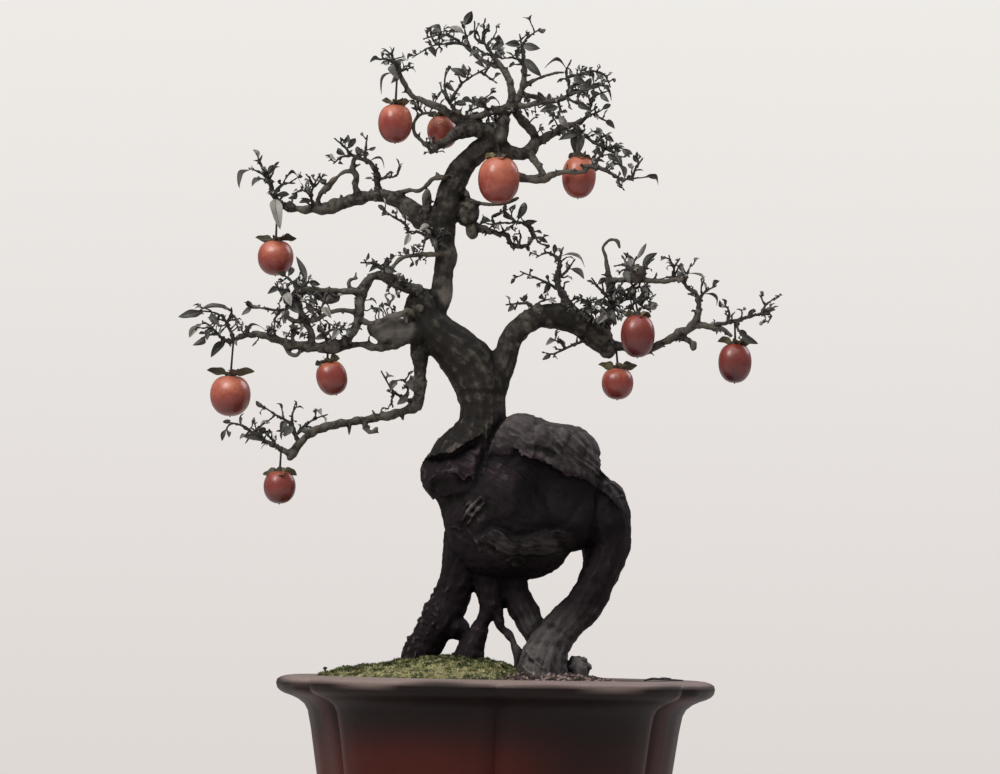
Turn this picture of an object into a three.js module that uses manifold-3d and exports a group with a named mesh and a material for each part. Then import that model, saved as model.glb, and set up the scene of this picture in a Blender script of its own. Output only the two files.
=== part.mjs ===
// A diospyros armata bonsai with ripe fruit in a lobed, flared pot of brown unglazed clay.
// Millimetres, +Z up, the front of the tree faces -Y, origin at the middle of the pot's foot.

import * as THREE from 'three';
import { mergeVertices } from 'three/addons/utils/BufferGeometryUtils.js';
import Module from 'manifold-3d';

const wasm = await Module();
wasm.setup();

// Driving dimensions
const LOBE_ANGLES = [0, 5, 12, 24, 36, 48, 55];
const POT_FLOOR = 14;
const LOBE_CREASE = 5;
const LOBE_SHOULDER = 1.5;
const DRAIN_RADIUS = 9;
const DRAIN_OFFSET = 48;
const SCREEN_SIZE = 30;
const SCREEN_HEIGHT = 1.2;
const GAP = 0.35;
const SMOOTHING = 0.04;
const TWIG_TIP_RADIUS = 0.5;
const MAIN_TWIG_STEPS = 4;
const LEAF_THICKNESS = 1.1;
const LEAF_OUTLINE = [[0, 0], [0.32, 0.92], [0.72, 0.84], [1, 0]];
const STALK_RADIUS = 0.8;
const CALYX_RADIUS = 4.6;

const MATERIALS = {
  clay: new THREE.MeshStandardMaterial({ color: 0x4a2a26, roughness: 0.62, metalness: 0 }),
  screen: new THREE.MeshStandardMaterial({ color: 0x2b2d2e, roughness: 0.7, metalness: 0 }),
  soil: new THREE.MeshStandardMaterial({ color: 0x4b3f38, roughness: 0.95, metalness: 0 }),
  moss: new THREE.MeshStandardMaterial({ color: 0x66713a, roughness: 0.95, metalness: 0 }),
  bark: new THREE.MeshStandardMaterial({ color: 0x35302e, roughness: 0.8, metalness: 0 }),
  foliage: new THREE.MeshStandardMaterial({ color: 0x3c4238, roughness: 0.6, metalness: 0 }),
  berry: new THREE.MeshStandardMaterial({ color: 0xb0604a, roughness: 0.28, metalness: 0 }),
  calyx: new THREE.MeshStandardMaterial({ color: 0x4d4836, roughness: 0.7, metalness: 0 }),
};

// Outer and inner wall of the pot: radius, height and how strongly the lobes shape it
const POT_PROFILE = [
  [0, 0, 0],
  [109, 0, 0.5],
  [124.5, 98, 1],
  [131, 138, 1],
  [138, 146, 1],
  [147.4, 149.7, 1],
  [152.6, 153.5, 1],
  [153.4, 157, 1],
  [150.5, 161, 1],
  [142, 162.7, 0.8],
  [136, 161.6, 0.6],
  [132.5, 157, 0.3],
  [125, 140, 0],
  [106, POT_FLOOR, 0],
  [0, POT_FLOOR, 0],
];

// Soil: the sides follow the inner wall, the top rises to the foot of the tree
const SOIL_PROFILE = [
  [0, POT_FLOOR + 2 * SCREEN_HEIGHT],
  [105, POT_FLOOR + 2 * SCREEN_HEIGHT],
  [117.2, 100],
  [124.2, 140],
  [127.5, 148],
  [112, 155],
  [88, 160],
  [50, 163],
  [0, 164.5],
];

// Closed mesh geometry as a solid: only the shared vertex positions are kept
function solidOf(geometry) {
  geometry.deleteAttribute('normal');
  geometry.deleteAttribute('uv');
  const welded = mergeVertices(geometry, 1e-4);
  const triVerts = new Uint32Array(welded.index.array);
  const vertProperties = new Float32Array(welded.attributes.position.array);
  return new wasm.Manifold(new wasm.Mesh({ numProp: 3, vertProperties, triVerts }));
}

function geometryOf(solid) {
  const mesh = solid.getMesh();
  const positions = new Float32Array(mesh.numVert * 3);
  for (let i = 0; i < mesh.numVert; i += 1) {
    const start = i * mesh.numProp;
    positions.set(mesh.vertProperties.subarray(start, start + 3), i * 3);
  }
  const geometry = new THREE.BufferGeometry();
  geometry.setAttribute('position', new THREE.BufferAttribute(positions, 3));
  geometry.setIndex(new THREE.BufferAttribute(new Uint32Array(mesh.triVerts), 1));
  geometry.computeVertexNormals();
  return geometry;
}

function join(solids) {
  return solids.reduce((whole, solid) => whole.add(solid));
}

// The outer shell of the largest body: loose scraps go and sealed hollows are filled
function largestBody(solid, tolerance = SMOOTHING) {
  const bodies = solid.simplify(tolerance).decompose();
  return bodies.reduce((best, body) => (body.volume() > best.volume() ? body : best));
}

// Moves every vertex of a geometry: the function gets it as a THREE.Vector3 and its index
function reshape(geometry, move) {
  const position = geometry.attributes.position;
  const point = new THREE.Vector3();
  for (let i = 0; i < position.count; i += 1) {
    point.fromBufferAttribute(position, i);
    move(point, i);
    position.setXYZ(i, point.x, point.y, point.z);
  }
  return geometry;
}

// Frames that follow a curve without twisting, one for each ring of a limb
function framesAlong(curve, steps) {
  const frames = [];
  let side = new THREE.Vector3(0, -1, 0);
  for (let i = 0; i <= steps; i += 1) {
    const centre = curve.getPoint(i / steps);
    const tangent = curve.getTangent(i / steps);
    side.addScaledVector(tangent, -side.dot(tangent));
    if (side.length() < 0.05) {
      side = new THREE.Vector3(1, 0, 0).addScaledVector(tangent, -tangent.x);
    }
    side.normalize();
    const across = new THREE.Vector3().crossVectors(tangent, side);
    frames.push({ centre, side: side.clone(), across, tangent });
  }
  return frames;
}

function curveThrough(points) {
  return new THREE.CatmullRomCurve3(points.map(([x, y, z]) => new THREE.Vector3(x, y, z)));
}

// A limb swept through points [x, y, z, radius]; ripple raises soft ridges along thick ones
function limb(points, sides, steps, grow = 0, ripple = 0) {
  const curve = curveThrough(points);
  const frames = framesAlong(curve, steps);
  frames[0].centre.addScaledVector(frames[0].tangent, -grow);
  frames[steps].centre.addScaledVector(frames[steps].tangent, grow);
  const geometry = new THREE.CylinderGeometry(1, 1, steps, sides, steps);
  reshape(geometry, (point) => {
    const ring = Math.round(point.y + steps / 2);
    const place = (ring / steps) * (points.length - 1);
    const before = Math.min(Math.floor(place + 1e-6), points.length - 2);
    const share = place - before;
    const radius = points[before][3] * (1 - share) + points[before + 1][3] * share;
    const angle = Math.atan2(point.z, point.x);
    const ridges = 1 + ripple * Math.sin(3 * angle + 0.9 * ring) + ripple * Math.sin(5 * angle - 0.5 * ring);
    const reach = Math.hypot(point.x, point.z) * (radius * ridges + grow);
    const frame = frames[ring];
    point.copy(frame.centre);
    point.addScaledVector(frame.side, Math.sin(angle) * reach);
    point.addScaledVector(frame.across, Math.cos(angle) * reach);
  });
  return solidOf(geometry);
}

// A rounded swelling of the wood, boxier the higher its squareness
function lump([x, y, z], [rx, ry, rz], squareness, grow = 0) {
  const sides = rx > 20 ? 12 : 7;
  const geometry = new THREE.SphereGeometry(1, sides, Math.round(sides * 0.7));
  geometry.rotateX(Math.PI / 2);
  reshape(geometry, (point) => {
    const uneven = 1 + 0.025 * Math.sin(5 * point.x + 3 * point.z) + 0.02 * Math.sin(7 * point.y + 2 * point.x);
    const sum = Math.abs(point.x) ** squareness + Math.abs(point.y) ** squareness + Math.abs(point.z) ** squareness;
    point.multiplyScalar(uneven / sum ** (1 / squareness));
    point.set(x + point.x * (rx + grow), y + point.y * (ry + grow), z + point.z * (rz + grow));
  });
  return solidOf(geometry);
}

// An arched, keeled blade from root to tip; turn 0 shows its face to the front, 90 its edge
function leaf([root, tip, width, lift, turn], grow = 0) {
  const from = new THREE.Vector3(...root);
  const along = new THREE.Vector3(...tip).sub(from);
  const length = along.length();
  along.divideScalar(length);
  const front = new THREE.Vector3(0, -1, 0);
  if (Math.abs(along.dot(front)) > 0.95) {
    front.set(0, 0, 1);
  }
  const side = new THREE.Vector3().crossVectors(along, front).normalize();
  side.applyAxisAngle(along, THREE.MathUtils.degToRad(turn));
  const normal = new THREE.Vector3().crossVectors(along, side);
  const up = normal.z < 0 ? -1 : 1;
  const spot = (share, sideways, height) => {
    const place = from.clone().addScaledVector(along, length * share);
    place.addScaledVector(side, up * sideways);
    return place.addScaledVector(normal, up * (lift * Math.sin(Math.PI * share) + height));
  };
  const geometry = new THREE.SphereGeometry(1, 3, 3);
  reshape(geometry, (point, index) => {
    const station = Math.floor(index / 4);
    const [share, breadth] = LEAF_OUTLINE[station];
    if (breadth > 0) {
      const sideways = [0, -1, 1, 0][index % 4];
      const height = sideways ? grow : -LEAF_THICKNESS - 1.3 * grow;
      point.copy(spot(share, sideways * breadth * (width / 2 + 2.5 * grow), height));
    } else {
      const end = spot(share, 0, 0);
      const inside = spot(share < 0.5 ? 0.32 : 0.72, 0, -LEAF_THICKNESS / 2);
      const outward = end.clone().sub(inside).normalize();
      point.copy(end).addScaledVector(outward, 2 * grow);
    }
  });
  return solidOf(geometry);
}

// A twig is a thin limb that tapers to its tip
function twig([radius, ...points], steps, grow = 0) {
  const last = points.length - 1;
  const tapered = points.map(([x, y, z], i) => {
    const share = i / last;
    return [x, y, z, radius * (1 - share) + Math.min(radius, TWIG_TIP_RADIUS) * share];
  });
  return limb(tapered, radius > 1.9 ? 4 : 3, steps, grow);
}

// Roots and buttressed base, from the trunk down into the soil: sides, points
const ROOTS = [
  [12, [[-13, 0, 356, 15], [-14, 0, 340, 20], [-19, 0, 326, 29], [-22, 0, 308, 32], [-20, 0, 290, 26],
    [-20, 0, 268, 18.5], [-22, 1, 250, 18], [-27, 2, 235, 15.5], [-31, 3, 223, 14], [-35.5, 3, 211, 16],
    [-40, 3, 200, 16.5], [-48, 4, 189, 13.5], [-54.5, 4, 178, 11.5], [-57, 5, 158, 14]]],
  [10, [[60, -3, 296, 16], [69, -2, 287, 22], [73, -2, 273, 21], [76.5, -3, 256, 15.8], [69, -5, 233, 15.3],
    [59, -8, 213, 15], [47, -12, 200, 14], [38, -15, 187, 15], [34, -17, 174, 17.5], [33, -18, 154, 24]]],
  [8, [[4, 0, 242, 15], [13, -2, 221, 11], [22, -5, 204, 9.3], [30, -9, 190, 9.5], [34, -14, 176, 11]]],
  [6, [[-6, -4, 246, 17], [-5, -5, 226, 10.5], [-5, -6, 213, 9], [-9.8, -7, 201, 4.6], [-13.5, -7, 192, 7],
    [-18.5, -6, 181, 11.2], [-21, -5, 158, 13]]],
  [5, [[-1, -8, 210, 5], [2.5, -9, 199, 3.1], [9, -11, 192, 2.9], [12.6, -13, 186, 2.8], [14.8, -14, 179, 3],
    [15.5, -15, 160, 3.6]]],
  [6, [[-20, 22, 264, 13], [-33, 34, 224, 9.5], [-46, 47, 192, 8], [-55, 56, 156, 9]]],
  [6, [[70, 12, 264, 13], [62, 30, 230, 9.5], [48, 42, 202, 7.5], [40, 50, 178, 6.5], [36, 56, 154, 8]]],
  [5, [[-10, -30, 270, 5], [4, -37, 260, 5.6], [20, -37, 256, 6.4], [36, -34, 253, 6], [50, -26, 245, 4]]],
  [5, [[-27, -25, 271, 3], [-26, -31, 279, 3.2], [-18, -35, 288, 3], [-9, -36, 286, 2.6], [-8, -35, 277, 2]]],
];

// Swellings of the base, the knob of the trunk and its stumps: centre, radii, squareness (2 is round)
const LUMPS = [
  [[8, 0, 274], [47, 37, 47], 2.2],
  [[43, -2, 284], [36, 33, 39], 2.4],
  [[33, -3, 307], [38, 31, 41.5], 3],
  [[-29, 0, 197], [10.5, 10, 9], 2],
  [[57, -11, 170], [8.5, 9, 9], 2],
  [[-56, -1, 417], [12.5, 12.5, 17.5], 2.4],
  [[-25, -3, 488], [8, 8, 9], 2],
  [[-22, -3, 475], [4.5, 5, 6], 2],
  [[-118, -20, 392], [6, 5, 5.5], 2],
];

// Trunk and bare branches: sides, points
const BRANCHES = [
  [12, [[-10, 0, 300, 22], [-11, 0, 322, 17], [-12, 0, 340, 15.8], [-12.5, 0, 354, 15.6], [-15, 0, 368, 18],
    [-24, 0, 384, 18], [-37, 0, 396, 15.5], [-50, -1, 407, 14], [-56, -1, 416, 12]]],
  [8, [[-47, 0, 416, 8], [-43, 0, 430, 8.2], [-41.5, 0, 444, 7], [-40, 0, 458, 7], [-42, 0, 470, 8.6],
    [-43, 0, 482, 11], [-39, -1, 496, 9.6], [-36, -1, 508, 8.6], [-30, -2, 519, 8], [-21, -2, 529, 7.6],
    [-11, -2, 537, 7], [-4, -3, 543, 6.4], [-2, -4, 553, 4.6], [2, -4, 562, 3.4]]],
  [6, [[-57, 0, 402, 8], [-57, -1, 386, 5.4], [-57, -3, 370, 4.5], [-57, -5, 358, 4.7], [-59, -6, 352, 4.4],
    [-67, -8, 348, 3.4], [-79, -11, 344.5, 3], [-92, -14, 341.5, 3.1], [-104, -16, 339.5, 2.7],
    [-118, -19, 336.5, 2.8], [-130, -22, 331.5, 3], [-138, -24, 325, 3], [-143.5, -25, 317.5, 3.4],
    [-146, -26, 313, 2.2]]],
  [4, [[-145, -26, 316, 2.4], [-151, -27.4, 318.3, 2]]],
  [7, [[-58, -5, 404, 9], [-72, -8, 404, 8.6], [-82, -10, 403.5, 8.2], [-89, -11, 405, 6.2]]],
  [5, [[-70, -8, 397, 5], [-80, -11, 392.5, 3], [-88, -12, 391.5, 2.7], [-96, -13, 393.6, 2.4],
    [-104, -14, 393.4, 2.5], [-112, -16, 391, 3.6], [-121, -17, 391.5, 4.6], [-131, -16, 391, 3.6],
    [-141, -15, 391.5, 3.2], [-150, -13, 393.5, 3.2], [-160, -11, 397.5, 2.6], [-172, -9, 400, 2.3]]],
  [6, [[-58, -9, 433, 4], [-68, -12, 434.5, 4.4], [-76, -14, 438.5, 4.8], [-84, -16, 442, 4], [-91, -17, 440.5, 3.4],
    [-96, -18, 435, 3.6], [-98.5, -19, 428, 4], [-99.5, -20, 419, 3.4], [-100, -20, 411, 3.2],
    [-103, -20, 403, 3.1], [-108, -19, 397, 2.9], [-115, -17, 392, 2.6]]],
  [4, [[-97, -20, 430, 3], [-108, -22, 430, 2.2], [-118, -23, 430, 2.2], [-128, -24, 430, 2.5], [-138, -24, 430, 2.6],
    [-142, -23, 424, 2.4], [-141, -22, 417, 2.6], [-137, -20, 410, 2.6], [-133.5, -18, 403, 2.6], [-132, -17, 394, 2.6]]],
  [4, [[-100, -20, 415, 2], [-110, -22, 417, 1.6], [-120, -24, 415, 1.6], [-129, -24, 410, 1.8], [-137, -21, 409, 1.6]]],
  [4, [[-62, -12, 417, 3], [-72, -20, 414.5, 2.1], [-84, -23, 410, 2], [-92, -23, 408, 2.2], [-100, -20, 411, 2]]],
  [4, [[-41, -6, 459, 2.4], [-50, -10, 457.5, 1.7], [-62, -12, 456.5, 1.6], [-71, -13, 454.5, 1.6],
    [-76, -14, 449, 1.8], [-81, -15, 443, 2.2]]],
  [7, [[-42, 0, 476, 9], [-52, 2, 481, 9], [-62, 5, 487, 7.6], [-71, 9, 494, 6], [-81, 12, 498.5, 4.8],
    [-92, 15, 499.5, 4.2], [-102, 18, 497.5, 4.5], [-112, 21, 495, 4.4], [-121, 23, 491.5, 4.8],
    [-130, 25, 490, 3.5], [-142, 28, 490, 2.6], [-151, 29.7, 490.3, 2.4]]],
  [4, [[-103, 18, 499, 3], [-105, 16, 506, 2.4], [-104, 14, 513, 2], [-107, 12, 519, 1.8], [-106, 11, 525, 1.6]]],
  [4, [[-131, 24, 491, 2], [-130, 21, 499, 1.8], [-124, 18, 506, 2.6], [-118, 15, 512, 1.6], [-112, 13, 516, 1.4],
    [-106, 13, 516, 1.2]]],
  [4, [[-54, -4, 484, 3.6], [-54, -6, 495, 3], [-54.5, -8, 502, 2.2]]],
  [4, [[-30, -5, 511, 2.4], [-40, -9, 512, 1.8], [-49, -8, 511, 1.7], [-55, -3, 506, 1.6], [-60, 2, 502.5, 1.6],
    [-67, 6, 503, 1.6], [-75, 10, 501, 2]]],
  [4, [[-28, -2, 483, 4.4], [-20, -2, 479, 3.2], [-11, -1, 475.3, 2.1]]],
  [4, [[-30, -2, 505, 2.6], [-25, -3, 498, 1.7], [-18, -4, 494.5, 1.4], [-8, -5, 493.5, 1.3], [1, -4, 494.5, 1.2],
    [10, -3, 498.5, 1.1]]],
  [9, [[-8, 0, 366, 14], [-2, 0, 379, 11], [3, 1, 390, 8.2], [7, 3, 400, 7.8], [13, 5, 408.5, 8], [21, 8, 414.5, 8],
    [31, 11, 417, 9], [42, 14, 416.5, 9.2], [52, 17, 413, 9], [61, 19, 408, 9.4], [69, 21, 402, 9.4],
    [75, 22, 394, 6]]],
  [5, [[68, 21, 399, 6], [80, 22, 397, 4], [91, 19, 395.5, 3], [101, 12, 393.5, 2.4], [110, 4, 397.5, 2.6],
    [119, -4, 402.5, 3], [127, -11, 407, 3], [134, -17, 411.5, 3], [137, -20, 420, 2.3]]],
  [4, [[75, 15, 443, 2.2], [86, 9, 443, 2], [97, 3, 443, 2], [106, -2, 443, 1.8]]],
  [5, [[72, 20, 408, 4], [76, 19, 420, 3.4], [77, 18, 431, 2.8], [75, 16, 442, 2.6], [73.5, 14, 450, 1.8],
    [72, 13, 459, 1.3], [70, 12, 466, 1.1], [75, 11, 471, 1.1], [80, 10, 470, 1.6], [81.5, 10, 466, 1.2]]],
  [4, [[134, -17, 411.5, 2.6], [141, -20, 410.4, 2.1], [149, -22, 409, 2.3], [155, -23, 407.5, 1.7], [160, -24, 404, 1.5]]],
  [4, [[123, -8, 403, 2], [130, -10, 400.5, 1.8], [134, -12, 398, 2.8], [134, -13, 395, 2]]],
  [4, [[53, 16, 416, 4.5], [47, 14, 425, 2.7], [43, 12.5, 431, 2.6]]],
  [6, [[-4, -3, 540, 6.5], [-14, -6, 545, 6.4], [-26, -9, 547, 6.2], [-34, -12, 542, 4.6], [-41, -13, 537, 3.6],
    [-48, -14, 533, 3], [-52, -15, 529, 2.4]]],
  [5, [[-26, -9, 548, 4.6], [-36, -12, 554, 3.4], [-46, -15, 560, 2.8], [-57, -18, 564, 2.1], [-66, -20, 568, 1.9],
    [-71, -21, 576, 1.8], [-75, -22, 583, 1.7]]],
  [4, [[-51, -15, 531, 2], [-58, -17, 536, 1.5], [-64, -18, 543, 1.5], [-63, -16, 551, 1.3], [-58, -13, 556, 1.2],
    [-51, -12, 556, 1.2]]],
  [6, [[-6, -2, 536, 5.4], [4, 1, 531.5, 4.2], [13, 4, 530, 4], [19, 6, 534, 4], [21, 7, 541, 4], [17, 6, 548, 3.6],
    [11, 4, 554, 3.4], [6, 1, 561, 3.2]]],
  [4, [[21, 7, 538, 3.8], [30, 10, 543, 3], [40, 13, 549, 2.6], [49, 14, 552.5, 2.2]]],
  [4, [[2, -4, 560, 3.4], [-8, -7, 559, 2.8], [-18, -10, 555.5, 2.3], [-28, -13, 553.5, 1.9], [-36, -15, 559, 1.6]]],
  [4, [[4, -4, 562, 3], [15, -10, 563, 2.1], [25, -14.6, 564.8, 1.9]]],
  [4, [[3, -2, 560, 3.4], [4.5, 2, 571, 3], [2.5, 6, 581, 2.5], [-2, 9, 589, 2.1], [-8, 11, 597, 1.8],
    [-8.6, 11, 598, 1.7]]],
  [4, [[-4, 9, 591.5, 1.8], [-13, 14, 594, 1.6], [-20, 18, 598.5, 1.5]]],
  [4, [[5, -2, 562, 3.2], [10, -6, 571, 2.4], [12.5, -8, 580, 2.1], [12.4, -8.4, 585, 1.9]]],
  [4, [[13, -8, 577, 1.6], [24, -6, 583, 1.2], [34, -3, 586.5, 1.1], [40, 1, 587.5, 0.9]]],
  [4, [[10, -4, 571, 2], [20, 3, 570, 1.9], [31, 9, 568, 1.9], [41, 14, 570, 1.7], [46, 17, 575, 1.4]]],
  [4, [[17, 5, 532, 3], [22, -2, 523, 2.3], [27, -10, 515, 2.4], [27, -15, 511, 2.2]]],
  [4, [[9, -14, 513, 3], [18, -14, 511, 3.3], [27, -15, 511, 3], [33, -19, 517, 2.5], [41, -24, 519, 2.3],
    [51, -29, 519, 2.2], [57, -31.5, 519, 2.1]]],
  [4, [[-98, -19, 431, 3], [-106, -15, 432, 1.6], [-107, -13, 438, 1.3], [-102, -12, 440, 1.1]]],
  [4, [[-136, -20, 410, 2], [-145, -22, 409, 1.6], [-151, -23, 412.5, 1.3]]],
  [4, [[-151, -13, 393, 2], [-149, -15, 387, 1.4], [-143, -17, 385, 1.3], [-140, -17, 388, 1.3]]],
  [4, [[-144, -15, 392, 2], [-146, -18, 399, 1.3], [-143, -22, 404, 1.1], [-148, -24, 405, 0.9]]],
  [4, [[-92, -14, 341, 2], [-95, -18, 335.5, 1.5], [-90, -21, 332, 1.5], [-86, -20, 335, 1.6]]],
  [4, [[-105, -16.5, 339, 1.9], [-105, -18, 330, 0.7]]],
];

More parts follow.
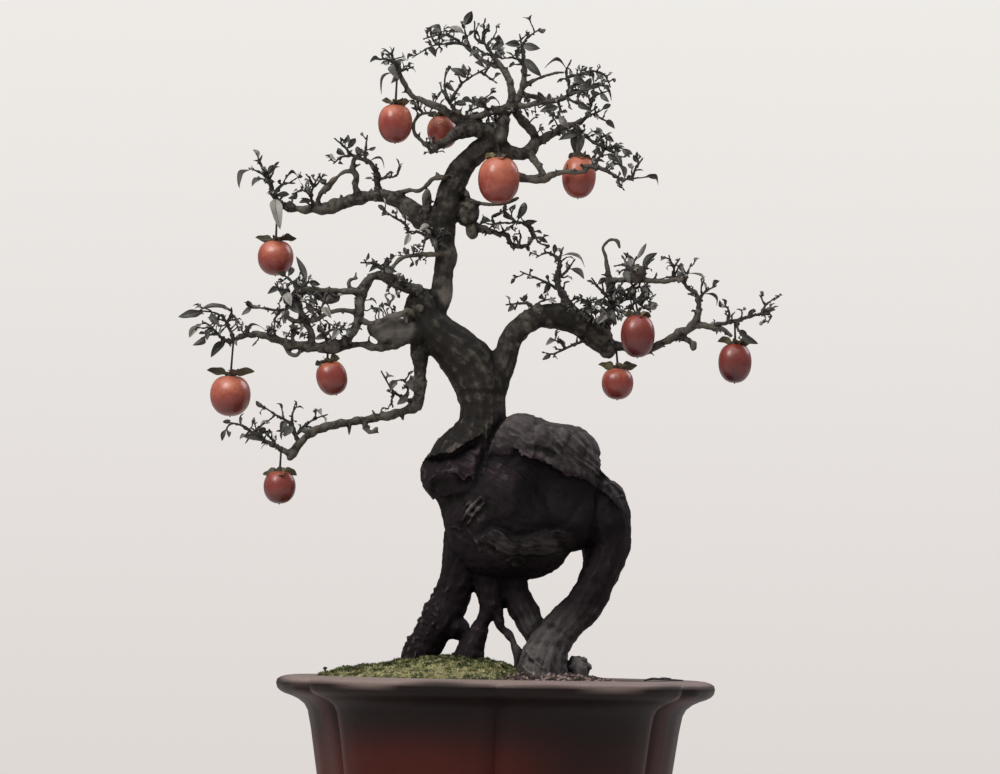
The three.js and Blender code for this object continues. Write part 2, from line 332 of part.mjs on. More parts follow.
// Leafy twigs by place: twigs as [radius, points], leaves as [root, tip, width, lift, turn]
const SPRAYS = {
  crown_left_tip: {
    twigs: [
      [1.6, [-74, -22, 580], [-76.5, -23, 587], [-83, -27, 592], [-90, -29, 592]],
      [1.1, [-77, -24, 588], [-80, -22, 594], [-79, -21, 600]],
      [1.1, [-75.5, -22.5, 584], [-71, -17, 586], [-66, -14, 588]],
    ],
    leaves: [
      [[-75, -23, 583], [-88, -27, 569], 6, 5, 70],
      [[-76, -23, 585], [-80, -12, 577], 8, 2, 20],
      [[-88, -29, 592], [-95, -33, 590], 5, 1, 40],
      [[-79, -25, 589], [-75, -34, 578], 7, 2, 10],
    ],
  },
  crown_back_top: {
    twigs: [
      [1.7, [-18, 17, 597], [-26, 21, 604], [-32, 23, 608.5], [-42, 25, 608.5], [-52, 27, 607], [-66, 30, 599]],
      [1.1, [-32, 23, 608.5], [-38, 24, 613], [-47, 26, 615], [-58, 28, 612]],
      [1.2, [-26, 21, 604], [-28, 20, 611], [-31, 18, 621]],
      [1, [-49, 27, 608], [-53, 32, 613], [-54, 36, 619]],
    ],
    leaves: [
      [[-31, 18.5, 620], [-25, 17, 631], 8.5, 1, 0],
      [[-30, 20, 614], [-40, 22, 621], 6, 2, 30],
      [[-46, 26, 615], [-55, 22, 620], 5.5, 2, 45],
      [[-55, 28, 605], [-50, 36, 600], 6, 1, 20],
      [[-64, 30, 600], [-70, 34, 597], 4.5, 1, 30],
      [[-53, 35, 617], [-46, 42, 616], 6, 1, 30],
    ],
  },
  crown_middle_top: {
    twigs: [
      [1.7, [-7.4, 11, 596], [-13, 12, 604], [-17, 13, 611], [-16, 14, 620]],
      [1.1, [-16, 13, 608], [-22, 10, 611], [-23, 8, 622]],
      [1.1, [-10, 11.4, 600], [-16, 6, 600.5], [-20, 3, 603]],
      [1, [-14, 12, 606], [-11, 19, 611], [-8, 24, 613]],
    ],
    leaves: [
      [[-9.4, 11.4, 599], [-1, 8, 601], 7, 1, 10],
      [[-12, 12, 603], [-3, 15, 611], 8, 1.5, 0],
      [[-17, 13, 611], [-14, 11, 619], 5, 1, 30],
      [[-9, 23, 613], [-2, 29, 609], 7, 2, 30],
      [[-19, 4, 602], [-26, -1, 598], 6, 1, 30],
    ],
  },
  crown_spike: {
    twigs: [
      [1.9, [12.5, -8.2, 583], [12, -9, 594], [10.6, -9, 604], [9, -9, 612]],
      [1.1, [10.6, -9, 604.5], [14, -12, 610], [23, -15, 616.5]],
      [1, [12, -9, 594], [4, -13, 596], [-3, -15, 595]],
      [1, [12, -9, 590], [8, -2, 596], [6, 4, 600]],
    ],
    leaves: [
      [[10.5, -9, 606], [23, -12, 603], 8, 1.5, 0],
      [[9.5, -9, 605], [-1, -12, 606], 7, 1, 10],
      [[11.6, -9, 597], [24.5, -11, 583.5], 8.5, 1.5, 0],
      [[21, -14.5, 615], [27, -16, 616], 4.5, 0.6, 0],
      [[-2, -15, 595], [-8, -20, 600], 6, 1, 20],
      [[6.5, 3, 599], [10, 12, 602], 7, 2, 60],
    ],
  },
  crown_right_top: {
    twigs: [
      [1.6, [45, 16.6, 573], [44, 18, 582], [42, 19, 589], [45, 20, 597]],
      [1.2, [43, 18.5, 586], [52, 17, 588], [60, 15, 590], [68, 13, 588], [72, 12, 582]],
      [1.1, [44.8, 17, 576], [53, 22, 577], [62, 27, 579]],
    ],
    leaves: [
      [[42.6, 19, 591], [27, 16, 593], 5.5, 5, 80],
      [[47, 18, 587], [56, 14, 581], 7.5, 1, 0],
      [[62, 14.5, 590], [69, 10, 585], 6, 1, 20],
      [[60, 26, 578.5], [75, 30, 572], 6, 4, 70],
      [[52, 21.5, 577], [60, 24, 586], 7, 1, 10],
    ],
  },
  crown_right_end: {
    twigs: [
      [2, [48, 14, 552], [57, 15, 558], [59.5, 15, 566], [62, 14, 572], [72, 11, 576]],
      [1.1, [57, 15, 558], [63, 17, 560.5], [69, 19, 564]],
      [1, [62, 16.6, 560], [67, 21, 557.5], [72, 24, 555]],
      [1, [59.7, 15, 567], [58, 7, 571], [56, 0, 573]],
    ],
    leaves: [
      [[66, 12.8, 573.7], [72, 8, 568], 5.5, 1, 10],
      [[67, 18.3, 563], [74, 15, 567], 5, 1, 10],
      [[70, 23, 556], [77, 27, 551], 6, 1, 20],
      [[56.5, 1, 572.5], [50, -5, 578], 7, 2, 30],
    ],
  },
  crown_front: {
    twigs: [
      [1.9, [23, -13.8, 564.4], [36, -19, 566], [47, -22, 571], [59, -26, 574]],
      [1.1, [36, -19, 566], [38, -25, 559], [36, -30, 553]],
      [1, [42, -20.6, 568.7], [47, -28, 565], [53, -33, 564]],
    ],
    leaves: [
      [[56, -25.2, 573.4], [66, -29, 578], 6, 1.5, 30],
      [[37.3, -23, 561.5], [24, -27, 558], 7.5, 1.5, 10],
      [[36.6, -28, 555], [44, -33, 546], 7, 1.5, 0],
      [[29, -16, 565], [22, -20, 572], 6, 1, 0],
      [[51, -31, 564.3], [59, -36, 559], 6.5, 1.5, 10],
    ],
  },
  crown_middle: {
    twigs: [
      [1.5, [-35, -15, 558], [-40, -17, 565], [-43, -18, 575], [-42, -18, 586]],
      [1.3, [-39, -16.5, 563.5], [-33, -18, 574], [-27, -20, 580], [-11, -23, 589]],
      [1, [-18, -21.8, 585], [-12, -20, 581], [-7, -18, 578]],
    ],
    leaves: [
      [[-27, -20, 580], [-39, -24, 587], 7.5, 2, 20],
      [[-23, -20.9, 582], [-31, -26, 590], 7, 1.5, 20],
      [[-35, -17.4, 570.5], [-42, -25, 577], 5.5, 1, 20],
      [[-38, -16, 562.4], [-27, -22, 562], 6, 1, 20],
      [[-14, -22.4, 587.2], [-22, -16, 593], 5, 1, 20],
    ],
  },
  crown_inner: {
    twigs: [
      [1.4, [-10, -7.6, 558.4], [-15, -13, 562], [-19, -18, 566]],
      [1.1, [-14, -12, 561.3], [-21, -8, 563], [-25, -3, 566]],
    ],
    leaves: [
      [[-16, -14.3, 563], [-4, -20, 562], 6.5, 4, 70],
      [[-18, -16.7, 565], [-22, -25, 561], 6, 1, 20],
      [[-23, -5.5, 564.5], [-17, 3, 568], 8, 1.5, 20],
      [[-22, -7, 563.5], [-32, -3, 564], 7, 1.5, 30],
    ],
  },
  crown_under: {
    twigs: [
      [1.6, [47, 14.6, 552.6], [55, 8, 545], [62, 4, 539], [71, 0, 534], [80, -3, 529]],
      [1.2, [63, 3.5, 538.4], [68, 7, 543], [73, 10, 546]],
      [1.1, [71, 0, 534], [78, -6, 536], [84, -9, 533]],
      [1.1, [70, 0.5, 534.5], [66, -6, 528], [61, -10, 524]],
    ],
    leaves: [
      [[51, 11, 549], [50, 6, 529], 14, 1.5, -8],
      [[52, 10.5, 547.8], [38, 4, 541], 8, 1.5, 10],
      [[67, 6, 542], [64, 8, 550], 6, 1, 0],
      [[70, 8.2, 544.2], [76, 5, 540], 6, 1, 0],
      [[77, -2, 530.5], [82, -6, 520], 6, 1.5, 10],
      [[82, -8, 534], [87, -12, 528], 5, 1, 10],
    ],
  },
  stub_branch_tip: {
    twigs: [
      [2.1, [54.5, -30.4, 519], [62, -33.5, 519], [70, -36, 517], [78, -38, 512], [84, -40, 510.5], [98, -44, 512]],
      [1.1, [88, -41, 511], [91, -43, 518], [95, -45, 524]],
      [1.1, [79, -38.3, 511.8], [80, -40, 507], [83, -42, 503]],
      [1.1, [70, -36, 517.2], [75, -33, 522], [81, -31, 521]],
      [1.2, [62, -33.5, 519.2], [66, -36, 526], [73, -38, 528]],
    ],
    leaves: [
      [[96, -43.4, 511.8], [107, -47, 507], 8, 4, 60],
      [[93, -44, 521], [89, -46, 527], 5, 1, 0],
      [[79, -31.6, 521.4], [84, -30, 512], 5.5, 1.5, 20],
      [[71, -37.5, 527.5], [79, -41, 523], 6, 1, 10],
      [[67, -36.2, 526.3], [64, -42, 533], 6, 1, 20],
    ],
  },
  trunk_right_twigs: {
    twigs: [
      [2, [-13, -1.4, 476], [-4, 1, 474], [3, 3, 474], [8, 0, 480], [13, -2, 483], [18, -4, 479], [20, -5, 472]],
      [1.1, [-9, -0.4, 475.2], [-8, -6, 481], [4, -8, 487]],
      [1, [18, -4, 479], [24, -7, 475], [27, -9, 468]],
      [1, [7, 0.8, 478.6], [4, 6, 484], [7, 10, 489]],
    ],
    leaves: [
      [[6.4, 9, 488], [15, 10, 497], 7.5, 0.5, 0],
      [[14.5, -2.6, 482], [23, 0, 483], 6, 1, 20],
      [[25, -7.6, 472.8], [31, -10, 467], 4.5, 1, 10],
      [[-8, -5.6, 480.6], [-15, -13, 486], 5.5, 1, 20],
      [[2, -7.6, 486], [8, -15, 482], 6, 1.5, 20],
    ],
  },
  left_branch_tip: {
    twigs: [
      [3.4, [-148, 29, 490.2], [-157, 30.6, 492.5], [-163, 31, 501], [-166, 31, 511], [-171, 30, 519], [-175, 29, 528]],
      [1.2, [-166, 31, 511], [-172, 28, 515], [-180, 25, 518]],
      [1.4, [-162.5, 31, 500], [-156, 36, 508], [-149, 40, 509]],
      [1.1, [-164.5, 31, 506], [-168, 38, 511], [-172, 44, 512]],
    ],
    leaves: [
      [[-178, 25.7, 517.4], [-187, 22, 504], 7, 3, 40],
      [[-157, 35.2, 507], [-142.5, 33, 507], 7, 7, 75],
      [[-167, 30.8, 512.5], [-163, 27, 521], 5.5, 1, 0],
      [[-160.5, 30.8, 497.5], [-157, 17, 476], 12, 2, -10],
      [[-173.5, 29.4, 524.5], [-178, 32, 532], 4.5, 1, 10],
      [[-162, 31, 499.5], [-151, 26, 501], 6, 1, 30],
      [[-171, 42.5, 511.7], [-179, 50, 507], 7, 2, 40],
    ],
  },
  left_branch_uprights: {
    twigs: [
      [2.8, [-88, 15, 501], [-89, 11, 509], [-91, 8, 518], [-98, 8, 524], [-107, 7, 527], [-113, 5, 533], [-119, 4, 538]],
      [1.3, [-98, 8, 524], [-98, 6, 531], [-97, 6, 540]],
      [1.1, [-107, 7, 527], [-115, 11, 526], [-120, 15, 522]],
      [1.1, [-89.4, 10.2, 511], [-82, 5, 512], [-76, 2, 513], [-73, 0, 519]],
    ],
    leaves: [
      [[-111, 5.8, 531], [-105, 3, 539], 6.5, 2, 20],
      [[-104, 7.4, 526], [-101, 1, 532], 6.5, 1.5, 10],
      [[-111, 9, 526.5], [-118, 3, 531], 6, 1, 10],
      [[-96, 8, 522.4], [-84, 2, 519], 4.5, 4.5, 70],
      [[-115, 4.7, 534.8], [-110, 9, 542], 5, 1, 10],
      [[-103, 7.4, 525.8], [-101, 18, 528], 7, 1.5, 30],
      [[-118, 13.4, 523.7], [-125, 20, 527], 6, 1, 30],
    ],
  },
  left_branch_middle: {
    twigs: [
      [1.6, [-133, 25, 490.5], [-136, 22, 498], [-134, 19, 506], [-130, 17, 514]],
      [1.1, [-135.5, 21.5, 500], [-142, 25, 503], [-149, 31, 501]],
      [1, [-134, 19.4, 505], [-137, 14, 511], [-139, 11, 513]],
    ],
    leaves: [
      [[-135, 23, 496], [-144, 17, 494], 6, 1, 20],
      [[-146, 28.4, 502], [-152, 36, 498], 6, 1, 20],
      [[-132, 18, 510], [-125, 13, 509], 5.5, 1, 10],
      [[-139, 23.4, 501.6], [-140, 32, 506], 6.5, 1.5, 30],
    ],
  },
  trunk_left_drooping: {
    twigs: [
      [1.7, [-46, -7, 467], [-53, -11, 470], [-61, -15, 473], [-67, -17, 472]],
      [1.2, [-66, -16.6, 472.2], [-69, -19, 478], [-76, -21, 482], [-84, -23, 487]],
      [1.1, [-54, -11.5, 470.5], [-55, -14, 466], [-56, -14, 461]],
    ],
    leaves: [
      [[-66, -16.6, 472.2], [-69, -19, 463], 6, 1, 0],
      [[-60, -14.5, 472.6], [-52, -20, 477], 6, 1, 30],
      [[-50, -9.3, 468.7], [-47, -16, 461], 6, 1, 10],
      [[-82, -22.5, 485.7], [-88, -20, 491], 4.5, 1, 10],
    ],
  },
  left_middle_top: {
    twigs: [
      [1.5, [-83, -16.6, 442], [-85, -20, 447], [-91, -23, 450], [-98, -26, 450]],
      [1.1, [-84.6, -19.3, 446], [-88, -17, 450], [-91, -16, 453]],
      [1.1, [-84.2, -18.6, 445], [-81, -23, 449], [-78, -28, 451]],
    ],
    leaves: [
      [[-83.8, -18, 444], [-81, -18, 455], 6, 1, 10],
      [[-82, -21.8, 448], [-74, -27, 444], 7, 1.5, 10],
      [[-86, -20.5, 447.5], [-93, -26, 444], 5.5, 1, 20],
      [[-79, -26.4, 450.4], [-75, -35, 455], 6, 1, 30],
    ],
  },
  left_middle_cluster: {
    twigs: [
      [2, [-141, -22.6, 423], [-149, -26, 425], [-155, -29, 430], [-158, -31, 434]],
      [1.5, [-147, -25.4, 424.6], [-144, -29, 431], [-149, -28, 438], [-154, -27, 441]],
      [1.5, [-146, -25, 424.3], [-149, -25, 418], [-156, -26, 416], [-166, -28, 417], [-177, -29, 417]],
      [1.2, [-144.5, -28.4, 430], [-139, -30, 433], [-134, -29, 436]],
      [1.1, [-154, -25.8, 416.6], [-158, -28, 410], [-158, -31, 403]],
    ],
    leaves: [
      [[-136, -29.4, 434.8], [-143.5, -27, 454], 6.5, -2, 20],
      [[-135, -29.2, 435.5], [-127, -31, 434], 6, 1, 0],
      [[-151, -27.6, 439.2], [-157, -30, 442], 6, 1, 10],
      [[-152, -27.4, 427.5], [-147, -36, 419], 8, 1.5, 0],
      [[-148, -25.5, 421], [-141, -33, 414], 8, 1.5, 0],
      [[-156, -29.6, 431.4], [-163, -34, 427], 6, 1, 0],
      [[-150, -25.2, 417.6], [-152, -18, 407], 8, 1.5, 10],
      [[-174, -28.8, 417], [-181, -32, 412], 5, 1, 20],
      [[-172, -28.6, 417], [-178, -34, 421], 5, 1, 20],
      [[-150, -27.9, 438.5], [-146, -22, 446], 5.5, 1, 20],
      [[-150, -26.5, 425.8], [-152, -14, 431], 8, 2, 30],
    ],
  },
  left_middle_inner: {
    twigs: [
      [1.5, [-122, -23.4, 429.6], [-124, -28, 424], [-126, -29, 418], [-131, -28, 413]],
    ],
    leaves: [
      [[-124, -28, 424], [-131, -34, 428], 7, 1.5, 0],
      [[-125, -28.5, 421], [-118, -34, 425], 6.5, 1, 0],
      [[-126, -29, 418], [-119, -32, 411], 6.5, 1.5, 0],
      [[-129, -28.5, 415], [-136, -34, 420], 6.5, 1.5, 0],
    ],
  },
  left_lower_inner: {
    twigs: [
      [1.5, [-120, -19, 394], [-123, -25, 399], [-117, -28, 403], [-108, -30, 403]],
    ],
    leaves: [
      [[-114, -28.7, 403], [-118, -34, 396], 6.5, 1.5, 0],
      [[-122, -23.5, 397.8], [-130, -29, 396], 6.5, 1, 10],
      [[-121, -26, 400.2], [-128, -30, 406], 6.5, 1, 10],
      [[-109, -29.8, 403], [-101, -33, 400], 6, 1.5, 0],
    ],
  },
  far_left: {
    twigs: [
      [2.2, [-169, -9.6, 399.6], [-180, -7, 398.5], [-190, -5, 394.5], [-196, -4, 397], [-201, -2, 402], [-207, 0, 407],
        [-213, 2, 406]],
      [1.4, [-187, -5.6, 395.7], [-191, -8, 404], [-195, -10, 411], [-201, -12, 414], [-211, -14, 415]],
      [1.2, [-192.6, -8.8, 407], [-189, -12, 413], [-189, -14, 417]],
      [1.1, [-199, -2.8, 400], [-205, 5, 399], [-210, 9, 397]],
    ],
    leaves: [
      [[-189, -13.6, 416], [-211, -16, 416], 7, 2.5, 60],
      [[-208, -13.4, 414.7], [-226, -15, 411], 8.5, 1.5, 20],
      [[-203, -12.4, 414.2], [-197, -18, 405], 6.5, 1, 10],
      [[-210, 1, 406.5], [-219, 3, 397], 6.5, 1.5, 10],
      [[-204, -1, 404.5], [-206, -7, 395], 6, 1, 10],
      [[-192, -4.7, 395.3], [-203, -8, 383], 8, 1.5, 10],
      [[-180, -7, 398.6], [-165, -10, 404], 6, 3, 70],
      [[-208, 7.4, 397.8], [-216, 14, 392], 7, 1.5, 20],
    ],
  },
  down_branch_tip: {
    twigs: [
      [1.6, [-140, -24.3, 323], [-143, -26, 332], [-145, -27, 340], [-143, -27, 350]],
      [1.3, [-144, -26.5, 336], [-151, -29, 340], [-158, -32, 344], [-166, -35, 349]],
      [1.2, [-142, -25.4, 329], [-136, -21, 336], [-129, -18, 341], [-121, -16, 344]],
    ],
    leaves: [
      [[-144, -26.4, 335], [-150, -31, 328], 7.5, 1, 0],
      [[-150, -28.6, 339.4], [-152, -33, 330], 7, 1, 0],
      [[-140, -23.9, 331.4], [-133, -29, 332], 6, 1, 10],
      [[-163, -34, 347], [-170, -38, 352], 4.5, 1, 10],
      [[-124, -16.8, 342.9], [-127, -9, 348], 5.5, 1, 20],
    ],
  },
  down_branch_end: {
    twigs: [
      [2, [-149, -27, 317.6], [-157, -29, 321.5], [-166, -32, 326], [-172, -33, 330], [-180, -34, 335],
        [-187, -34, 336], [-191, -33, 331]],
      [1.1, [-156, -28.8, 321], [-159, -22, 326], [-163, -17, 330]],
    ],
    leaves: [
      [[-162, -30.6, 323.7], [-178, -36, 327], 8.5, 1, 10],
      [[-168, -32.3, 327.4], [-163, -37, 334], 6, 1, 10],
      [[-162, -18.3, 329], [-170, -12, 333], 6.5, 1.5, 30],
      [[-190, -33.3, 332.3], [-193, -34, 324], 4.5, 1, 0],
    ],
  },
  down_branch_elbow: {
    twigs: [
      [1.5, [-61, -6.6, 354], [-68, -10, 357], [-75, -13, 361], [-83, -15, 374]],
      [1.2, [-66, -9, 356.2], [-65, -14, 363], [-68, -18, 369], [-74, -20, 368]],
      [1.1, [-74, -12.6, 360.4], [-76, -17, 355], [-75, -20, 350]],
    ],
    leaves: [
      [[-65.5, -11.6, 360], [-72, -17, 352], 7, 1, 0],
      [[-67, -17, 367.6], [-61, -23, 361], 6.5, 1, 0],
      [[-66, -15.4, 365], [-63, -9, 373], 6, 1, 10],
      [[-72, -19.4, 368.4], [-77, -24, 361], 6, 1.5, 0],
    ],
  },
  right_fork: {
    twigs: [
      [2.6, [44.5, 13.2, 428.5], [38.5, 11, 440], [39, 10, 448], [40, 9, 454], [36, 8, 459], [30, 7, 461], [24, 6, 458]],
      [1.2, [39.7, 9.3, 452], [40, 11, 458], [42, 12, 465]],
      [1.2, [38.7, 10.6, 443], [45, 7, 449], [50, 4, 456]],
      [1.2, [41, 12, 435], [32, 15, 440], [23, 18, 444], [13, 20, 448]],
    ],
    leaves: [
      [[40.2, 11, 459], [58, 7, 453], 5.5, 3, 60],
      [[36, 8, 459], [36, 4, 467], 4.5, 1, 10],
      [[46, 6.4, 450.2], [57, 3, 443], 6, 1.5, 20],
      [[31, 15.3, 440.4], [29, 21, 433], 6, 1, 20],
    ],
  },
  right_fine: {
    twigs: [
      [1.4, [24, 8.4, 417], [20, 5, 424], [12, 4, 425], [4, 3, 424]],
      [1.1, [21, 6, 422.5], [28, 5, 427], [36, 4, 429]],
    ],
    leaves: [
      [[15, 4.4, 424.6], [17, 2, 431], 5, 1, 10],
      [[8, 3.5, 424.5], [4, 1, 419], 5, 1, 10],
      [[30, 4.8, 427.5], [26, -1, 431], 5.5, 1, 10],
      [[34, 4.3, 428.5], [38, -2, 426], 5.5, 1, 10],
    ],
  },
  right_cluster_top: {
    twigs: [
      [1.8, [92, 5.7, 443], [91, 6, 451], [93, 5, 458]],
      [1.2, [91.2, 6, 450], [85, 11, 454], [79, 13, 453]],
      [1.1, [91.3, 6, 449], [98, 1, 451], [105, -3, 457]],
      [1.1, [91.4, 6, 448], [86, 0, 450], [82, -4, 448]],
    ],
    leaves: [
      [[92.5, 5.3, 456], [100, 3, 469], 4.5, 2.5, 10],
      [[97, 1.7, 450.7], [108, -3, 462], 6.5, 1, 0],
      [[91.2, 6, 450], [88, 9, 461], 6, 1, 0],
      [[91.5, 6, 447.5], [101, 10, 448], 7, 1, 10],
      [[87, 1, 449.7], [89, -6, 441], 7.5, 1.5, 0],
      [[84, 11.4, 453.8], [88, 20, 450], 7, 1.5, 30],
    ],
  },
  right_cluster: {
    twigs: [
      [2, [76, 18.4, 426], [83, 13, 429], [91, 8, 430], [98, 5, 425], [104, 3, 421]],
      [1.5, [79, 16, 427.4], [72, 12, 433], [66, 10, 439], [63, 8, 443]],
      [1.3, [89, 9, 430], [93, 13, 437], [99, 15, 439]],
      [1.3, [81, 14.4, 428.2], [84, 20, 434], [88, 26, 438]],
      [1.4, [80, 15.2, 427.8], [76, 8, 422], [70, 8, 420], [64, 8, 423], [60, 8, 429]],
    ],
    leaves: [
      [[101, 4, 423], [108.5, 2, 427], 8, 2, 10],
      [[97, 5.4, 425.8], [101, 1, 435], 7, 1, 0],
      [[88, 9.8, 429.6], [80, 3, 436], 8, 1.5, 0],
      [[85, 11.8, 429.3], [92, 3, 438], 8, 1.5, 0],
      [[72, 12, 433], [79, 8, 439], 7, 1.5, 0],
      [[66, 10, 439], [72, 5, 444], 5.5, 1, 0],
      [[64, 8, 423], [56, 6, 420], 6.5, 1, 0],
      [[73, 8, 421], [67, 2, 412], 8, 1.5, 0],
      [[76, 8, 422], [80, 0, 413], 8, 1.5, 0],
      [[87, 24.6, 437.3], [94, 30, 432], 8, 2, 30],
      [[97, 14.4, 438.4], [103, 20, 434], 6.5, 1, 20],
    ],
  },
  right_loop: {
    twigs: [
      [2, [137, -20, 417.5], [137, -19, 427], [134, -16, 434], [128.5, -13, 438], [125, -11, 443], [119, -8, 445],
        [110, -4, 443.2]],
      [1.2, [119, -8, 445], [120, -9, 452], [123, -10, 457]],
      [1, [119.8, -8.8, 450.6], [117, -11, 456], [116, -12, 459]],
      [1.2, [127, -12, 440.5], [129, -14, 447], [131, -15, 453]],
      [1.2, [136.4, -18.4, 428.4], [141, -21, 434], [148, -24, 438]],
    ],
    leaves: [
      [[129, -14, 447], [142, -17, 439], 5, 3.5, 70],
      [[121, -9.3, 453.7], [127, -10, 447], 5, 2, 30],
      [[140, -20.5, 432.8], [150, -24, 425], 5.5, 3, 60],
      [[146, -23, 436.8], [151, -26, 442], 4.5, 1, 10],
      [[122, -9.5, 444], [128, 0, 446], 6.5, 1.5, 30],
    ],
  },
  right_end: {
    twigs: [
      [1.8, [147, -21.6, 409.6], [157, -25, 413], [166, -28, 415], [175, -30, 418], [181, -31, 419], [187, -32, 418],
        [185, -33, 413]],
      [1.1, [157, -25, 413], [158, -27, 420], [155, -28, 425]],
      [1.1, [180, -30.8, 418.8], [183, -30, 425], [189, -29, 430]],
      [1.2, [164, -27.3, 414.6], [164, -31, 408], [168, -33, 404]],
    ],
    leaves: [
      [[181, -30.5, 421], [190, -33, 422], 4.5, 1, 10],
      [[170, -28.9, 416.3], [176, -33, 422], 4.5, 1, 10],
      [[156.3, -27.6, 423], [151, -30, 428], 4.5, 1, 10],
      [[166, -32, 406], [178, -36, 398], 7, 1.5, 0],
      [[164.4, -31.3, 407.6], [171, -25, 401], 5.5, 1, 10],
    ],
  },
  right_underside: {
    twigs: [
      [1.4, [61, 18, 402], [53, 15, 398], [44, 12, 394], [36, 10, 390], [30, 9, 391]],
      [1, [45, 12.3, 394.4], [41, 6, 398], [36, 2, 400]],
    ],
    leaves: [
      [[35, 9.9, 390.2], [29, 12, 386], 4.5, 1, 10],
      [[37, 2.8, 399.6], [31, -3, 396], 5.5, 1, 20],
    ],
  },
};

// Berries: centre, half width, half height, lean in degrees, then the height of the stalk's top
// and how far the calyx lobes rise at their tips
const FRUITS = [
  { centre: [-78.5, -24, 549.5], half: [11.7, 14], lean: 0, stalkTo: [-76, -22.5, 585], rise: 3 },
  { centre: [-46.5, 8, 546], half: [10.6, 12], lean: -6, stalkTo: [-38, -10, 556], rise: 1 },
  { centre: [-4.5, -27, 514], half: [14.4, 17], lean: 0, stalkTo: [-6, -4, 538], rise: 2 },
  { centre: [52, -10, 517.5], half: [11.7, 15.3], lean: 2, stalkTo: [50, 8, 551], rise: 1 },
  { centre: [-159.7, 30, 455], half: [12.5, 12.6], lean: 0, stalkTo: [-160, 31, 491], rise: 2.4 },
  { centre: [-189, -5, 357], half: [14.1, 14.7], lean: 0, stalkTo: [-187.5, -5.5, 395], rise: 3.4 },
  { centre: [-118, -17, 371], half: [10.7, 12.3], lean: -16, stalkTo: [-121, -17, 391], rise: 0.5 },
  { centre: [-153.5, -28, 294], half: [11, 11.8], lean: 0, stalkTo: [-152, -27.8, 318.5], rise: -2.5 },
  { centre: [95, -9, 404.5], half: [11.9, 14.4], lean: 0, stalkTo: [93, 7, 429], rise: 1.5 },
  { centre: [81.5, 22, 371], half: [11.4, 11.5], lean: 0, stalkTo: [80.5, 22, 396], rise: 2 },
  { centre: [163, -26, 385.5], half: [11.4, 13.6], lean: 0, stalkTo: [162, -27, 413.5], rise: 1.5 },
];

// Distance of the pot's wall from a plain round one, by the degrees past one of its six creases
function lobeOffset(degrees) {
  const fromCrease = Math.min(degrees, 60 - degrees);
  if (fromCrease < 12) {
    return -LOBE_CREASE * (1 - fromCrease / 5) * (fromCrease < 5 ? 1 : 0) + (LOBE_SHOULDER * fromCrease) / 12;
  }
  return LOBE_SHOULDER * Math.max(0, 1 - (fromCrease - 12) / 14);
}

// Six lobes: the walls' points gather at the creases, the first of which faces the front
function potGeometry() {
  const points = POT_PROFILE.map(([radius, height]) => new THREE.Vector2(radius, height));
  const perLobe = LOBE_ANGLES.length;
  const geometry = new THREE.LatheGeometry(points, 6 * perLobe);
  reshape(geometry, (point, index) => {
    const [radius, height, share] = POT_PROFILE[index % POT_PROFILE.length];
    const turn = Math.floor(index / POT_PROFILE.length) % (6 * perLobe);
    const degrees = LOBE_ANGLES[turn % perLobe];
    const angle = THREE.MathUtils.degToRad(60 * Math.floor(turn / perLobe) + degrees - 90);
    const reach = radius > 0 ? radius + share * lobeOffset(degrees) : 0;
    point.set(reach * Math.cos(angle), reach * Math.sin(angle), height);
  });
  return geometry;
}

function makePot() {
  let pot = solidOf(potGeometry());
  for (const x of [-DRAIN_OFFSET, DRAIN_OFFSET]) {
    const drain = new THREE.CylinderGeometry(DRAIN_RADIUS, DRAIN_RADIUS, 3 * POT_FLOOR, 10);
    drain.rotateX(Math.PI / 2);
    drain.translate(x, 0, 0);
    pot = pot.subtract(solidOf(drain));
  }
  return geometryOf(pot);
}

function makeScreen() {
  let screen = solidOf(new THREE.BoxGeometry(SCREEN_SIZE, SCREEN_SIZE, SCREEN_HEIGHT));
  for (const column of [-6, 6]) {
    for (const row of [-6, 6]) {
      const hole = new THREE.BoxGeometry(9, 9, 2 * SCREEN_HEIGHT);
      hole.translate(column, row, 0);
      screen = screen.subtract(solidOf(hole));
    }
  }
  return geometryOf(screen);
}

// Height of the mounded earth above its plain round profile
function mound(x, y) {
  return 5 * Math.exp(-((x + 25) ** 2 + y ** 2) / 2600) + 3 * Math.exp(-((x - 42) ** 2 + (y + 12) ** 2) / 900);
}

function makeSoilBody() {
  const points = SOIL_PROFILE.map(([radius, height]) => new THREE.Vector2(radius, height));
  const geometry = new THREE.LatheGeometry(points, 20);
  reshape(geometry, (point) => {
    const top = point.y > 150 ? mound(point.x, -point.z) : 0;
    point.set(point.x, -point.z, point.y + top);
  });
  return solidOf(geometry);
}

// The moss cushion: a lens over the left of the soil, later cut to the soil's own surface
function makeMossBody() {
  const geometry = new THREE.SphereGeometry(1, 14, 7);
  geometry.rotateX(Math.PI / 2);
  reshape(geometry, (point) => {
    const x = -52 + 72 * point.x;
    const y = -12 + 88 * point.y;
    const crest = Math.exp(-((x + 18) ** 2) / 5200 - (y - 6) ** 2 / 7000);
    const tufts = 0.9 * Math.sin(0.31 * x + 0.2 * y) * Math.sin(0.27 * y - 0.1 * x);
    const top = point.z > 0 ? (7 + 12 * crest + tufts) * Math.sqrt(point.z) : 20 * point.z;
    point.set(x, y, 160.5 + top);
  });
  return solidOf(geometry);
}

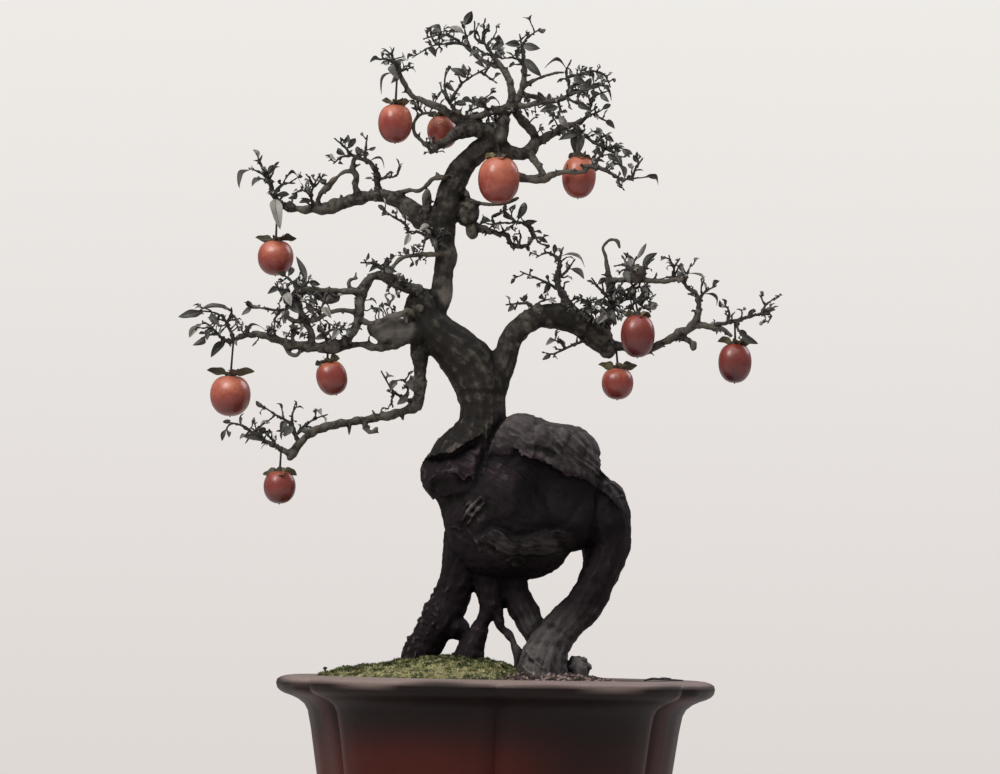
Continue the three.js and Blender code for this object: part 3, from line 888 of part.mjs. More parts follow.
// The wood of the tree, all grown as one; grow makes it thicker by that much all round
function makeWood(grow) {
  const solids = [];
  for (const [sides, points] of ROOTS) {
    solids.push(limb(points, sides, points.length - 1, grow, sides > 9 ? 0.03 : 0));
  }
  for (const [centre, radii, squareness] of LUMPS) {
    solids.push(lump(centre, radii, squareness, grow));
  }
  for (const [sides, points] of BRANCHES) {
    const steps = Math.ceil((points.length - 1) * (sides > 6 ? 1 : 0.65));
    solids.push(limb(points, sides, steps, grow, sides > 9 ? 0.025 : 0));
  }
  return join(solids);
}

// The point of the given lines, each an array of points, that lies nearest to a point
function nearestOn(lines, [x, y, z]) {
  const target = new THREE.Vector3(x, y, z);
  const stretch = new THREE.Line3();
  const spot = new THREE.Vector3();
  let best = lines[0][0];
  for (const line of lines) {
    for (let i = 1; i < line.length; i += 1) {
      stretch.set(line[i - 1], line[i]);
      stretch.closestPointToPoint(target, true, spot);
      if (spot.distanceTo(target) < best.distanceTo(target)) {
        best = spot.clone();
      }
    }
  }
  return best.toArray();
}

// Later twigs start on an earlier one and the leaves on any twig, so a spray is one piece
function makeSpray({ twigs, leaves }, grow = 0) {
  const solids = [];
  const lines = [];
  for (const [radius, start, ...points] of twigs) {
    const root = lines.length > 0 ? nearestOn(lines, start) : start;
    const steps = lines.length > 0 ? 2 : Math.min(points.length, MAIN_TWIG_STEPS);
    solids.push(twig([radius, root, ...points], steps, grow));
    lines.push(curveThrough([root, ...points]).getPoints(steps));
  }
  for (const [start, ...shape] of leaves) {
    solids.push(leaf([nearestOn(lines, start), ...shape], grow));
  }
  return join(solids);
}

// Round or oval berry with a flat shoulder under the calyx and a small point below
function makeBerry([wide, high], grow = 0) {
  const share = [[0, -1], [0.5, -0.9], [0.91, -0.45], [1, 0.05], [0.84, 0.6], [0.42, 0.9], [0, 0.91]];
  const points = share.map(([r, z]) => new THREE.Vector2(r * wide + (r > 0 ? grow : 0), z * high + Math.sign(z) * grow));
  const geometry = new THREE.LatheGeometry(points, 9);
  geometry.rotateX(Math.PI / 2);
  return geometry;
}

function placedBerry({ centre, half, lean }, grow = 0) {
  const geometry = makeBerry(half, grow);
  geometry.rotateY(THREE.MathUtils.degToRad(lean));
  geometry.translate(...centre);
  return solidOf(geometry);
}

// Four lobes round a small cap, with the stalk up to its twig
function makeCalyx({ centre, half, lean, stalkTo, rise }, grow = 0) {
  const seat = new THREE.Vector3(0, 0, half[1] * 0.91 + GAP + 0.05);
  const turn = new THREE.Quaternion().setFromAxisAngle(new THREE.Vector3(0, 1, 0), THREE.MathUtils.degToRad(lean));
  const middle = new THREE.Vector3(...centre);
  const place = (x, y, z) => new THREE.Vector3(x, y, z).applyQuaternion(turn).add(middle);
  const cap = new THREE.LatheGeometry([
    new THREE.Vector2(0, -grow),
    new THREE.Vector2(CALYX_RADIUS + grow, -grow),
    new THREE.Vector2(0, 2 + grow),
  ], 6);
  cap.rotateX(Math.PI / 2);
  reshape(cap, (point) => point.copy(place(point.x, point.y, point.z + seat.z)));
  const solids = [solidOf(cap)];
  const reach = half[0] * 1.12;
  for (let k = 0; k < 4; k += 1) {
    const angle = (k * Math.PI) / 2 + 0.25;
    const root = place(2 * Math.cos(angle), 2 * Math.sin(angle), seat.z + 0.9);
    const tip = place(reach * Math.cos(angle), reach * Math.sin(angle), seat.z + 0.9 + rise);
    const flat = Math.abs(Math.sin(angle)) > 0.8 ? 0 : 90;
    solids.push(leaf([root.toArray(), tip.toArray(), 7.4, 0.5, flat], grow));
  }
  const start = place(0, 0, seat.z + 0.8).toArray();
  const bend = [
    (start[0] + stalkTo[0]) / 2,
    (start[1] + stalkTo[1]) / 2,
    start[2] * 0.45 + stalkTo[2] * 0.55,
  ];
  const stalk = [start, bend, stalkTo].map((point) => [...point, STALK_RADIUS]);
  solids.push(limb(stalk, 3, 2, grow));
  return join(solids);
}

const group = new THREE.Group();

function addMesh(name, geometry, material) {
  const mesh = new THREE.Mesh(geometry, material);
  mesh.name = name;
  group.add(mesh);
  return mesh;
}

function addPotAndSoil(woodCut) {
  addMesh('pot', makePot(), MATERIALS.clay);
  for (const [name, x] of [['drain_screen_left', -DRAIN_OFFSET], ['drain_screen_right', DRAIN_OFFSET]]) {
    const screen = addMesh(name, makeScreen(), MATERIALS.screen);
    screen.position.set(x, 0, POT_FLOOR + 0.3 + SCREEN_HEIGHT / 2);
  }
  const soil = makeSoilBody();
  addMesh('soil', geometryOf(largestBody(soil.subtract(woodCut))), MATERIALS.soil);
  const moss = makeMossBody().subtract(soil.translate(0, 0, GAP)).subtract(woodCut);
  addMesh('moss', geometryOf(largestBody(moss)), MATERIALS.moss);
}

function addTree(wood, woodCut) {
  addMesh('trunk', geometryOf(wood), MATERIALS.bark);
  const cuts = [woodCut, join(FRUITS.map((fruit) => placedBerry(fruit, GAP)))];
  for (const [place, shapes] of Object.entries(SPRAYS)) {
    let spray = makeSpray(shapes);
    for (const cut of cuts) {
      spray = spray.subtract(cut);
    }
    addMesh(`twigs_${place}`, geometryOf(largestBody(spray)), MATERIALS.foliage);
    cuts.push(makeSpray(shapes, GAP));
  }
  FRUITS.forEach((fruit, index) => {
    const number = String(index + 1).padStart(2, '0');
    const berry = addMesh(`berry_${number}`, makeBerry(fruit.half), MATERIALS.berry);
    berry.position.set(...fruit.centre);
    berry.rotation.y = THREE.MathUtils.degToRad(fruit.lean);
    let calyx = makeCalyx(fruit);
    for (const cut of cuts) {
      calyx = calyx.subtract(cut);
    }
    addMesh(`calyx_${number}`, geometryOf(largestBody(calyx)), MATERIALS.calyx);
  });
}

const wood = largestBody(makeWood(0), 0.25);
const woodCut = makeWood(GAP);
addPotAndSoil(woodCut);
addTree(wood, woodCut);

export default group;
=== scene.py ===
"""Dressed model of a diospyros armata bonsai with ripe fruit in a lobed stoneware pot.

The tables hold points in millimetres, +Z up, with the front of the tree towards -Y.
Every mesh is written in metres in that same frame.
"""

import logging
import math
import random
from dataclasses import dataclass, field
from enum import Enum
from typing import Any, Callable, Iterable, Sequence

import bpy
import numpy as np
from mathutils import Euler, Matrix, Quaternion, Vector, kdtree, noise
from mathutils.bvhtree import BVHTree


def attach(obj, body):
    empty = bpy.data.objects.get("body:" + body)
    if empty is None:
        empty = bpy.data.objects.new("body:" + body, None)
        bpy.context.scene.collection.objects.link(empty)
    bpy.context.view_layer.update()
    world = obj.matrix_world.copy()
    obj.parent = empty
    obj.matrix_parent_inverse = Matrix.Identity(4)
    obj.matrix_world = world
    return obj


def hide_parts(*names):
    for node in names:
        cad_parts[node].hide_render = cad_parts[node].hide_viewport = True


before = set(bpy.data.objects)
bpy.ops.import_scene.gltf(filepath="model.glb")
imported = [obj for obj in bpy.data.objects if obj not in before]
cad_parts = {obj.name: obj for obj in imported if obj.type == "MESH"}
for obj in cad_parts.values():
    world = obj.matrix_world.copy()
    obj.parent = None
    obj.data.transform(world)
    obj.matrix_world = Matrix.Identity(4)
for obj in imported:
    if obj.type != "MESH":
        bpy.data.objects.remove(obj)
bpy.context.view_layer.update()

logging.basicConfig(level=logging.INFO, format="%(message)s")
log = logging.getLogger("bonsai")

MM = 0.001
SAMPLES = 5  # steps in each stretch between two points of a limb or twig
FRONT = Vector((0.0, -1.0, 0.0))
UP = Vector((0.0, 0.0, 1.0))
Points = Sequence[Sequence[float]]
Strand = list[tuple[Vector, float]]
Socket = bpy.types.NodeSocket
# Search tree over places, their directions, the limb radii, and each place with its way along the limb
Grain = tuple[kdtree.KDTree, list[Vector], list[float], list[tuple[Vector, float]]]

# Roots of the base, from the trunk down into the soil: points with radius
ROOTS = [
    [[4, 0, 242, 15], [13, -2, 221, 11], [22, -5, 204, 9.3], [30, -9, 190, 9.5], [34, -14, 176, 11]],
    [[-6, -4, 246, 17], [-5, -5, 226, 10.5], [-5, -6, 213, 9], [-9.8, -7, 201, 4.6], [-13.5, -7, 192, 7],
     [-18.5, -6, 181, 11.2], [-21, -5, 158, 13]],
    [[-1, -8, 210, 5], [2.5, -9, 199, 3.1], [9, -11, 192, 2.9], [12.6, -13, 186, 2.8], [14.8, -14, 179, 3],
     [15.5, -15, 160, 3.6]],
    [[-20, 22, 264, 13], [-33, 34, 224, 9.5], [-46, 47, 192, 8], [-55, 56, 156, 9]],
]

# Swellings of the base, the knob of the trunk and its stumps: centre, radii, squareness
LUMPS = [
    [[-29, 0, 197], [10.5, 10, 9], 2],
    [[57, -11, 170], [8.5, 9, 9], 2],
    [[-56, -1, 417], [12.5, 12.5, 17.5], 2.4],
    [[-25, -3, 488], [8, 8, 9], 2],
    [[-22, -3, 475], [4.5, 5, 6], 2],
    [[-118, -20, 392], [6, 5, 5.5], 2],
    [[94.6, 3, 447], [6.2, 5, 6.6], 2],
    [[-120.5, -22.6, 425.6], [8, 2.4, 5], 1.7],
]

# Trunk and bare branches: points with radius
BRANCHES = [
    [[-10, 0, 300, 22], [-11, 0, 322, 17], [-12, 0, 340, 15.8], [-12.5, 0, 354, 15.6], [-15, 0, 368, 18],
     [-24, 0, 384, 18], [-37, 0, 396, 15.5], [-50, -1, 407, 14], [-56, -1, 416, 12]],
    [[-47, 0, 416, 8], [-43, 0, 430, 8.2], [-41.5, 0, 444, 7], [-40, 0, 458, 7], [-42, 0, 470, 8.6],
     [-43, 0, 482, 11], [-39, -1, 496, 9.6], [-36, -1, 508, 8.6], [-30, -2, 519, 8], [-21, -2, 529, 7.6],
     [-11, -2, 537, 7], [-4, -3, 543, 6.4], [-2, -4, 553, 4.6], [2, -4, 562, 3.4]],
    [[-57, 0, 402, 8], [-57, -1, 386, 5.4], [-57, -3, 370, 4.5], [-57, -5, 358, 4.7], [-59, -6, 352, 4.4],
     [-67, -8, 348, 3.4], [-79, -11, 344.5, 3], [-92, -14, 341.5, 3.1], [-104, -16, 339.5, 2.7],
     [-118, -19, 336.5, 2.8], [-130, -22, 331.5, 3], [-138, -24, 325, 3], [-143.5, -25, 317.5, 3.4],
     [-146, -26, 313, 2.2]],
    [[-145, -26, 316, 2.4], [-151, -27.4, 318.3, 2]],
    [[-58, -5, 404, 9], [-72, -8, 404, 8.6], [-82, -10, 403.5, 8.2], [-89, -11, 405, 6.2]],
    [[-70, -8, 397, 5], [-80, -11, 392.5, 3], [-88, -12, 391.5, 2.7], [-96, -13, 393.6, 2.4],
     [-104, -14, 393.4, 2.5], [-112, -16, 391, 3.6], [-121, -17, 391.5, 4.6], [-131, -16, 391, 3.6],
     [-141, -15, 391.5, 3.2], [-150, -13, 393.5, 3.2], [-160, -11, 397.5, 2.6], [-172, -9, 400, 2.3]],
    [[-58, -9, 433, 4], [-68, -12, 434.5, 4.4], [-76, -14, 438.5, 4.8], [-84, -16, 442, 4], [-91, -17, 440.5, 3.4],
     [-96, -18, 435, 3.6], [-98.5, -19, 428, 4], [-99.5, -20, 419, 3.4], [-100, -20, 411, 3.2],
     [-103, -20, 403, 3.1], [-108, -19, 397, 2.9], [-115, -17, 392, 2.6]],
    [[-97, -20, 430, 3], [-108, -22, 430, 2.2], [-118, -23, 430, 2.2], [-128, -24, 430, 2.5],
     [-138, -24, 430, 2.6], [-142, -23, 424, 2.4], [-141, -22, 417, 2.6], [-137, -20, 410, 2.6],
     [-133.5, -18, 403, 2.6], [-132, -17, 394, 2.6]],
    [[-100, -20, 415, 2], [-110, -22, 417, 1.6], [-120, -24, 415, 1.6], [-129, -24, 410, 1.8], [-137, -21, 409, 1.6]],
    [[-62, -12, 417, 3], [-72, -20, 414.5, 2.1], [-84, -23, 410, 2], [-92, -23, 408, 2.2], [-100, -20, 411, 2]],
    [[-41, -6, 459, 2.4], [-50, -10, 457.5, 1.7], [-62, -12, 456.5, 1.6], [-71, -13, 454.5, 1.6],
     [-76, -14, 449, 1.8], [-81, -15, 443, 2.2]],
    [[-42, 0, 476, 9], [-52, 2, 481, 9], [-62, 5, 487, 7.6], [-71, 9, 494, 6], [-81, 12, 498.5, 4.8],
     [-92, 15, 499.5, 4.2], [-102, 18, 497.5, 4.5], [-112, 21, 495, 4.4], [-121, 23, 491.5, 4.8],
     [-130, 25, 490, 3.5], [-142, 28, 490, 2.6], [-151, 29.7, 490.3, 2.4]],
    [[-103, 18, 499, 3], [-105, 16, 506, 2.4], [-104, 14, 513, 2], [-107, 12, 519, 1.8], [-106, 11, 525, 1.6]],
    [[-131, 24, 491, 2], [-130, 21, 499, 1.8], [-124, 18, 506, 2.6], [-118, 15, 512, 1.6], [-112, 13, 516, 1.4],
     [-106, 13, 516, 1.2]],
    [[-54, -4, 484, 3.6], [-54, -6, 495, 3], [-54.5, -8, 502, 2.2]],
    [[-30, -5, 511, 2.4], [-40, -9, 512, 1.8], [-49, -8, 511, 1.7], [-55, -3, 506, 1.6], [-60, 2, 502.5, 1.6],
     [-67, 6, 503, 1.6], [-75, 10, 501, 2]],
    [[-28, -2, 483, 4.4], [-20, -2, 479, 3.2], [-11, -1, 475.3, 2.1]],
    [[-30, -2, 505, 2.6], [-25, -3, 498, 1.7], [-18, -4, 494.5, 1.4], [-8, -5, 493.5, 1.3], [1, -4, 494.5, 1.2],
     [10, -3, 498.5, 1.1]],
    [[-8, 0, 366, 14], [-2, 0, 379, 11], [3, 1, 390, 8.2], [7, 3, 400, 7.8], [13, 5, 408.5, 8], [21, 8, 414.5, 8],
     [31, 11, 417, 9], [42, 14, 416.5, 9.2], [52, 17, 413, 9], [61, 19, 408, 9.4], [69, 21, 402, 9.4],
     [75, 22, 394, 6]],
    [[68, 21, 399, 6], [80, 22, 397, 4], [91, 19, 395.5, 3], [101, 12, 393.5, 2.4], [110, 4, 397.5, 2.6],
     [119, -4, 402.5, 3], [127, -11, 407, 3], [134, -17, 411.5, 3], [137, -20, 420, 2.3]],
    [[75, 15, 443, 2.2], [86, 9, 443, 2], [97, 3, 442.6, 2], [106, -3, 442, 1.9], [113, -9, 441.5, 1.8],
     [119, -14, 442.6, 1.6], [125, -18, 442, 1.5]],
    [[72, 20, 408, 4], [76, 19, 420, 3.4], [77, 18, 431, 2.8], [75, 16, 442, 2.6], [73.5, 14, 450, 1.8],
     [72, 13, 459, 1.3], [70, 12, 466, 1.1], [75, 11, 471, 1.1], [80, 10, 470, 1.6], [81.5, 10, 466, 1.2]],
    [[134, -17, 411.5, 2.6], [141, -20, 410.4, 2.1], [149, -22, 409, 2.3], [155, -23, 407.5, 1.7],
     [160, -24, 404, 1.5]],
    [[123, -8, 403, 2], [130, -10, 400.5, 1.8], [134, -12, 398, 2.8], [134, -13, 395, 2]],
    [[53, 16, 416, 4.5], [47, 14, 425, 2.7], [43, 12.5, 431, 2.6]],
    [[-4, -3, 540, 6.5], [-14, -6, 545, 6.4], [-26, -9, 547, 6.2], [-34, -12, 542, 4.6], [-41, -13, 537, 3.6],
     [-48, -14, 533, 3], [-52, -15, 529, 2.4]],
    [[-26, -9, 548, 4.6], [-36, -12, 554, 3.4], [-46, -15, 560, 2.8], [-57, -18, 564, 2.1], [-66, -20, 568, 1.9],
     [-71, -21, 576, 1.8], [-75, -22, 583, 1.7]],
    [[-51, -15, 531, 2], [-58, -17, 536, 1.5], [-64, -18, 543, 1.5], [-63, -16, 551, 1.3], [-58, -13, 556, 1.2],
     [-51, -12, 556, 1.2]],
    [[-6, -3, 534.6, 6.6], [4, 1, 531.5, 4.2], [13, 4, 530, 4], [19, 6, 534, 4], [21, 7, 541, 4], [17, 6, 548, 3.6],
     [11, 4, 554, 3.4], [6, 1, 561, 3.2]],
    [[21, 7, 538, 3.8], [30, 10, 543, 3], [40, 13, 549, 2.6], [49, 14, 552.5, 2.2]],
    [[2, -4, 560, 3.4], [-8, -7, 559, 2.8], [-18, -10, 555.5, 2.3], [-28, -13, 553.5, 1.9], [-36, -15, 559, 1.6]],
    [[4, -4, 562, 3], [15, -10, 563, 2.1], [25, -14.6, 564.8, 1.9]],
    [[3, -2, 560, 3.4], [4.5, 2, 571, 3], [2.5, 6, 581, 2.5], [-2, 9, 589, 2.1], [-8, 11, 597, 1.8],
     [-8.6, 11, 598, 1.7]],
    [[-4, 9, 591.5, 1.8], [-13, 14, 594, 1.6], [-20, 18, 598.5, 1.5]],
    [[5, -2, 562, 3.2], [10, -6, 571, 2.4], [12.5, -8, 580, 2.1], [12.4, -8.4, 585, 1.9]],
    [[13, -8, 577, 1.6], [24, -6, 583, 1.2], [34, -3, 586.5, 1.1], [40, 1, 587.5, 0.9]],
    [[10, -4, 571, 2], [20, 3, 570, 1.9], [31, 9, 568, 1.9], [41, 14, 570, 1.7], [46, 17, 575, 1.4]],
    [[17, 5, 532, 3], [22, -2, 523, 2.3], [27, -10, 515, 2.4], [27, -15, 511, 2.2]],
    [[9, -14, 513, 3], [18, -14, 511, 3.3], [27, -15, 511, 3], [33, -19, 514, 2.4], [41, -24, 516, 2],
     [51, -29, 515.6, 1.6], [57, -31.5, 516, 1.6]],
    [[-98, -19, 431, 3], [-106, -15, 432, 1.6], [-107, -13, 438, 1.3], [-102, -12, 440, 1.1]],
    [[-136, -20, 410, 2], [-145, -22, 409, 1.6], [-151, -23, 412.5, 1.3]],
    [[-151, -13, 393, 2], [-149, -15, 387, 1.4], [-143, -17, 385, 1.3], [-140, -17, 388, 1.3]],
    [[-144, -15, 392, 2], [-146, -18, 399, 1.3], [-143, -22, 404, 1.1], [-148, -24, 405, 0.9]],
    [[-92, -14, 341, 2], [-95, -18, 335.5, 1.5], [-90, -21, 332, 1.5], [-86, -20, 335, 1.6]],
    [[-105, -16.5, 339, 1.9], [-105, -18, 330, 0.7]],
]

# Leafy twigs by place: first the twigs as radius and points, then the leaves as root, tip, width, lift, turn
SPRAYS = {
    "crown_left_tip": (
        [[1.6, [-74, -22, 580], [-76.5, -23, 587], [-83, -27, 592], [-90, -29, 592]], [1.1, [-77, -24, 588],
         [-80, -22, 594], [-79, -21, 600]], [1.1, [-75.5, -22.5, 584], [-71, -17, 586], [-66, -14, 588]]],
        [[[-75, -23, 583], [-88, -27, 569], 6, 5, 70], [[-76, -23, 585], [-80, -12, 577], 8, 2, 20], [[-88, -29, 592],
         [-95, -33, 590], 5, 1, 40], [[-79, -25, 589], [-75, -34, 578], 7, 2, 10]],
    ),
    "crown_back_top": (
        [[1.7, [-18, 17, 597], [-26, 21, 604], [-32, 23, 608.5], [-42, 25, 608.5], [-52, 27, 607], [-66, 30, 599]],
         [1.1, [-32, 23, 608.5], [-38, 24, 613], [-47, 26, 615], [-58, 28, 612]], [1.2, [-26, 21, 604],
         [-28, 20, 611], [-31, 18, 621]], [1, [-49, 27, 608], [-53, 32, 613], [-54, 36, 619]]],
        [[[-31, 18.5, 620], [-25, 17, 631], 8.5, 1, 0], [[-30, 20, 614], [-40, 22, 621], 6, 2, 30], [[-46, 26, 615],
         [-55, 22, 620], 5.5, 2, 45], [[-55, 28, 605], [-50, 36, 600], 6, 1, 20], [[-64, 30, 600],
         [-70, 34, 597], 4.5, 1, 30], [[-53, 35, 617], [-46, 42, 616], 6, 1, 30]],
    ),
    "crown_middle_top": (
        [[1.7, [-7.4, 11, 596], [-13, 12, 604], [-17, 13, 611], [-16, 14, 620]], [1.1, [-16, 13, 608], [-22, 10, 611],
         [-23, 8, 622]], [1.1, [-10, 11.4, 600], [-16, 6, 600.5], [-20, 3, 603]], [1, [-14, 12, 606], [-11, 19, 611],
         [-8, 24, 613]]],
        [[[-9.4, 11.4, 599], [-1, 8, 601], 7, 1, 10], [[-12, 12, 603], [-3, 15, 611], 8, 1.5, 0], [[-17, 13, 611],
         [-14, 11, 619], 5, 1, 30], [[-9, 23, 613], [-2, 29, 609], 7, 2, 30], [[-19, 4, 602],
         [-26, -1, 598], 6, 1, 30]],
    ),
    "crown_spike": (
        [[1.9, [12.5, -8.2, 583], [12, -9, 594], [10.6, -9, 604], [9, -9, 612]], [1.1, [10.6, -9, 604.5],
         [14, -12, 610], [23, -15, 616.5]], [1, [12, -9, 594], [4, -13, 596], [-3, -15, 595]], [1, [12, -9, 590],
         [8, -2, 596], [6, 4, 600]]],
        [[[10.5, -9, 606], [23, -12, 603], 8, 1.5, 0], [[9.5, -9, 605], [-1, -12, 606], 7, 1, 10], [[11.6, -9, 597],
         [24.5, -11, 583.5], 8.5, 1.5, 0], [[21, -14.5, 615], [27, -16, 616], 4.5, 0.6, 0], [[-2, -15, 595],
         [-8, -20, 600], 6, 1, 20], [[6.5, 3, 599], [10, 12, 602], 7, 2, 60]],
    ),
    "crown_right_top": (
        [[1.6, [45, 16.6, 573], [44, 18, 582], [42, 19, 589], [45, 20, 597]], [1.2, [43, 18.5, 586], [52, 17, 588],
         [60, 15, 590], [68, 13, 588], [72, 12, 582]], [1.1, [44.8, 17, 576], [53, 22, 577], [62, 27, 579]]],
        [[[42.6, 19, 591], [27, 16, 593], 5.5, 5, 80], [[47, 18, 587], [56, 14, 581], 7.5, 1, 0], [[62, 14.5, 590],
         [69, 10, 585], 6, 1, 20], [[60, 26, 578.5], [75, 30, 572], 6, 4, 70], [[52, 21.5, 577],
         [60, 24, 586], 7, 1, 10]],
    ),
    "crown_right_end": (
        [[2, [48, 14, 552], [57, 15, 558], [59.5, 15, 566], [62, 14, 572], [72, 11, 576]], [1.1, [57, 15, 558],
         [63, 17, 560.5], [69, 19, 564]], [1, [62, 16.6, 560], [67, 21, 557.5], [72, 24, 555]], [1, [59.7, 15, 567],
         [58, 7, 571], [56, 0, 573]]],
        [[[66, 12.8, 573.7], [72, 8, 568], 5.5, 1, 10], [[67, 18.3, 563], [74, 15, 567], 5, 1, 10], [[70, 23, 556],
         [77, 27, 551], 6, 1, 20], [[56.5, 1, 572.5], [50, -5, 578], 7, 2, 30]],
    ),
    "crown_front": (
        [[1.9, [23, -13.8, 564.4], [36, -19, 566], [47, -22, 571], [59, -26, 574]], [1.1, [36, -19, 566],
         [38, -25, 559], [36, -30, 553]], [1, [42, -20.6, 568.7], [47, -28, 565], [53, -33, 564]]],
        [[[56, -25.2, 573.4], [66, -29, 578], 6, 1.5, 30], [[37.3, -23, 561.5], [24, -27, 558], 7.5, 1.5, 10],
         [[36.6, -28, 555], [44, -33, 546], 7, 1.5, 0], [[29, -16, 565], [22, -20, 572], 6, 1, 0], [[51, -31, 564.3],
         [59, -36, 559], 6.5, 1.5, 10]],
    ),
    "crown_middle": (
        [[1.5, [-35, -15, 558], [-40, -17, 565], [-43, -18, 575], [-42, -18, 586]], [1.3, [-39, -16.5, 563.5],
         [-33, -18, 574], [-27, -20, 580], [-11, -23, 589]], [1, [-18, -21.8, 585], [-12, -20, 581], [-7, -18, 578]]],
        [[[-27, -20, 580], [-39, -24, 587], 7.5, 2, 20], [[-23, -20.9, 582], [-31, -26, 590], 7, 1.5, 20],
         [[-35, -17.4, 570.5], [-42, -25, 577], 5.5, 1, 20], [[-38, -16, 562.4], [-27, -22, 562], 6, 1, 20],
         [[-14, -22.4, 587.2], [-22, -16, 593], 5, 1, 20]],
    ),
    "crown_inner": (
        [[1.4, [-10, -7.6, 558.4], [-15, -13, 562], [-19, -18, 566]], [1.1, [-14, -12, 561.3], [-21, -8, 563],
         [-25, -3, 566]]],
        [[[-16, -14.3, 563], [-4, -20, 562], 6.5, 4, 70], [[-18, -16.7, 565], [-22, -25, 561], 6, 1, 20],
         [[-23, -5.5, 564.5], [-17, 3, 568], 8, 1.5, 20], [[-22, -7, 563.5], [-32, -3, 564], 7, 1.5, 30]],
    ),
    "crown_under": (
        [[1.6, [47, 14.6, 552.6], [55, 8, 545], [62, 4, 539], [71, 0, 534], [80, -3, 529]], [1.2, [63, 3.5, 538.4],
         [68, 7, 543], [73, 10, 546]], [1.1, [71, 0, 534], [78, -6, 536], [84, -9, 533]], [1.1, [70, 0.5, 534.5],
         [66, -6, 528], [61, -10, 524]]],
        [[[51, 11, 549], [50, 6, 529], 14, 1.5, -8], [[52, 10.5, 547.8], [38, 4, 541], 8, 1.5, 10], [[67, 6, 542],
         [64, 8, 550], 6, 1, 0], [[70, 8.2, 544.2], [76, 5, 540], 6, 1, 0], [[77, -2, 530.5],
         [82, -6, 520], 6, 1.5, 10], [[82, -8, 534], [87, -12, 528], 5, 1, 10]],
    ),
    "stub_branch_tip": (
        [[2.1, [54.5, -30.4, 519], [62, -33.5, 519], [70, -36, 517], [78, -38, 512], [84, -40, 510.5],
         [98, -44, 512]], [1.1, [88, -41, 511], [91, -43, 518], [95, -45, 524]], [1.1, [79, -38.3, 511.8],
         [80, -40, 507], [83, -42, 503]], [1.1, [70, -36, 517.2], [75, -33, 522], [81, -31, 521]], [1.2,
         [62, -33.5, 519.2], [66, -36, 526], [73, -38, 528]]],
        [[[96, -43.4, 511.8], [107, -47, 507], 8, 4, 60], [[93, -44, 521], [89, -46, 527], 5, 1, 0],
         [[79, -31.6, 521.4], [84, -30, 512], 5.5, 1.5, 20], [[71, -37.5, 527.5], [79, -41, 523], 6, 1, 10],
         [[67, -36.2, 526.3], [64, -42, 533], 6, 1, 20]],
    ),
    "trunk_right_twigs": (
        [[2, [-13, -1.4, 476], [-4, 1, 473.5], [3, 3, 472.5], [4.5, 3, 467], [10, 1, 464.5], [17, -2, 466],
         [20.4, -4, 471], [18, -4, 477], [12, -2, 481.5], [4, 0, 481], [-4, -2, 481], [-10, -3, 477]], [1.1,
         [-7, -0.4, 480], [-8, -4, 485], [2, -6, 490]], [1.2, [13, -2, 481.2], [19, -6, 478], [22, -8, 472],
         [25, -9, 467], [31, -10, 465.4]], [1, [9, -1, 464.8], [12, 2, 471], [11, 4, 476]], [1, [-2, 0, 474],
         [4, 4, 478], [9, 3, 482]]],
        [[[6.4, 9, 488], [15, 10, 497], 7.5, 0.5, 0], [[14.5, -2.6, 482], [23, 0, 483], 6, 1, 20], [[25, -7.6, 472.8],
         [31, -10, 467], 4.5, 1, 10], [[-8, -5.6, 480.6], [-15, -13, 486], 5.5, 1, 20], [[2, -7.6, 486],
         [8, -15, 482], 6, 1.5, 20]],
    ),
    "left_branch_tip": (
        [[3.4, [-148, 29, 490.2], [-157, 30.6, 492.5], [-163, 31, 501], [-166, 31, 511], [-171, 30, 519],
         [-175, 29, 528]], [1.2, [-166, 31, 511], [-172, 28, 515], [-180, 25, 518]], [1.4, [-162.5, 31, 500],
         [-156, 36, 508], [-149, 40, 509]], [1.1, [-164.5, 31, 506], [-168, 38, 511], [-172, 44, 512]]],
        [[[-178, 25.7, 517.4], [-187, 22, 504], 7, 3, 40], [[-157, 35.2, 507], [-142.5, 33, 507], 7, 7, 75],
         [[-167, 30.8, 512.5], [-163, 27, 521], 5.5, 1, 0], [[-160.5, 30.8, 497.5], [-157, 17, 476], 12, 2, -10],
         [[-173.5, 29.4, 524.5], [-178, 32, 532], 4.5, 1, 10], [[-162, 31, 499.5], [-151, 26, 501], 6, 1, 30],
         [[-171, 42.5, 511.7], [-179, 50, 507], 7, 2, 40]],
    ),
    "left_branch_uprights": (
        [[2.8, [-88, 15, 501], [-89, 11, 509], [-91, 8, 518], [-98, 8, 524], [-107, 7, 527], [-113, 5, 533],
         [-119, 4, 538]], [1.3, [-98, 8, 524], [-98, 6, 531], [-97, 6, 540]], [1.1, [-107, 7, 527], [-115, 11, 526],
         [-120, 15, 522]], [1.1, [-89.4, 10.2, 511], [-82, 5, 512], [-76, 2, 513], [-73, 0, 519]]],
        [[[-111, 5.8, 531], [-105, 3, 539], 6.5, 2, 20], [[-104, 7.4, 526], [-101, 1, 532], 6.5, 1.5, 10],
         [[-111, 9, 526.5], [-118, 3, 531], 6, 1, 10], [[-96, 8, 522.4], [-84, 2, 519], 4.5, 4.5, 70],
         [[-115, 4.7, 534.8], [-110, 9, 542], 5, 1, 10], [[-103, 7.4, 525.8], [-101, 18, 528], 7, 1.5, 30],
         [[-118, 13.4, 523.7], [-125, 20, 527], 6, 1, 30]],
    ),
    "left_branch_middle": (
        [[1.6, [-133, 25, 490.5], [-136, 22, 498], [-134, 19, 506], [-130, 17, 514]], [1.1, [-135.5, 21.5, 500],
         [-142, 25, 503], [-149, 31, 501]], [1, [-134, 19.4, 505], [-137, 14, 511], [-139, 11, 513]]],
        [[[-135, 23, 496], [-144, 17, 494], 6, 1, 20], [[-146, 28.4, 502], [-152, 36, 498], 6, 1, 20],
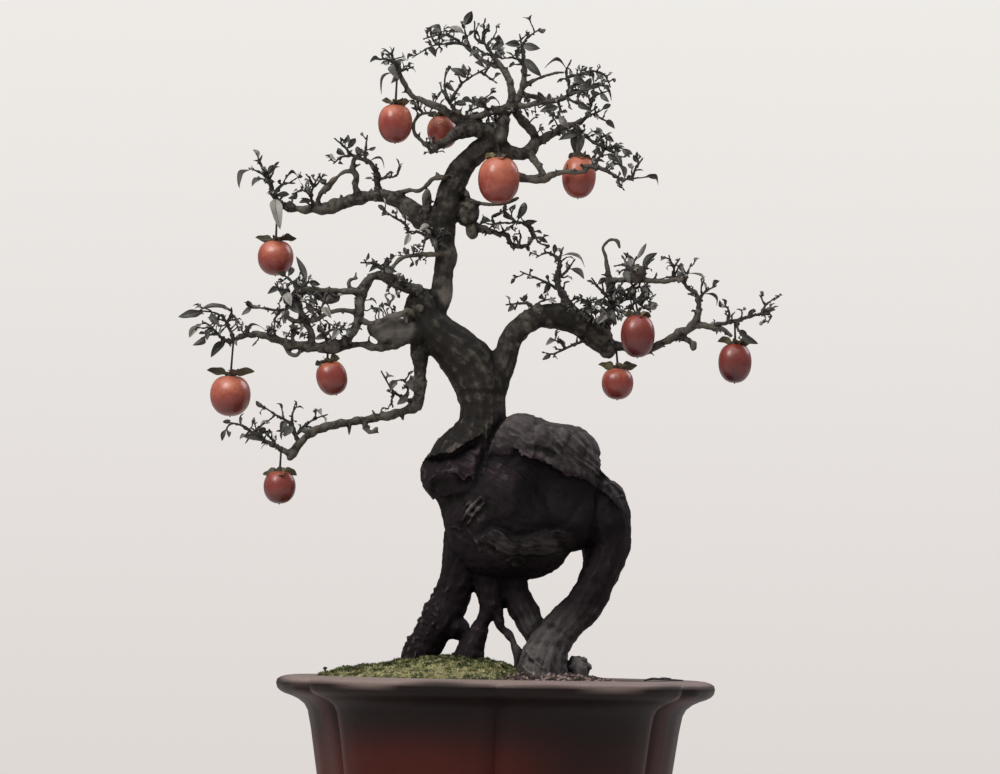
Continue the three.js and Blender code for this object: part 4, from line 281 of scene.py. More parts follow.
         [[-132, 18, 510], [-125, 13, 509], 5.5, 1, 10], [[-139, 23.4, 501.6], [-140, 32, 506], 6.5, 1.5, 30]],
    ),
    "trunk_left_drooping": (
        [[1.7, [-46, -7, 467], [-53, -11, 470], [-61, -15, 473], [-67, -17, 472]], [1.2, [-66, -16.6, 472.2],
         [-69, -19, 478], [-76, -21, 482], [-84, -23, 487]], [1.1, [-54, -11.5, 470.5], [-55, -14, 466],
         [-56, -14, 461]]],
        [[[-66, -16.6, 472.2], [-69, -19, 463], 6, 1, 0], [[-60, -14.5, 472.6], [-52, -20, 477], 6, 1, 30],
         [[-50, -9.3, 468.7], [-47, -16, 461], 6, 1, 10], [[-82, -22.5, 485.7], [-88, -20, 491], 4.5, 1, 10]],
    ),
    "left_middle_top": (
        [[1.5, [-83, -16.6, 442], [-85, -20, 447], [-91, -23, 450], [-98, -26, 450]], [1.1, [-84.6, -19.3, 446],
         [-88, -17, 450], [-91, -16, 453]], [1.1, [-84.2, -18.6, 445], [-81, -23, 449], [-78, -28, 451]]],
        [[[-83.8, -18, 444], [-81, -18, 455], 6, 1, 10], [[-82, -21.8, 448], [-74, -27, 444], 7, 1.5, 10],
         [[-86, -20.5, 447.5], [-93, -26, 444], 5.5, 1, 20], [[-79, -26.4, 450.4], [-75, -35, 455], 6, 1, 30]],
    ),
    "left_middle_cluster": (
        [[2, [-141, -22.6, 423], [-149, -26, 425], [-155, -29, 430], [-158, -31, 434]], [1.5, [-147, -25.4, 424.6],
         [-144, -29, 431], [-149, -28, 438], [-154, -27, 441]], [1.5, [-146, -25, 424.3], [-149, -25, 418],
         [-156, -26, 416], [-166, -28, 417], [-177, -29, 417]], [1.2, [-144.5, -28.4, 430], [-139, -30, 433],
         [-134, -29, 436]], [1.1, [-154, -25.8, 416.6], [-158, -28, 410], [-158, -31, 403]]],
        [[[-136, -29.4, 434.8], [-143.5, -27, 454], 6.5, -2, 20], [[-135, -29.2, 435.5], [-127, -31, 434], 6, 1, 0],
         [[-151, -27.6, 439.2], [-157, -30, 442], 6, 1, 10], [[-152, -27.4, 427.5], [-147, -36, 419], 8, 1.5, 0],
         [[-148, -25.5, 421], [-141, -33, 414], 8, 1.5, 0], [[-156, -29.6, 431.4], [-163, -34, 427], 6, 1, 0],
         [[-150, -25.2, 417.6], [-152, -18, 407], 8, 1.5, 10], [[-174, -28.8, 417], [-181, -32, 412], 5, 1, 20],
         [[-172, -28.6, 417], [-178, -34, 421], 5, 1, 20], [[-150, -27.9, 438.5], [-146, -22, 446], 5.5, 1, 20],
         [[-150, -26.5, 425.8], [-152, -14, 431], 8, 2, 30]],
    ),
    "left_middle_inner": (
        [[1.5, [-122, -23.4, 429.6], [-124, -28, 424], [-126, -29, 418], [-131, -28, 413]]],
        [[[-124, -28, 424], [-131, -34, 428], 7, 1.5, 0], [[-125, -28.5, 421], [-118, -34, 425], 6.5, 1, 0],
         [[-126, -29, 418], [-119, -32, 411], 6.5, 1.5, 0], [[-129, -28.5, 415], [-136, -34, 420], 6.5, 1.5, 0]],
    ),
    "left_lower_inner": (
        [[1.5, [-120, -19, 394], [-123, -25, 399], [-117, -28, 403], [-108, -30, 403]]],
        [[[-114, -28.7, 403], [-118, -34, 396], 6.5, 1.5, 0], [[-122, -23.5, 397.8], [-130, -29, 396], 6.5, 1, 10],
         [[-121, -26, 400.2], [-128, -30, 406], 6.5, 1, 10], [[-109, -29.8, 403], [-101, -33, 400], 6, 1.5, 0]],
    ),
    "far_left": (
        [[2.2, [-169, -9.6, 399.6], [-180, -7, 398.5], [-190, -5, 394.5], [-196, -4, 397], [-201, -2, 402],
         [-207, 0, 407], [-213, 2, 406]], [1.4, [-187, -5.6, 395.7], [-191, -8, 404], [-195, -10, 411],
         [-201, -12, 414], [-211, -14, 415]], [1.2, [-192.6, -8.8, 407], [-189, -12, 413], [-189, -14, 417]], [1.1,
         [-199, -2.8, 400], [-205, 5, 399], [-210, 9, 397]]],
        [[[-189, -13.6, 416], [-211, -16, 416], 7, 2.5, 60], [[-208, -13.4, 414.7], [-226, -15, 411], 8.5, 1.5, 20],
         [[-203, -12.4, 414.2], [-197, -18, 405], 6.5, 1, 10], [[-210, 1, 406.5], [-219, 3, 397], 6.5, 1.5, 10],
         [[-204, -1, 404.5], [-206, -7, 395], 6, 1, 10], [[-192, -4.7, 395.3], [-203, -8, 383], 8, 1.5, 10],
         [[-180, -7, 398.6], [-165, -10, 404], 6, 3, 70], [[-208, 7.4, 397.8], [-216, 14, 392], 7, 1.5, 20]],
    ),
    "down_branch_tip": (
        [[1.6, [-140, -24.3, 323], [-143, -26, 332], [-145, -27, 340], [-143, -27, 350]], [1.3, [-144, -26.5, 336],
         [-151, -29, 340], [-158, -32, 344], [-166, -35, 349]], [1.2, [-142, -25.4, 329], [-136, -21, 336],
         [-129, -18, 341], [-121, -16, 344]]],
        [[[-144, -26.4, 335], [-150, -31, 328], 7.5, 1, 0], [[-150, -28.6, 339.4], [-152, -33, 330], 7, 1, 0],
         [[-140, -23.9, 331.4], [-133, -29, 332], 6, 1, 10], [[-163, -34, 347], [-170, -38, 352], 4.5, 1, 10],
         [[-124, -16.8, 342.9], [-127, -9, 348], 5.5, 1, 20]],
    ),
    "down_branch_end": (
        [[2, [-149, -27, 317.6], [-157, -29, 321.5], [-166, -32, 326], [-172, -33, 330], [-180, -34, 335],
         [-187, -34, 336], [-191, -33, 331]], [1.1, [-156, -28.8, 321], [-159, -22, 326], [-163, -17, 330]]],
        [[[-162, -30.6, 323.7], [-178, -36, 327], 8.5, 1, 10], [[-168, -32.3, 327.4], [-163, -37, 334], 6, 1, 10],
         [[-162, -18.3, 329], [-170, -12, 333], 6.5, 1.5, 30], [[-190, -33.3, 332.3], [-193, -34, 324], 4.5, 1, 0]],
    ),
    "down_branch_elbow": (
        [[1.5, [-61, -6.6, 354], [-68, -10, 357], [-75, -13, 361], [-83, -15, 374]], [1.2, [-66, -9, 356.2],
         [-65, -14, 363], [-68, -18, 369], [-74, -20, 368]], [1.1, [-74, -12.6, 360.4], [-76, -17, 355],
         [-75, -20, 350]]],
        [[[-65.5, -11.6, 360], [-72, -17, 352], 7, 1, 0], [[-67, -17, 367.6], [-61, -23, 361], 6.5, 1, 0],
         [[-66, -15.4, 365], [-63, -9, 373], 6, 1, 10], [[-72, -19.4, 368.4], [-77, -24, 361], 6, 1.5, 0]],
    ),
    "right_fork": (
        [[2.6, [44.5, 13.2, 428.5], [38.5, 11, 440], [39, 10, 448], [40, 9, 454], [36, 8, 459], [30, 7, 461],
         [24, 6, 458]], [1.2, [39.7, 9.3, 452], [40, 11, 458], [42, 12, 465]], [1.2, [38.7, 10.6, 443], [45, 7, 449],
         [50, 4, 456]], [1.2, [41, 12, 435], [32, 15, 440], [23, 18, 444], [13, 20, 448]]],
        [[[40.2, 11, 459], [58, 7, 453], 5.5, 3, 60], [[36, 8, 459], [36, 4, 467], 4.5, 1, 10], [[46, 6.4, 450.2],
         [57, 3, 443], 6, 1.5, 20], [[31, 15.3, 440.4], [29, 21, 433], 6, 1, 20]],
    ),
    "right_fine": (
        [[1.4, [24, 8.4, 417], [20, 5, 424], [12, 4, 425], [4, 3, 424]], [1.1, [21, 6, 422.5], [28, 5, 427],
         [36, 4, 429]]],
        [[[15, 4.4, 424.6], [17, 2, 431], 5, 1, 10], [[8, 3.5, 424.5], [4, 1, 419], 5, 1, 10], [[30, 4.8, 427.5],
         [26, -1, 431], 5.5, 1, 10], [[34, 4.3, 428.5], [38, -2, 426], 5.5, 1, 10]],
    ),
    "right_cluster_top": (
        [[1.8, [92, 5.7, 443], [91, 6, 451], [93, 5, 458]], [1.2, [91.2, 6, 450], [85, 11, 454], [79, 13, 453]], [1.1,
         [91.3, 6, 449], [98, 1, 451], [105, -3, 457]], [1.1, [91.4, 6, 448], [86, 0, 450], [82, -4, 448]]],
        [[[92.5, 5.3, 456], [100, 3, 469], 4.5, 2.5, 10], [[97, 1.7, 450.7], [108, -3, 462], 6.5, 1, 0],
         [[91.2, 6, 450], [88, 9, 461], 6, 1, 0], [[91.5, 6, 447.5], [101, 10, 448], 7, 1, 10], [[87, 1, 449.7],
         [89, -6, 441], 7.5, 1.5, 0], [[84, 11.4, 453.8], [88, 20, 450], 7, 1.5, 30]],
    ),
    "right_cluster": (
        [[2, [76, 18.4, 426], [83, 13, 429], [91, 8, 430], [98, 5, 425], [104, 3, 421]], [1.5, [79, 16, 427.4],
         [72, 12, 433], [66, 10, 439], [63, 8, 443]], [1.3, [89, 9, 430], [93, 13, 437], [99, 15, 439]], [1.3,
         [81, 14.4, 428.2], [84, 20, 434], [88, 26, 438]], [1.4, [80, 15.2, 427.8], [76, 8, 422], [70, 8, 420],
         [64, 8, 423], [60, 8, 429]]],
        [[[101, 4, 423], [108.5, 2, 427], 8, 2, 10], [[97, 5.4, 425.8], [101, 1, 435], 7, 1, 0], [[88, 9.8, 429.6],
         [80, 3, 436], 8, 1.5, 0], [[85, 11.8, 429.3], [92, 3, 438], 8, 1.5, 0], [[72, 12, 433],
         [79, 8, 439], 7, 1.5, 0], [[66, 10, 439], [72, 5, 444], 5.5, 1, 0], [[64, 8, 423], [56, 6, 420], 6.5, 1, 0],
         [[73, 8, 421], [67, 2, 412], 8, 1.5, 0], [[76, 8, 422], [80, 0, 413], 8, 1.5, 0], [[87, 24.6, 437.3],
         [94, 30, 432], 8, 2, 30], [[97, 14.4, 438.4], [103, 20, 434], 6.5, 1, 20]],
    ),
    "right_loop": (
        [[2, [137, -20, 417.5], [137, -19, 427], [134, -16, 434], [128.5, -13, 438], [125, -11, 443], [119, -8, 445],
         [110, -4, 443.2]], [1.2, [119, -8, 445], [120, -9, 452], [123, -10, 457]], [1, [119.8, -8.8, 450.6],
         [117, -11, 456], [116, -12, 459]], [1.2, [127, -12, 440.5], [129, -14, 447], [131, -15, 453]], [1.2,
         [136.4, -18.4, 428.4], [141, -21, 434], [148, -24, 438]]],
        [[[129, -14, 447], [142, -17, 439], 5, 3.5, 70], [[121, -9.3, 453.7], [127, -10, 447], 5, 2, 30],
         [[140, -20.5, 432.8], [150, -24, 425], 5.5, 3, 60], [[146, -23, 436.8], [151, -26, 442], 4.5, 1, 10],
         [[122, -9.5, 444], [128, 0, 446], 6.5, 1.5, 30]],
    ),
    "right_end": (
        [[1.8, [147, -21.6, 409.6], [157, -25, 413], [166, -28, 415], [175, -30, 418], [181, -31, 419],
         [187, -32, 418], [185, -33, 413]], [1.1, [157, -25, 413], [158, -27, 420], [155, -28, 425]], [1.1,
         [180, -30.8, 418.8], [183, -30, 425], [189, -29, 430]], [1.2, [164, -27.3, 414.6], [164, -31, 408],
         [168, -33, 404]]],
        [[[181, -30.5, 421], [190, -33, 422], 4.5, 1, 10], [[170, -28.9, 416.3], [176, -33, 422], 4.5, 1, 10],
         [[156.3, -27.6, 423], [151, -30, 428], 4.5, 1, 10], [[166, -32, 406], [178, -36, 398], 7, 1.5, 0],
         [[164.4, -31.3, 407.6], [171, -25, 401], 5.5, 1, 10]],
    ),
    "right_underside": (
        [[1.4, [61, 18, 402], [53, 15, 398], [44, 12, 394], [36, 10, 390], [30, 9, 391]], [1, [45, 12.3, 394.4],
         [41, 6, 398], [36, 2, 400]]],
        [[[35, 9.9, 390.2], [29, 12, 386], 4.5, 1, 10], [[37, 2.8, 399.6], [31, -3, 396], 5.5, 1, 20]],
    ),
}


# Cords and thin roots that stand on the face of the base, seen from the front: radius, then x and z
FRONT_RIDGES = [
    [1.5, [[33, 337], [40, 328], [48, 321], [57, 314], [65, 309], [73, 302], [81, 291]]],
    [1.3, [[38, 337], [45, 329], [54, 321], [63, 314], [72, 307], [83, 297], [91, 289]]],
    [1.1, [[35, 341], [47, 335], [58, 325], [66, 317], [73, 310]]],
    [0.9, [[30, 330], [38, 322], [47, 316], [56, 310], [64, 304]]],
    [0.9, [[6, 337], [8, 332], [14, 331], [18, 327], [23, 326]]],
    [1.1, [[82, 290], [87, 291], [92, 288]]],
    [1.7, [[-27, 267], [-25, 272], [-22, 277], [-17, 283], [-12, 288], [-9, 284]]],
    [1.3, [[-23, 267], [-19, 273], [-15, 280], [-9, 284]]],
    [1.0, [[-29, 271], [-21, 275], [-14, 279], [-10, 288]]],
    [0.9, [[-26, 275], [-24, 281], [-17, 286]]],
    [1.0, [[-23, 267], [-19, 262], [-15, 257], [-12, 250]]],
    [1.4, [[-37, 267], [-31, 267], [-25, 265]]],
    [0.7, [[4, 241], [9, 246], [14, 247], [19, 246]]],
    [0.7, [[8, 243], [13, 240], [17, 242], [19, 246]]],
    [0.9, [[18, 172], [24, 167], [31, 165]]],
    [0.8, [[20, 184], [26, 176], [34, 170]]],
]

# Soft folds and sharp ledges of that face: rise above the line, rise below it, how far each reaches,
# raggedness, then x and z of the line
FACE_STROKES = [
    [3.2, -5.0, 11, 9, 0.7, [[-57, 309], [-52, 314], [-45, 316.4], [-37, 317.6], [-31, 320], [-25, 324],
     [-20, 326.5], [-13, 331]]],
    [1.6, 3.2, 3, 7, 0.4, [[-53, 297], [-50, 300], [-45, 305.5], [-37, 308], [-30, 308], [-25, 304]]],
    [1.8, -1.8, 2.5, 3, 0.3, [[-30, 304], [-24, 299], [-21, 302.7], [-17, 296]]],
    [2.6, -5.5, 6, 12, 1.6, [[11, 322], [15, 318], [23, 314.4], [31, 312], [38, 307], [45, 304]]],
    [-2.2, -1.2, 2.4, 2.4, 0.8, [[13, 322], [20, 322], [28, 321], [35, 319], [39, 315]]],
    [0.2, -3.4, 4, 14, 0.8, [[42, 303], [50, 303], [60, 300], [70, 294], [78, 288], [84, 281]]],
    [-1.6, 1.2, 2, 6, 0.2, [[33, 343], [43, 341], [54, 338.7], [60, 332.4], [65.5, 323.5], [69.5, 314.6], [73, 307]]],
    [1.6, -3.8, 5, 4, 0.4, [[6, 348], [4, 343], [-1.5, 336.4], [-6.4, 325], [-10, 314.5], [-13, 304]]],
    [-7.5, -7.5, 15, 15, 0.0, [[16, 293], [34, 291], [52, 286], [62, 279]]],
    [-2.5, 6.0, 7, 10, 0.3, [[-11, 261], [-4, 266.4], [2, 265], [9, 260.2], [19, 260.4], [29, 263.8], [38, 266.5],
     [50, 264]]],
    [0.8, -1.6, 5, 9, 0.3, [[-8, 258], [-3, 253], [4, 249], [19, 248], [35, 249], [44, 252]]],
    [0.5, -0.8, 0.7, 1.1, 0.2, [[6, 256], [16, 254.5], [26, 254.5], [37, 256.5]]],
    [0.5, -0.8, 0.7, 1.1, 0.2, [[12, 252.6], [22, 251.6], [33, 252.6]]],
    [-1.4, -1.4, 1.6, 1.6, 1.0, [[34, 201], [38, 199], [41, 200]]],
    [-1.4, -1.4, 1.8, 1.8, 1.0, [[20, 178], [26, 175], [31, 176]]],
    [-1.2, 1.2, 1.5, 2.5, 0.8, [[26, 193], [22, 186], [19, 178], [16, 170]]],
]

# Main forms of the base and the two legs, fitted to their outline from the front
BASE_LUMPS = [
    [[8, 0, 275], [46, 37, 46], 2.2],
    [[42, -2, 288], [32, 32, 37.5], 2.3],
    [[34, -3, 304], [37, 30, 38], 3],
    [[17, -3, 320], [24, 25, 27.5], 2.4],
    [[-41, -2, 305], [14.5, 20, 17], 2.2],
]
BASE_LIMBS = [
    [[-13, 0, 350, 15], [-14, 0, 336, 18], [-20, 0, 320, 26], [-23, 0, 305, 31], [-20, 0, 290, 26],
     [-20, 0, 268, 18.5],
     [-22, 1, 250, 17.5], [-26, 2, 235, 15], [-30.5, 3, 223, 14], [-35, 3, 211, 15], [-40, 3, 200, 15.5],
     [-47, 4, 189, 13.5], [-53, 4, 178, 12], [-56, 5, 158, 14]],
    [[60, -3, 296, 15], [69.5, -2, 287, 20.5], [74, -2, 273, 19.5], [77.5, -3, 256, 14.4], [70, -5, 233, 14.2],
     [59, -8, 213, 14.4], [47, -12, 200, 13.6], [37, -15, 187, 14], [33, -17, 174, 16], [32, -18, 154, 22]],
    [[70, 12, 264, 13], [67, 28, 232, 8.6], [52, 42, 203, 7.2], [41, 50, 178, 6.5], [36, 56, 154, 8]],
]

# Pale healed cuts and bare sapwood: centre and radius
PALE_SPOTS = [
    [[-38, -10, 429], 7.5],
    [[-72, -14, 405], 12.0],
    [[-84, -14, 403], 9.0],
    [[-3, -6, 543], 5.0],
    [[-52, -12, 440], 5.0],
    [[-17, -36, 278], 10.0],
    [[12, -38, 243], 8.0],
]

# Crumpled tangles of dry leaves and fine shoots: centre, radii and number of shoots
TANGLES = [
    [[70, 10, 419], [12, 7, 10], 44],
    [[92, 3, 430], [14, 7, 9], 44],
    [[84, 8, 416], [9, 6, 8], 20],
    [[54, 12, 424], [9, 6, 6], 14],
    [[14, -5, 562], [14, 6, 7], 22],
    [[-15, -7, 553], [13, 6, 6], 20],
    [[32, 4, 553], [13, 7, 9], 26],
    [[62, 14, 584], [14, 6, 5], 14],
    [[50, -2, 549], [14, 7, 7], 18],
    [[72, 0, 536], [11, 7, 8], 16],
    [[-46, 26, 613], [11, 5, 6], 12],
    [[-143, -23, 430], [14, 7, 12], 34],
    [[-129, -22, 419], [8, 6, 9], 16],
    [[-147, -15, 403], [17, 7, 6], 22],
    [[-192, -8, 406], [11, 6, 7], 14],
    [[-82, -18, 420], [12, 6, 5], 16],
    [[-71, -16, 435], [10, 5, 6], 16],
    [[-112, -22, 402], [12, 6, 5], 16],
    [[-56, -14, 564], [12, 6, 6], 16],
    [[-52, -15, 533], [6, 4, 5], 10],
    [[-64, -10, 457], [9, 6, 5], 14],
    [[-40, -6, 471], [12, 6, 6], 14],
    [[-166, -28, 331], [11, 6, 5], 14],
    [[-76, -22, 590], [9, 5, 6], 9],
]

# Grain of the base's wood where no root carries it: points on the wood's surface
GRAIN_LINES = [
    [[-6, -30, 340], [18, -36, 334], [42, -36, 320], [66, -32, 300], [86, -20, 280], [93, -8, 258]],
    [[-4, -36, 316], [22, -38, 304], [46, -37, 290], [70, -28, 274]],
    [[-6, 30, 340], [18, 34, 334], [42, 34, 320], [66, 28, 300], [86, 16, 280], [93, 6, 258]],
    [[-4, 36, 316], [22, 36, 304], [46, 34, 290], [70, 26, 274]],
    [[-18, -30, 262], [6, -38, 254], [28, -38, 250], [52, -28, 250]],
    [[-18, 30, 262], [6, 36, 254], [28, 36, 250], [52, 28, 250]],
]


class Slot(Enum):
    """Material slots of the part's record."""

    CLAY = "clay"
    SCREEN = "screen"
    SOIL = "soil"
    MOSS = "moss"
    BARK = "bark"
    FOLIAGE = "foliage"
    BERRY = "berry"
    CALYX = "calyx"


def linear(hex_colour: str) -> tuple[float, float, float, float]:
    """Turns an sRGB hex colour to the linear one that shaders take.

    Args:
        hex_colour: Six hex digits, with or without a leading #.

    Returns:
        Red, green, blue and an alpha of 1.
    """
    digits = hex_colour.lstrip("#")
    channels = [int(digits[i : i + 2], 16) / 255 for i in (0, 2, 4)]
    red, green, blue = (c / 12.92 if c <= 0.04045 else ((c + 0.055) / 1.055) ** 2.4 for c in channels)
    return (red, green, blue, 1.0)


def feed(tree: bpy.types.NodeTree, node: bpy.types.Node, inputs: dict) -> None:
    """Feeds a node: each socket, by name or number, gets a link or a plain value.

    Args:
        tree: Node tree of the node.
        node: Node that is fed.
        inputs: Socket name or number, and the socket that feeds it or its plain value.
    """
    for name, value in inputs.items():
        if isinstance(value, Socket):
            tree.links.new(value, node.inputs[name])
        else:
            node.inputs[name].default_value = value


def add_node(tree: bpy.types.NodeTree, kind: str, inputs: dict | None = None, **settings: Any) -> bpy.types.Node:
    """Adds a node with its settings and links.

    Args:
        tree: Node tree that gets the node.
        kind: Blender's name of the node type.
        inputs: Socket name or number, and the socket that feeds it or its plain value.
        **settings: Properties of the node; stops gives a colour ramp's places and hex colours.

    Returns:
        The new node.
    """
    node = tree.nodes.new(kind)
    stops = settings.pop("stops", ())
    for name, value in settings.items():
        setattr(node, name, value)
    for place, (position, colour) in enumerate(stops):
        elements = node.color_ramp.elements
        element = elements[place] if place < len(elements) else elements.new(position)
        element.position = position
        element.color = linear(colour)
    feed(tree, node, inputs or {})
    return node


class Paint:
    """A new material, with short ways to the nodes that finishes are made of."""

    def __init__(self, name: str) -> None:
        """Makes the material under the common name of the real one."""
        self.material = bpy.data.materials.new(name)
        self.material.use_nodes = True
        self.tree = self.material.node_tree
        self.shader = next(node for node in self.tree.nodes if node.type == "BSDF_PRINCIPLED")
        self.place = add_node(self.tree, "ShaderNodeTexCoord").outputs["Object"]

    def noise(self, scale: float, detail: float = 3.0, roughness: float = 0.5) -> Socket:
        """Gives noise over the object's coordinates; its patches are about 1 / scale metres wide."""
        inputs = {"Vector": self.place, "Scale": scale, "Detail": detail, "Roughness": roughness}
        return add_node(self.tree, "ShaderNodeTexNoise", inputs).outputs["Fac"]

    def stored(self, name: str) -> Socket:
        """Gives the number that the mesh stores under a name at each vertex."""
        return add_node(self.tree, "ShaderNodeAttribute", attribute_name=name).outputs["Fac"]

    def axes(self, vector: Socket) -> list[Socket]:
        """Gives the three numbers of a vector."""
        return list(add_node(self.tree, "ShaderNodeSeparateXYZ", {"Vector": vector}).outputs)

    def math(self, operation: str, *values: Any) -> Socket:
        """Gives the result of an operation on numbers, in its node's order."""
        return add_node(self.tree, "ShaderNodeMath", dict(enumerate(values)), operation=operation).outputs["Value"]

    def span(self, value: Socket, start: float, end: float, low: float = 0.0, high: float = 1.0,
             easing: str = "LINEAR") -> Socket:
        """Takes a value's stretch from start to end to the one from low to high.

        Args:
            value: Number that is taken over.
            start: Value that gives low.
            end: Value that gives high.
            low: Result at the start and before it.
            high: Result at the end and past it.
            easing: Blender's name of the way between them.

        Returns:
            The new number.
        """
        inputs = {"Value": value, "From Min": start, "From Max": end, "To Min": low, "To Max": high}
        return add_node(self.tree, "ShaderNodeMapRange", inputs, interpolation_type=easing).outputs["Result"]

    def ramp(self, value: Socket, *stops: tuple[float, str]) -> Socket:
        """Gives the colour that a value has among the stops."""
        return add_node(self.tree, "ShaderNodeValToRGB", {"Fac": value}, stops=stops).outputs["Color"]

    def blend(self, share: Socket, under: Socket, over: Socket | str) -> Socket:
        """Lays a colour over another by a share."""
        top = linear(over) if isinstance(over, str) else over
        return add_node(self.tree, "ShaderNodeMix", {0: share, 6: under, 7: top}, data_type="RGBA").outputs[2]

    def finish(self, inputs: dict[str, Any], height: Socket, strength: float, depth: float) -> bpy.types.Material:
        """Feeds the surface shader.

        Args:
            inputs: The shader's inputs by name.
            height: Fine relief that bends the light.
            strength: How much of the relief shows.
            depth: Height of the relief in metres.

        Returns:
            The finished material.
        """
        bump = add_node(self.tree, "ShaderNodeBump", {"Height": height, "Strength": strength, "Distance": depth})
        feed(self.tree, self.shader, {**inputs, "Normal": bump.outputs["Normal"]})
        return self.material


@dataclass(frozen=True)
class Stoneware:
    """Unglazed stoneware, turned, scraped and burnished, then fired dark: silky, with fine grit."""

    body: str = "#190b0c"
    deep: str = "#110809"
    # Painted reddish reflection low on the left of the wall
    reflected_red: str = "#43120b"
    # Painted highlight of the light from above on the lip, with a little dust
    lip: str = "#8c7c77"
    # Painted highlight beside each crease
    rib_highlight: str = "#5c4646"
    roughness: float = 0.46

    def make(self) -> bpy.types.Material:
        """Gives brown clay, with painted reddish reflection low on the wall and painted highlights on the lip and ribs.
        """
        paint = Paint("unglazed_stoneware")
        # Kiln clouding, about 70 mm across
        cloud = paint.noise(14.0)
        # Grit of 0.4 mm is too fine to show, so it is drawn at about 1.2 mm
        grit = paint.noise(820.0, 3.0, 0.7)
        clay = paint.ramp(cloud, (0.32, self.deep), (0.68, self.body))
        x, _, z = paint.axes(paint.place)
        low = paint.span(z, 0.142, 0.095, 0.0, 1.5, "SMOOTHSTEP")
        # Painted reddish reflection, low on the wall, strongest on the left flank and patchy with the clouding
        flank = paint.span(x, -0.05, 0.07, 1.5, 0.5, "SMOOTHSTEP")
        fired = paint.math("MULTIPLY", paint.math("MULTIPLY", low, flank), cloud)
        reflected_red = paint.blend(fired, clay, self.reflected_red)
        rib_highlighted = paint.blend(paint.stored("crease"), reflected_red, self.rib_highlight)
        # Painted highlight on the lip
        lip_highlighted = paint.blend(paint.stored("lip"), rib_highlighted, self.lip)
        speckled = {"Color": lip_highlighted, "Value": paint.span(grit, 0.3, 0.7, 0.82, 1.14)}
        colour = add_node(paint.tree, "ShaderNodeHueSaturation", speckled).outputs["Color"]
        sheen = paint.span(grit, 0.0, 1.0, self.roughness - 0.08, self.roughness + 0.1)
        inputs = {"Base Color": colour, "Roughness": sheen, "Specular IOR Level": 0.25}
        return paint.finish(inputs, grit, 0.25, 0.0002)


@dataclass(frozen=True)
class OldBark:
    """Weathered bark of an old trunk: matt, with painted shade nearly black in its hollows and painted grey highlight
    on its crests.
    """

    hollow_shade: str = "#090607"
    base: str = "#1e131a"
    # Painted highlight on the crests
    crest: str = "#4d4246"
    foot_hollow_shade: str = "#171516"
    foot: str = "#5b5857"
    foot_crest_highlight: str = "#767371"
    upper_hollow_shade: str = "#0f0e0d"
    upper: str = "#24221f"
    upper_crest_highlight: str = "#5a554e"
    sapwood: str = "#8b8781"
    lichen: str = "#77746e"
    lichen_share: float = 0.6

    def make(self) -> bpy.types.Material:
        """Gives purple-black bark at the base, olive-grey above it and grey dust at the feet, with painted shade in
        hollows and painted highlight on crests.
        """
        paint = Paint("weathered_bark")
        # Weather stains of about 25 mm and bark grain of about 1.5 mm
        stain = paint.noise(42.0, 5.0, 0.6)
        grain = paint.noise(640.0, 4.0, 0.75)
        proud = paint.math("MULTIPLY_ADD", grain, 0.3, paint.stored("crest"))
        relief = paint.math("MULTIPLY_ADD", stain, 0.35, proud)
        # Colour runs from painted shade in the hollows to painted highlight on the crests
        dark = paint.ramp(relief, (0.5, self.hollow_shade), (0.8, self.base), (1.0, self.crest))
        olive = paint.ramp(relief, (0.45, self.upper_hollow_shade), (0.8, self.upper), (1.05, self.upper_crest_highlight))
        dust = paint.ramp(relief, (0.5, self.foot_hollow_shade), (0.74, self.foot), (0.98, self.foot_crest_highlight))
        body = paint.blend(paint.stored("upper"), dark, olive)
        # Dust at the feet and on the roll, and on the brow dust with painted highlight on upward faces
        whole = paint.blend(paint.stored("dust_and_highlight"), body, dust)
        # Lichen specks of about 1 mm on the thin wood, more on upward faces as painted highlight, and bare sapwood at
        # the healed cuts
        specks = paint.math("MULTIPLY", paint.span(paint.noise(480.0), 0.42, 0.62), paint.stored("thin"))
        flecked = paint.blend(paint.math("MULTIPLY", specks, self.lichen_share), whole, self.lichen)
        bare = paint.blend(paint.math("MULTIPLY", paint.stored("pale"), relief), flecked, self.sapwood)
        return paint.finish({"Base Color": bare, "Roughness": 0.72, "Specular IOR Level": 0.2}, grain, 0.5, 0.0006)


@dataclass(frozen=True)
class YoungBark:
    """Bark of young twigs: thin, dark grey-brown, with pale pores and a dull sheen."""

    dark: str = "#161413"
    light: str = "#3a3734"
    pore: str = "#77736e"

    def make(self) -> bpy.types.Material:
        """Gives dark twig bark, mottled over a few millimetres."""
        paint = Paint("twig_bark")
        pores = paint.noise(900.0, 2.0)
        bark = paint.ramp(paint.noise(180.0, 4.0), (0.35, self.dark), (0.7, self.light))
        colour = paint.blend(paint.span(pores, 0.62, 0.72), bark, self.pore)
        return paint.finish({"Base Color": colour, "Roughness": 0.66}, pores, 0.5, 0.0004)


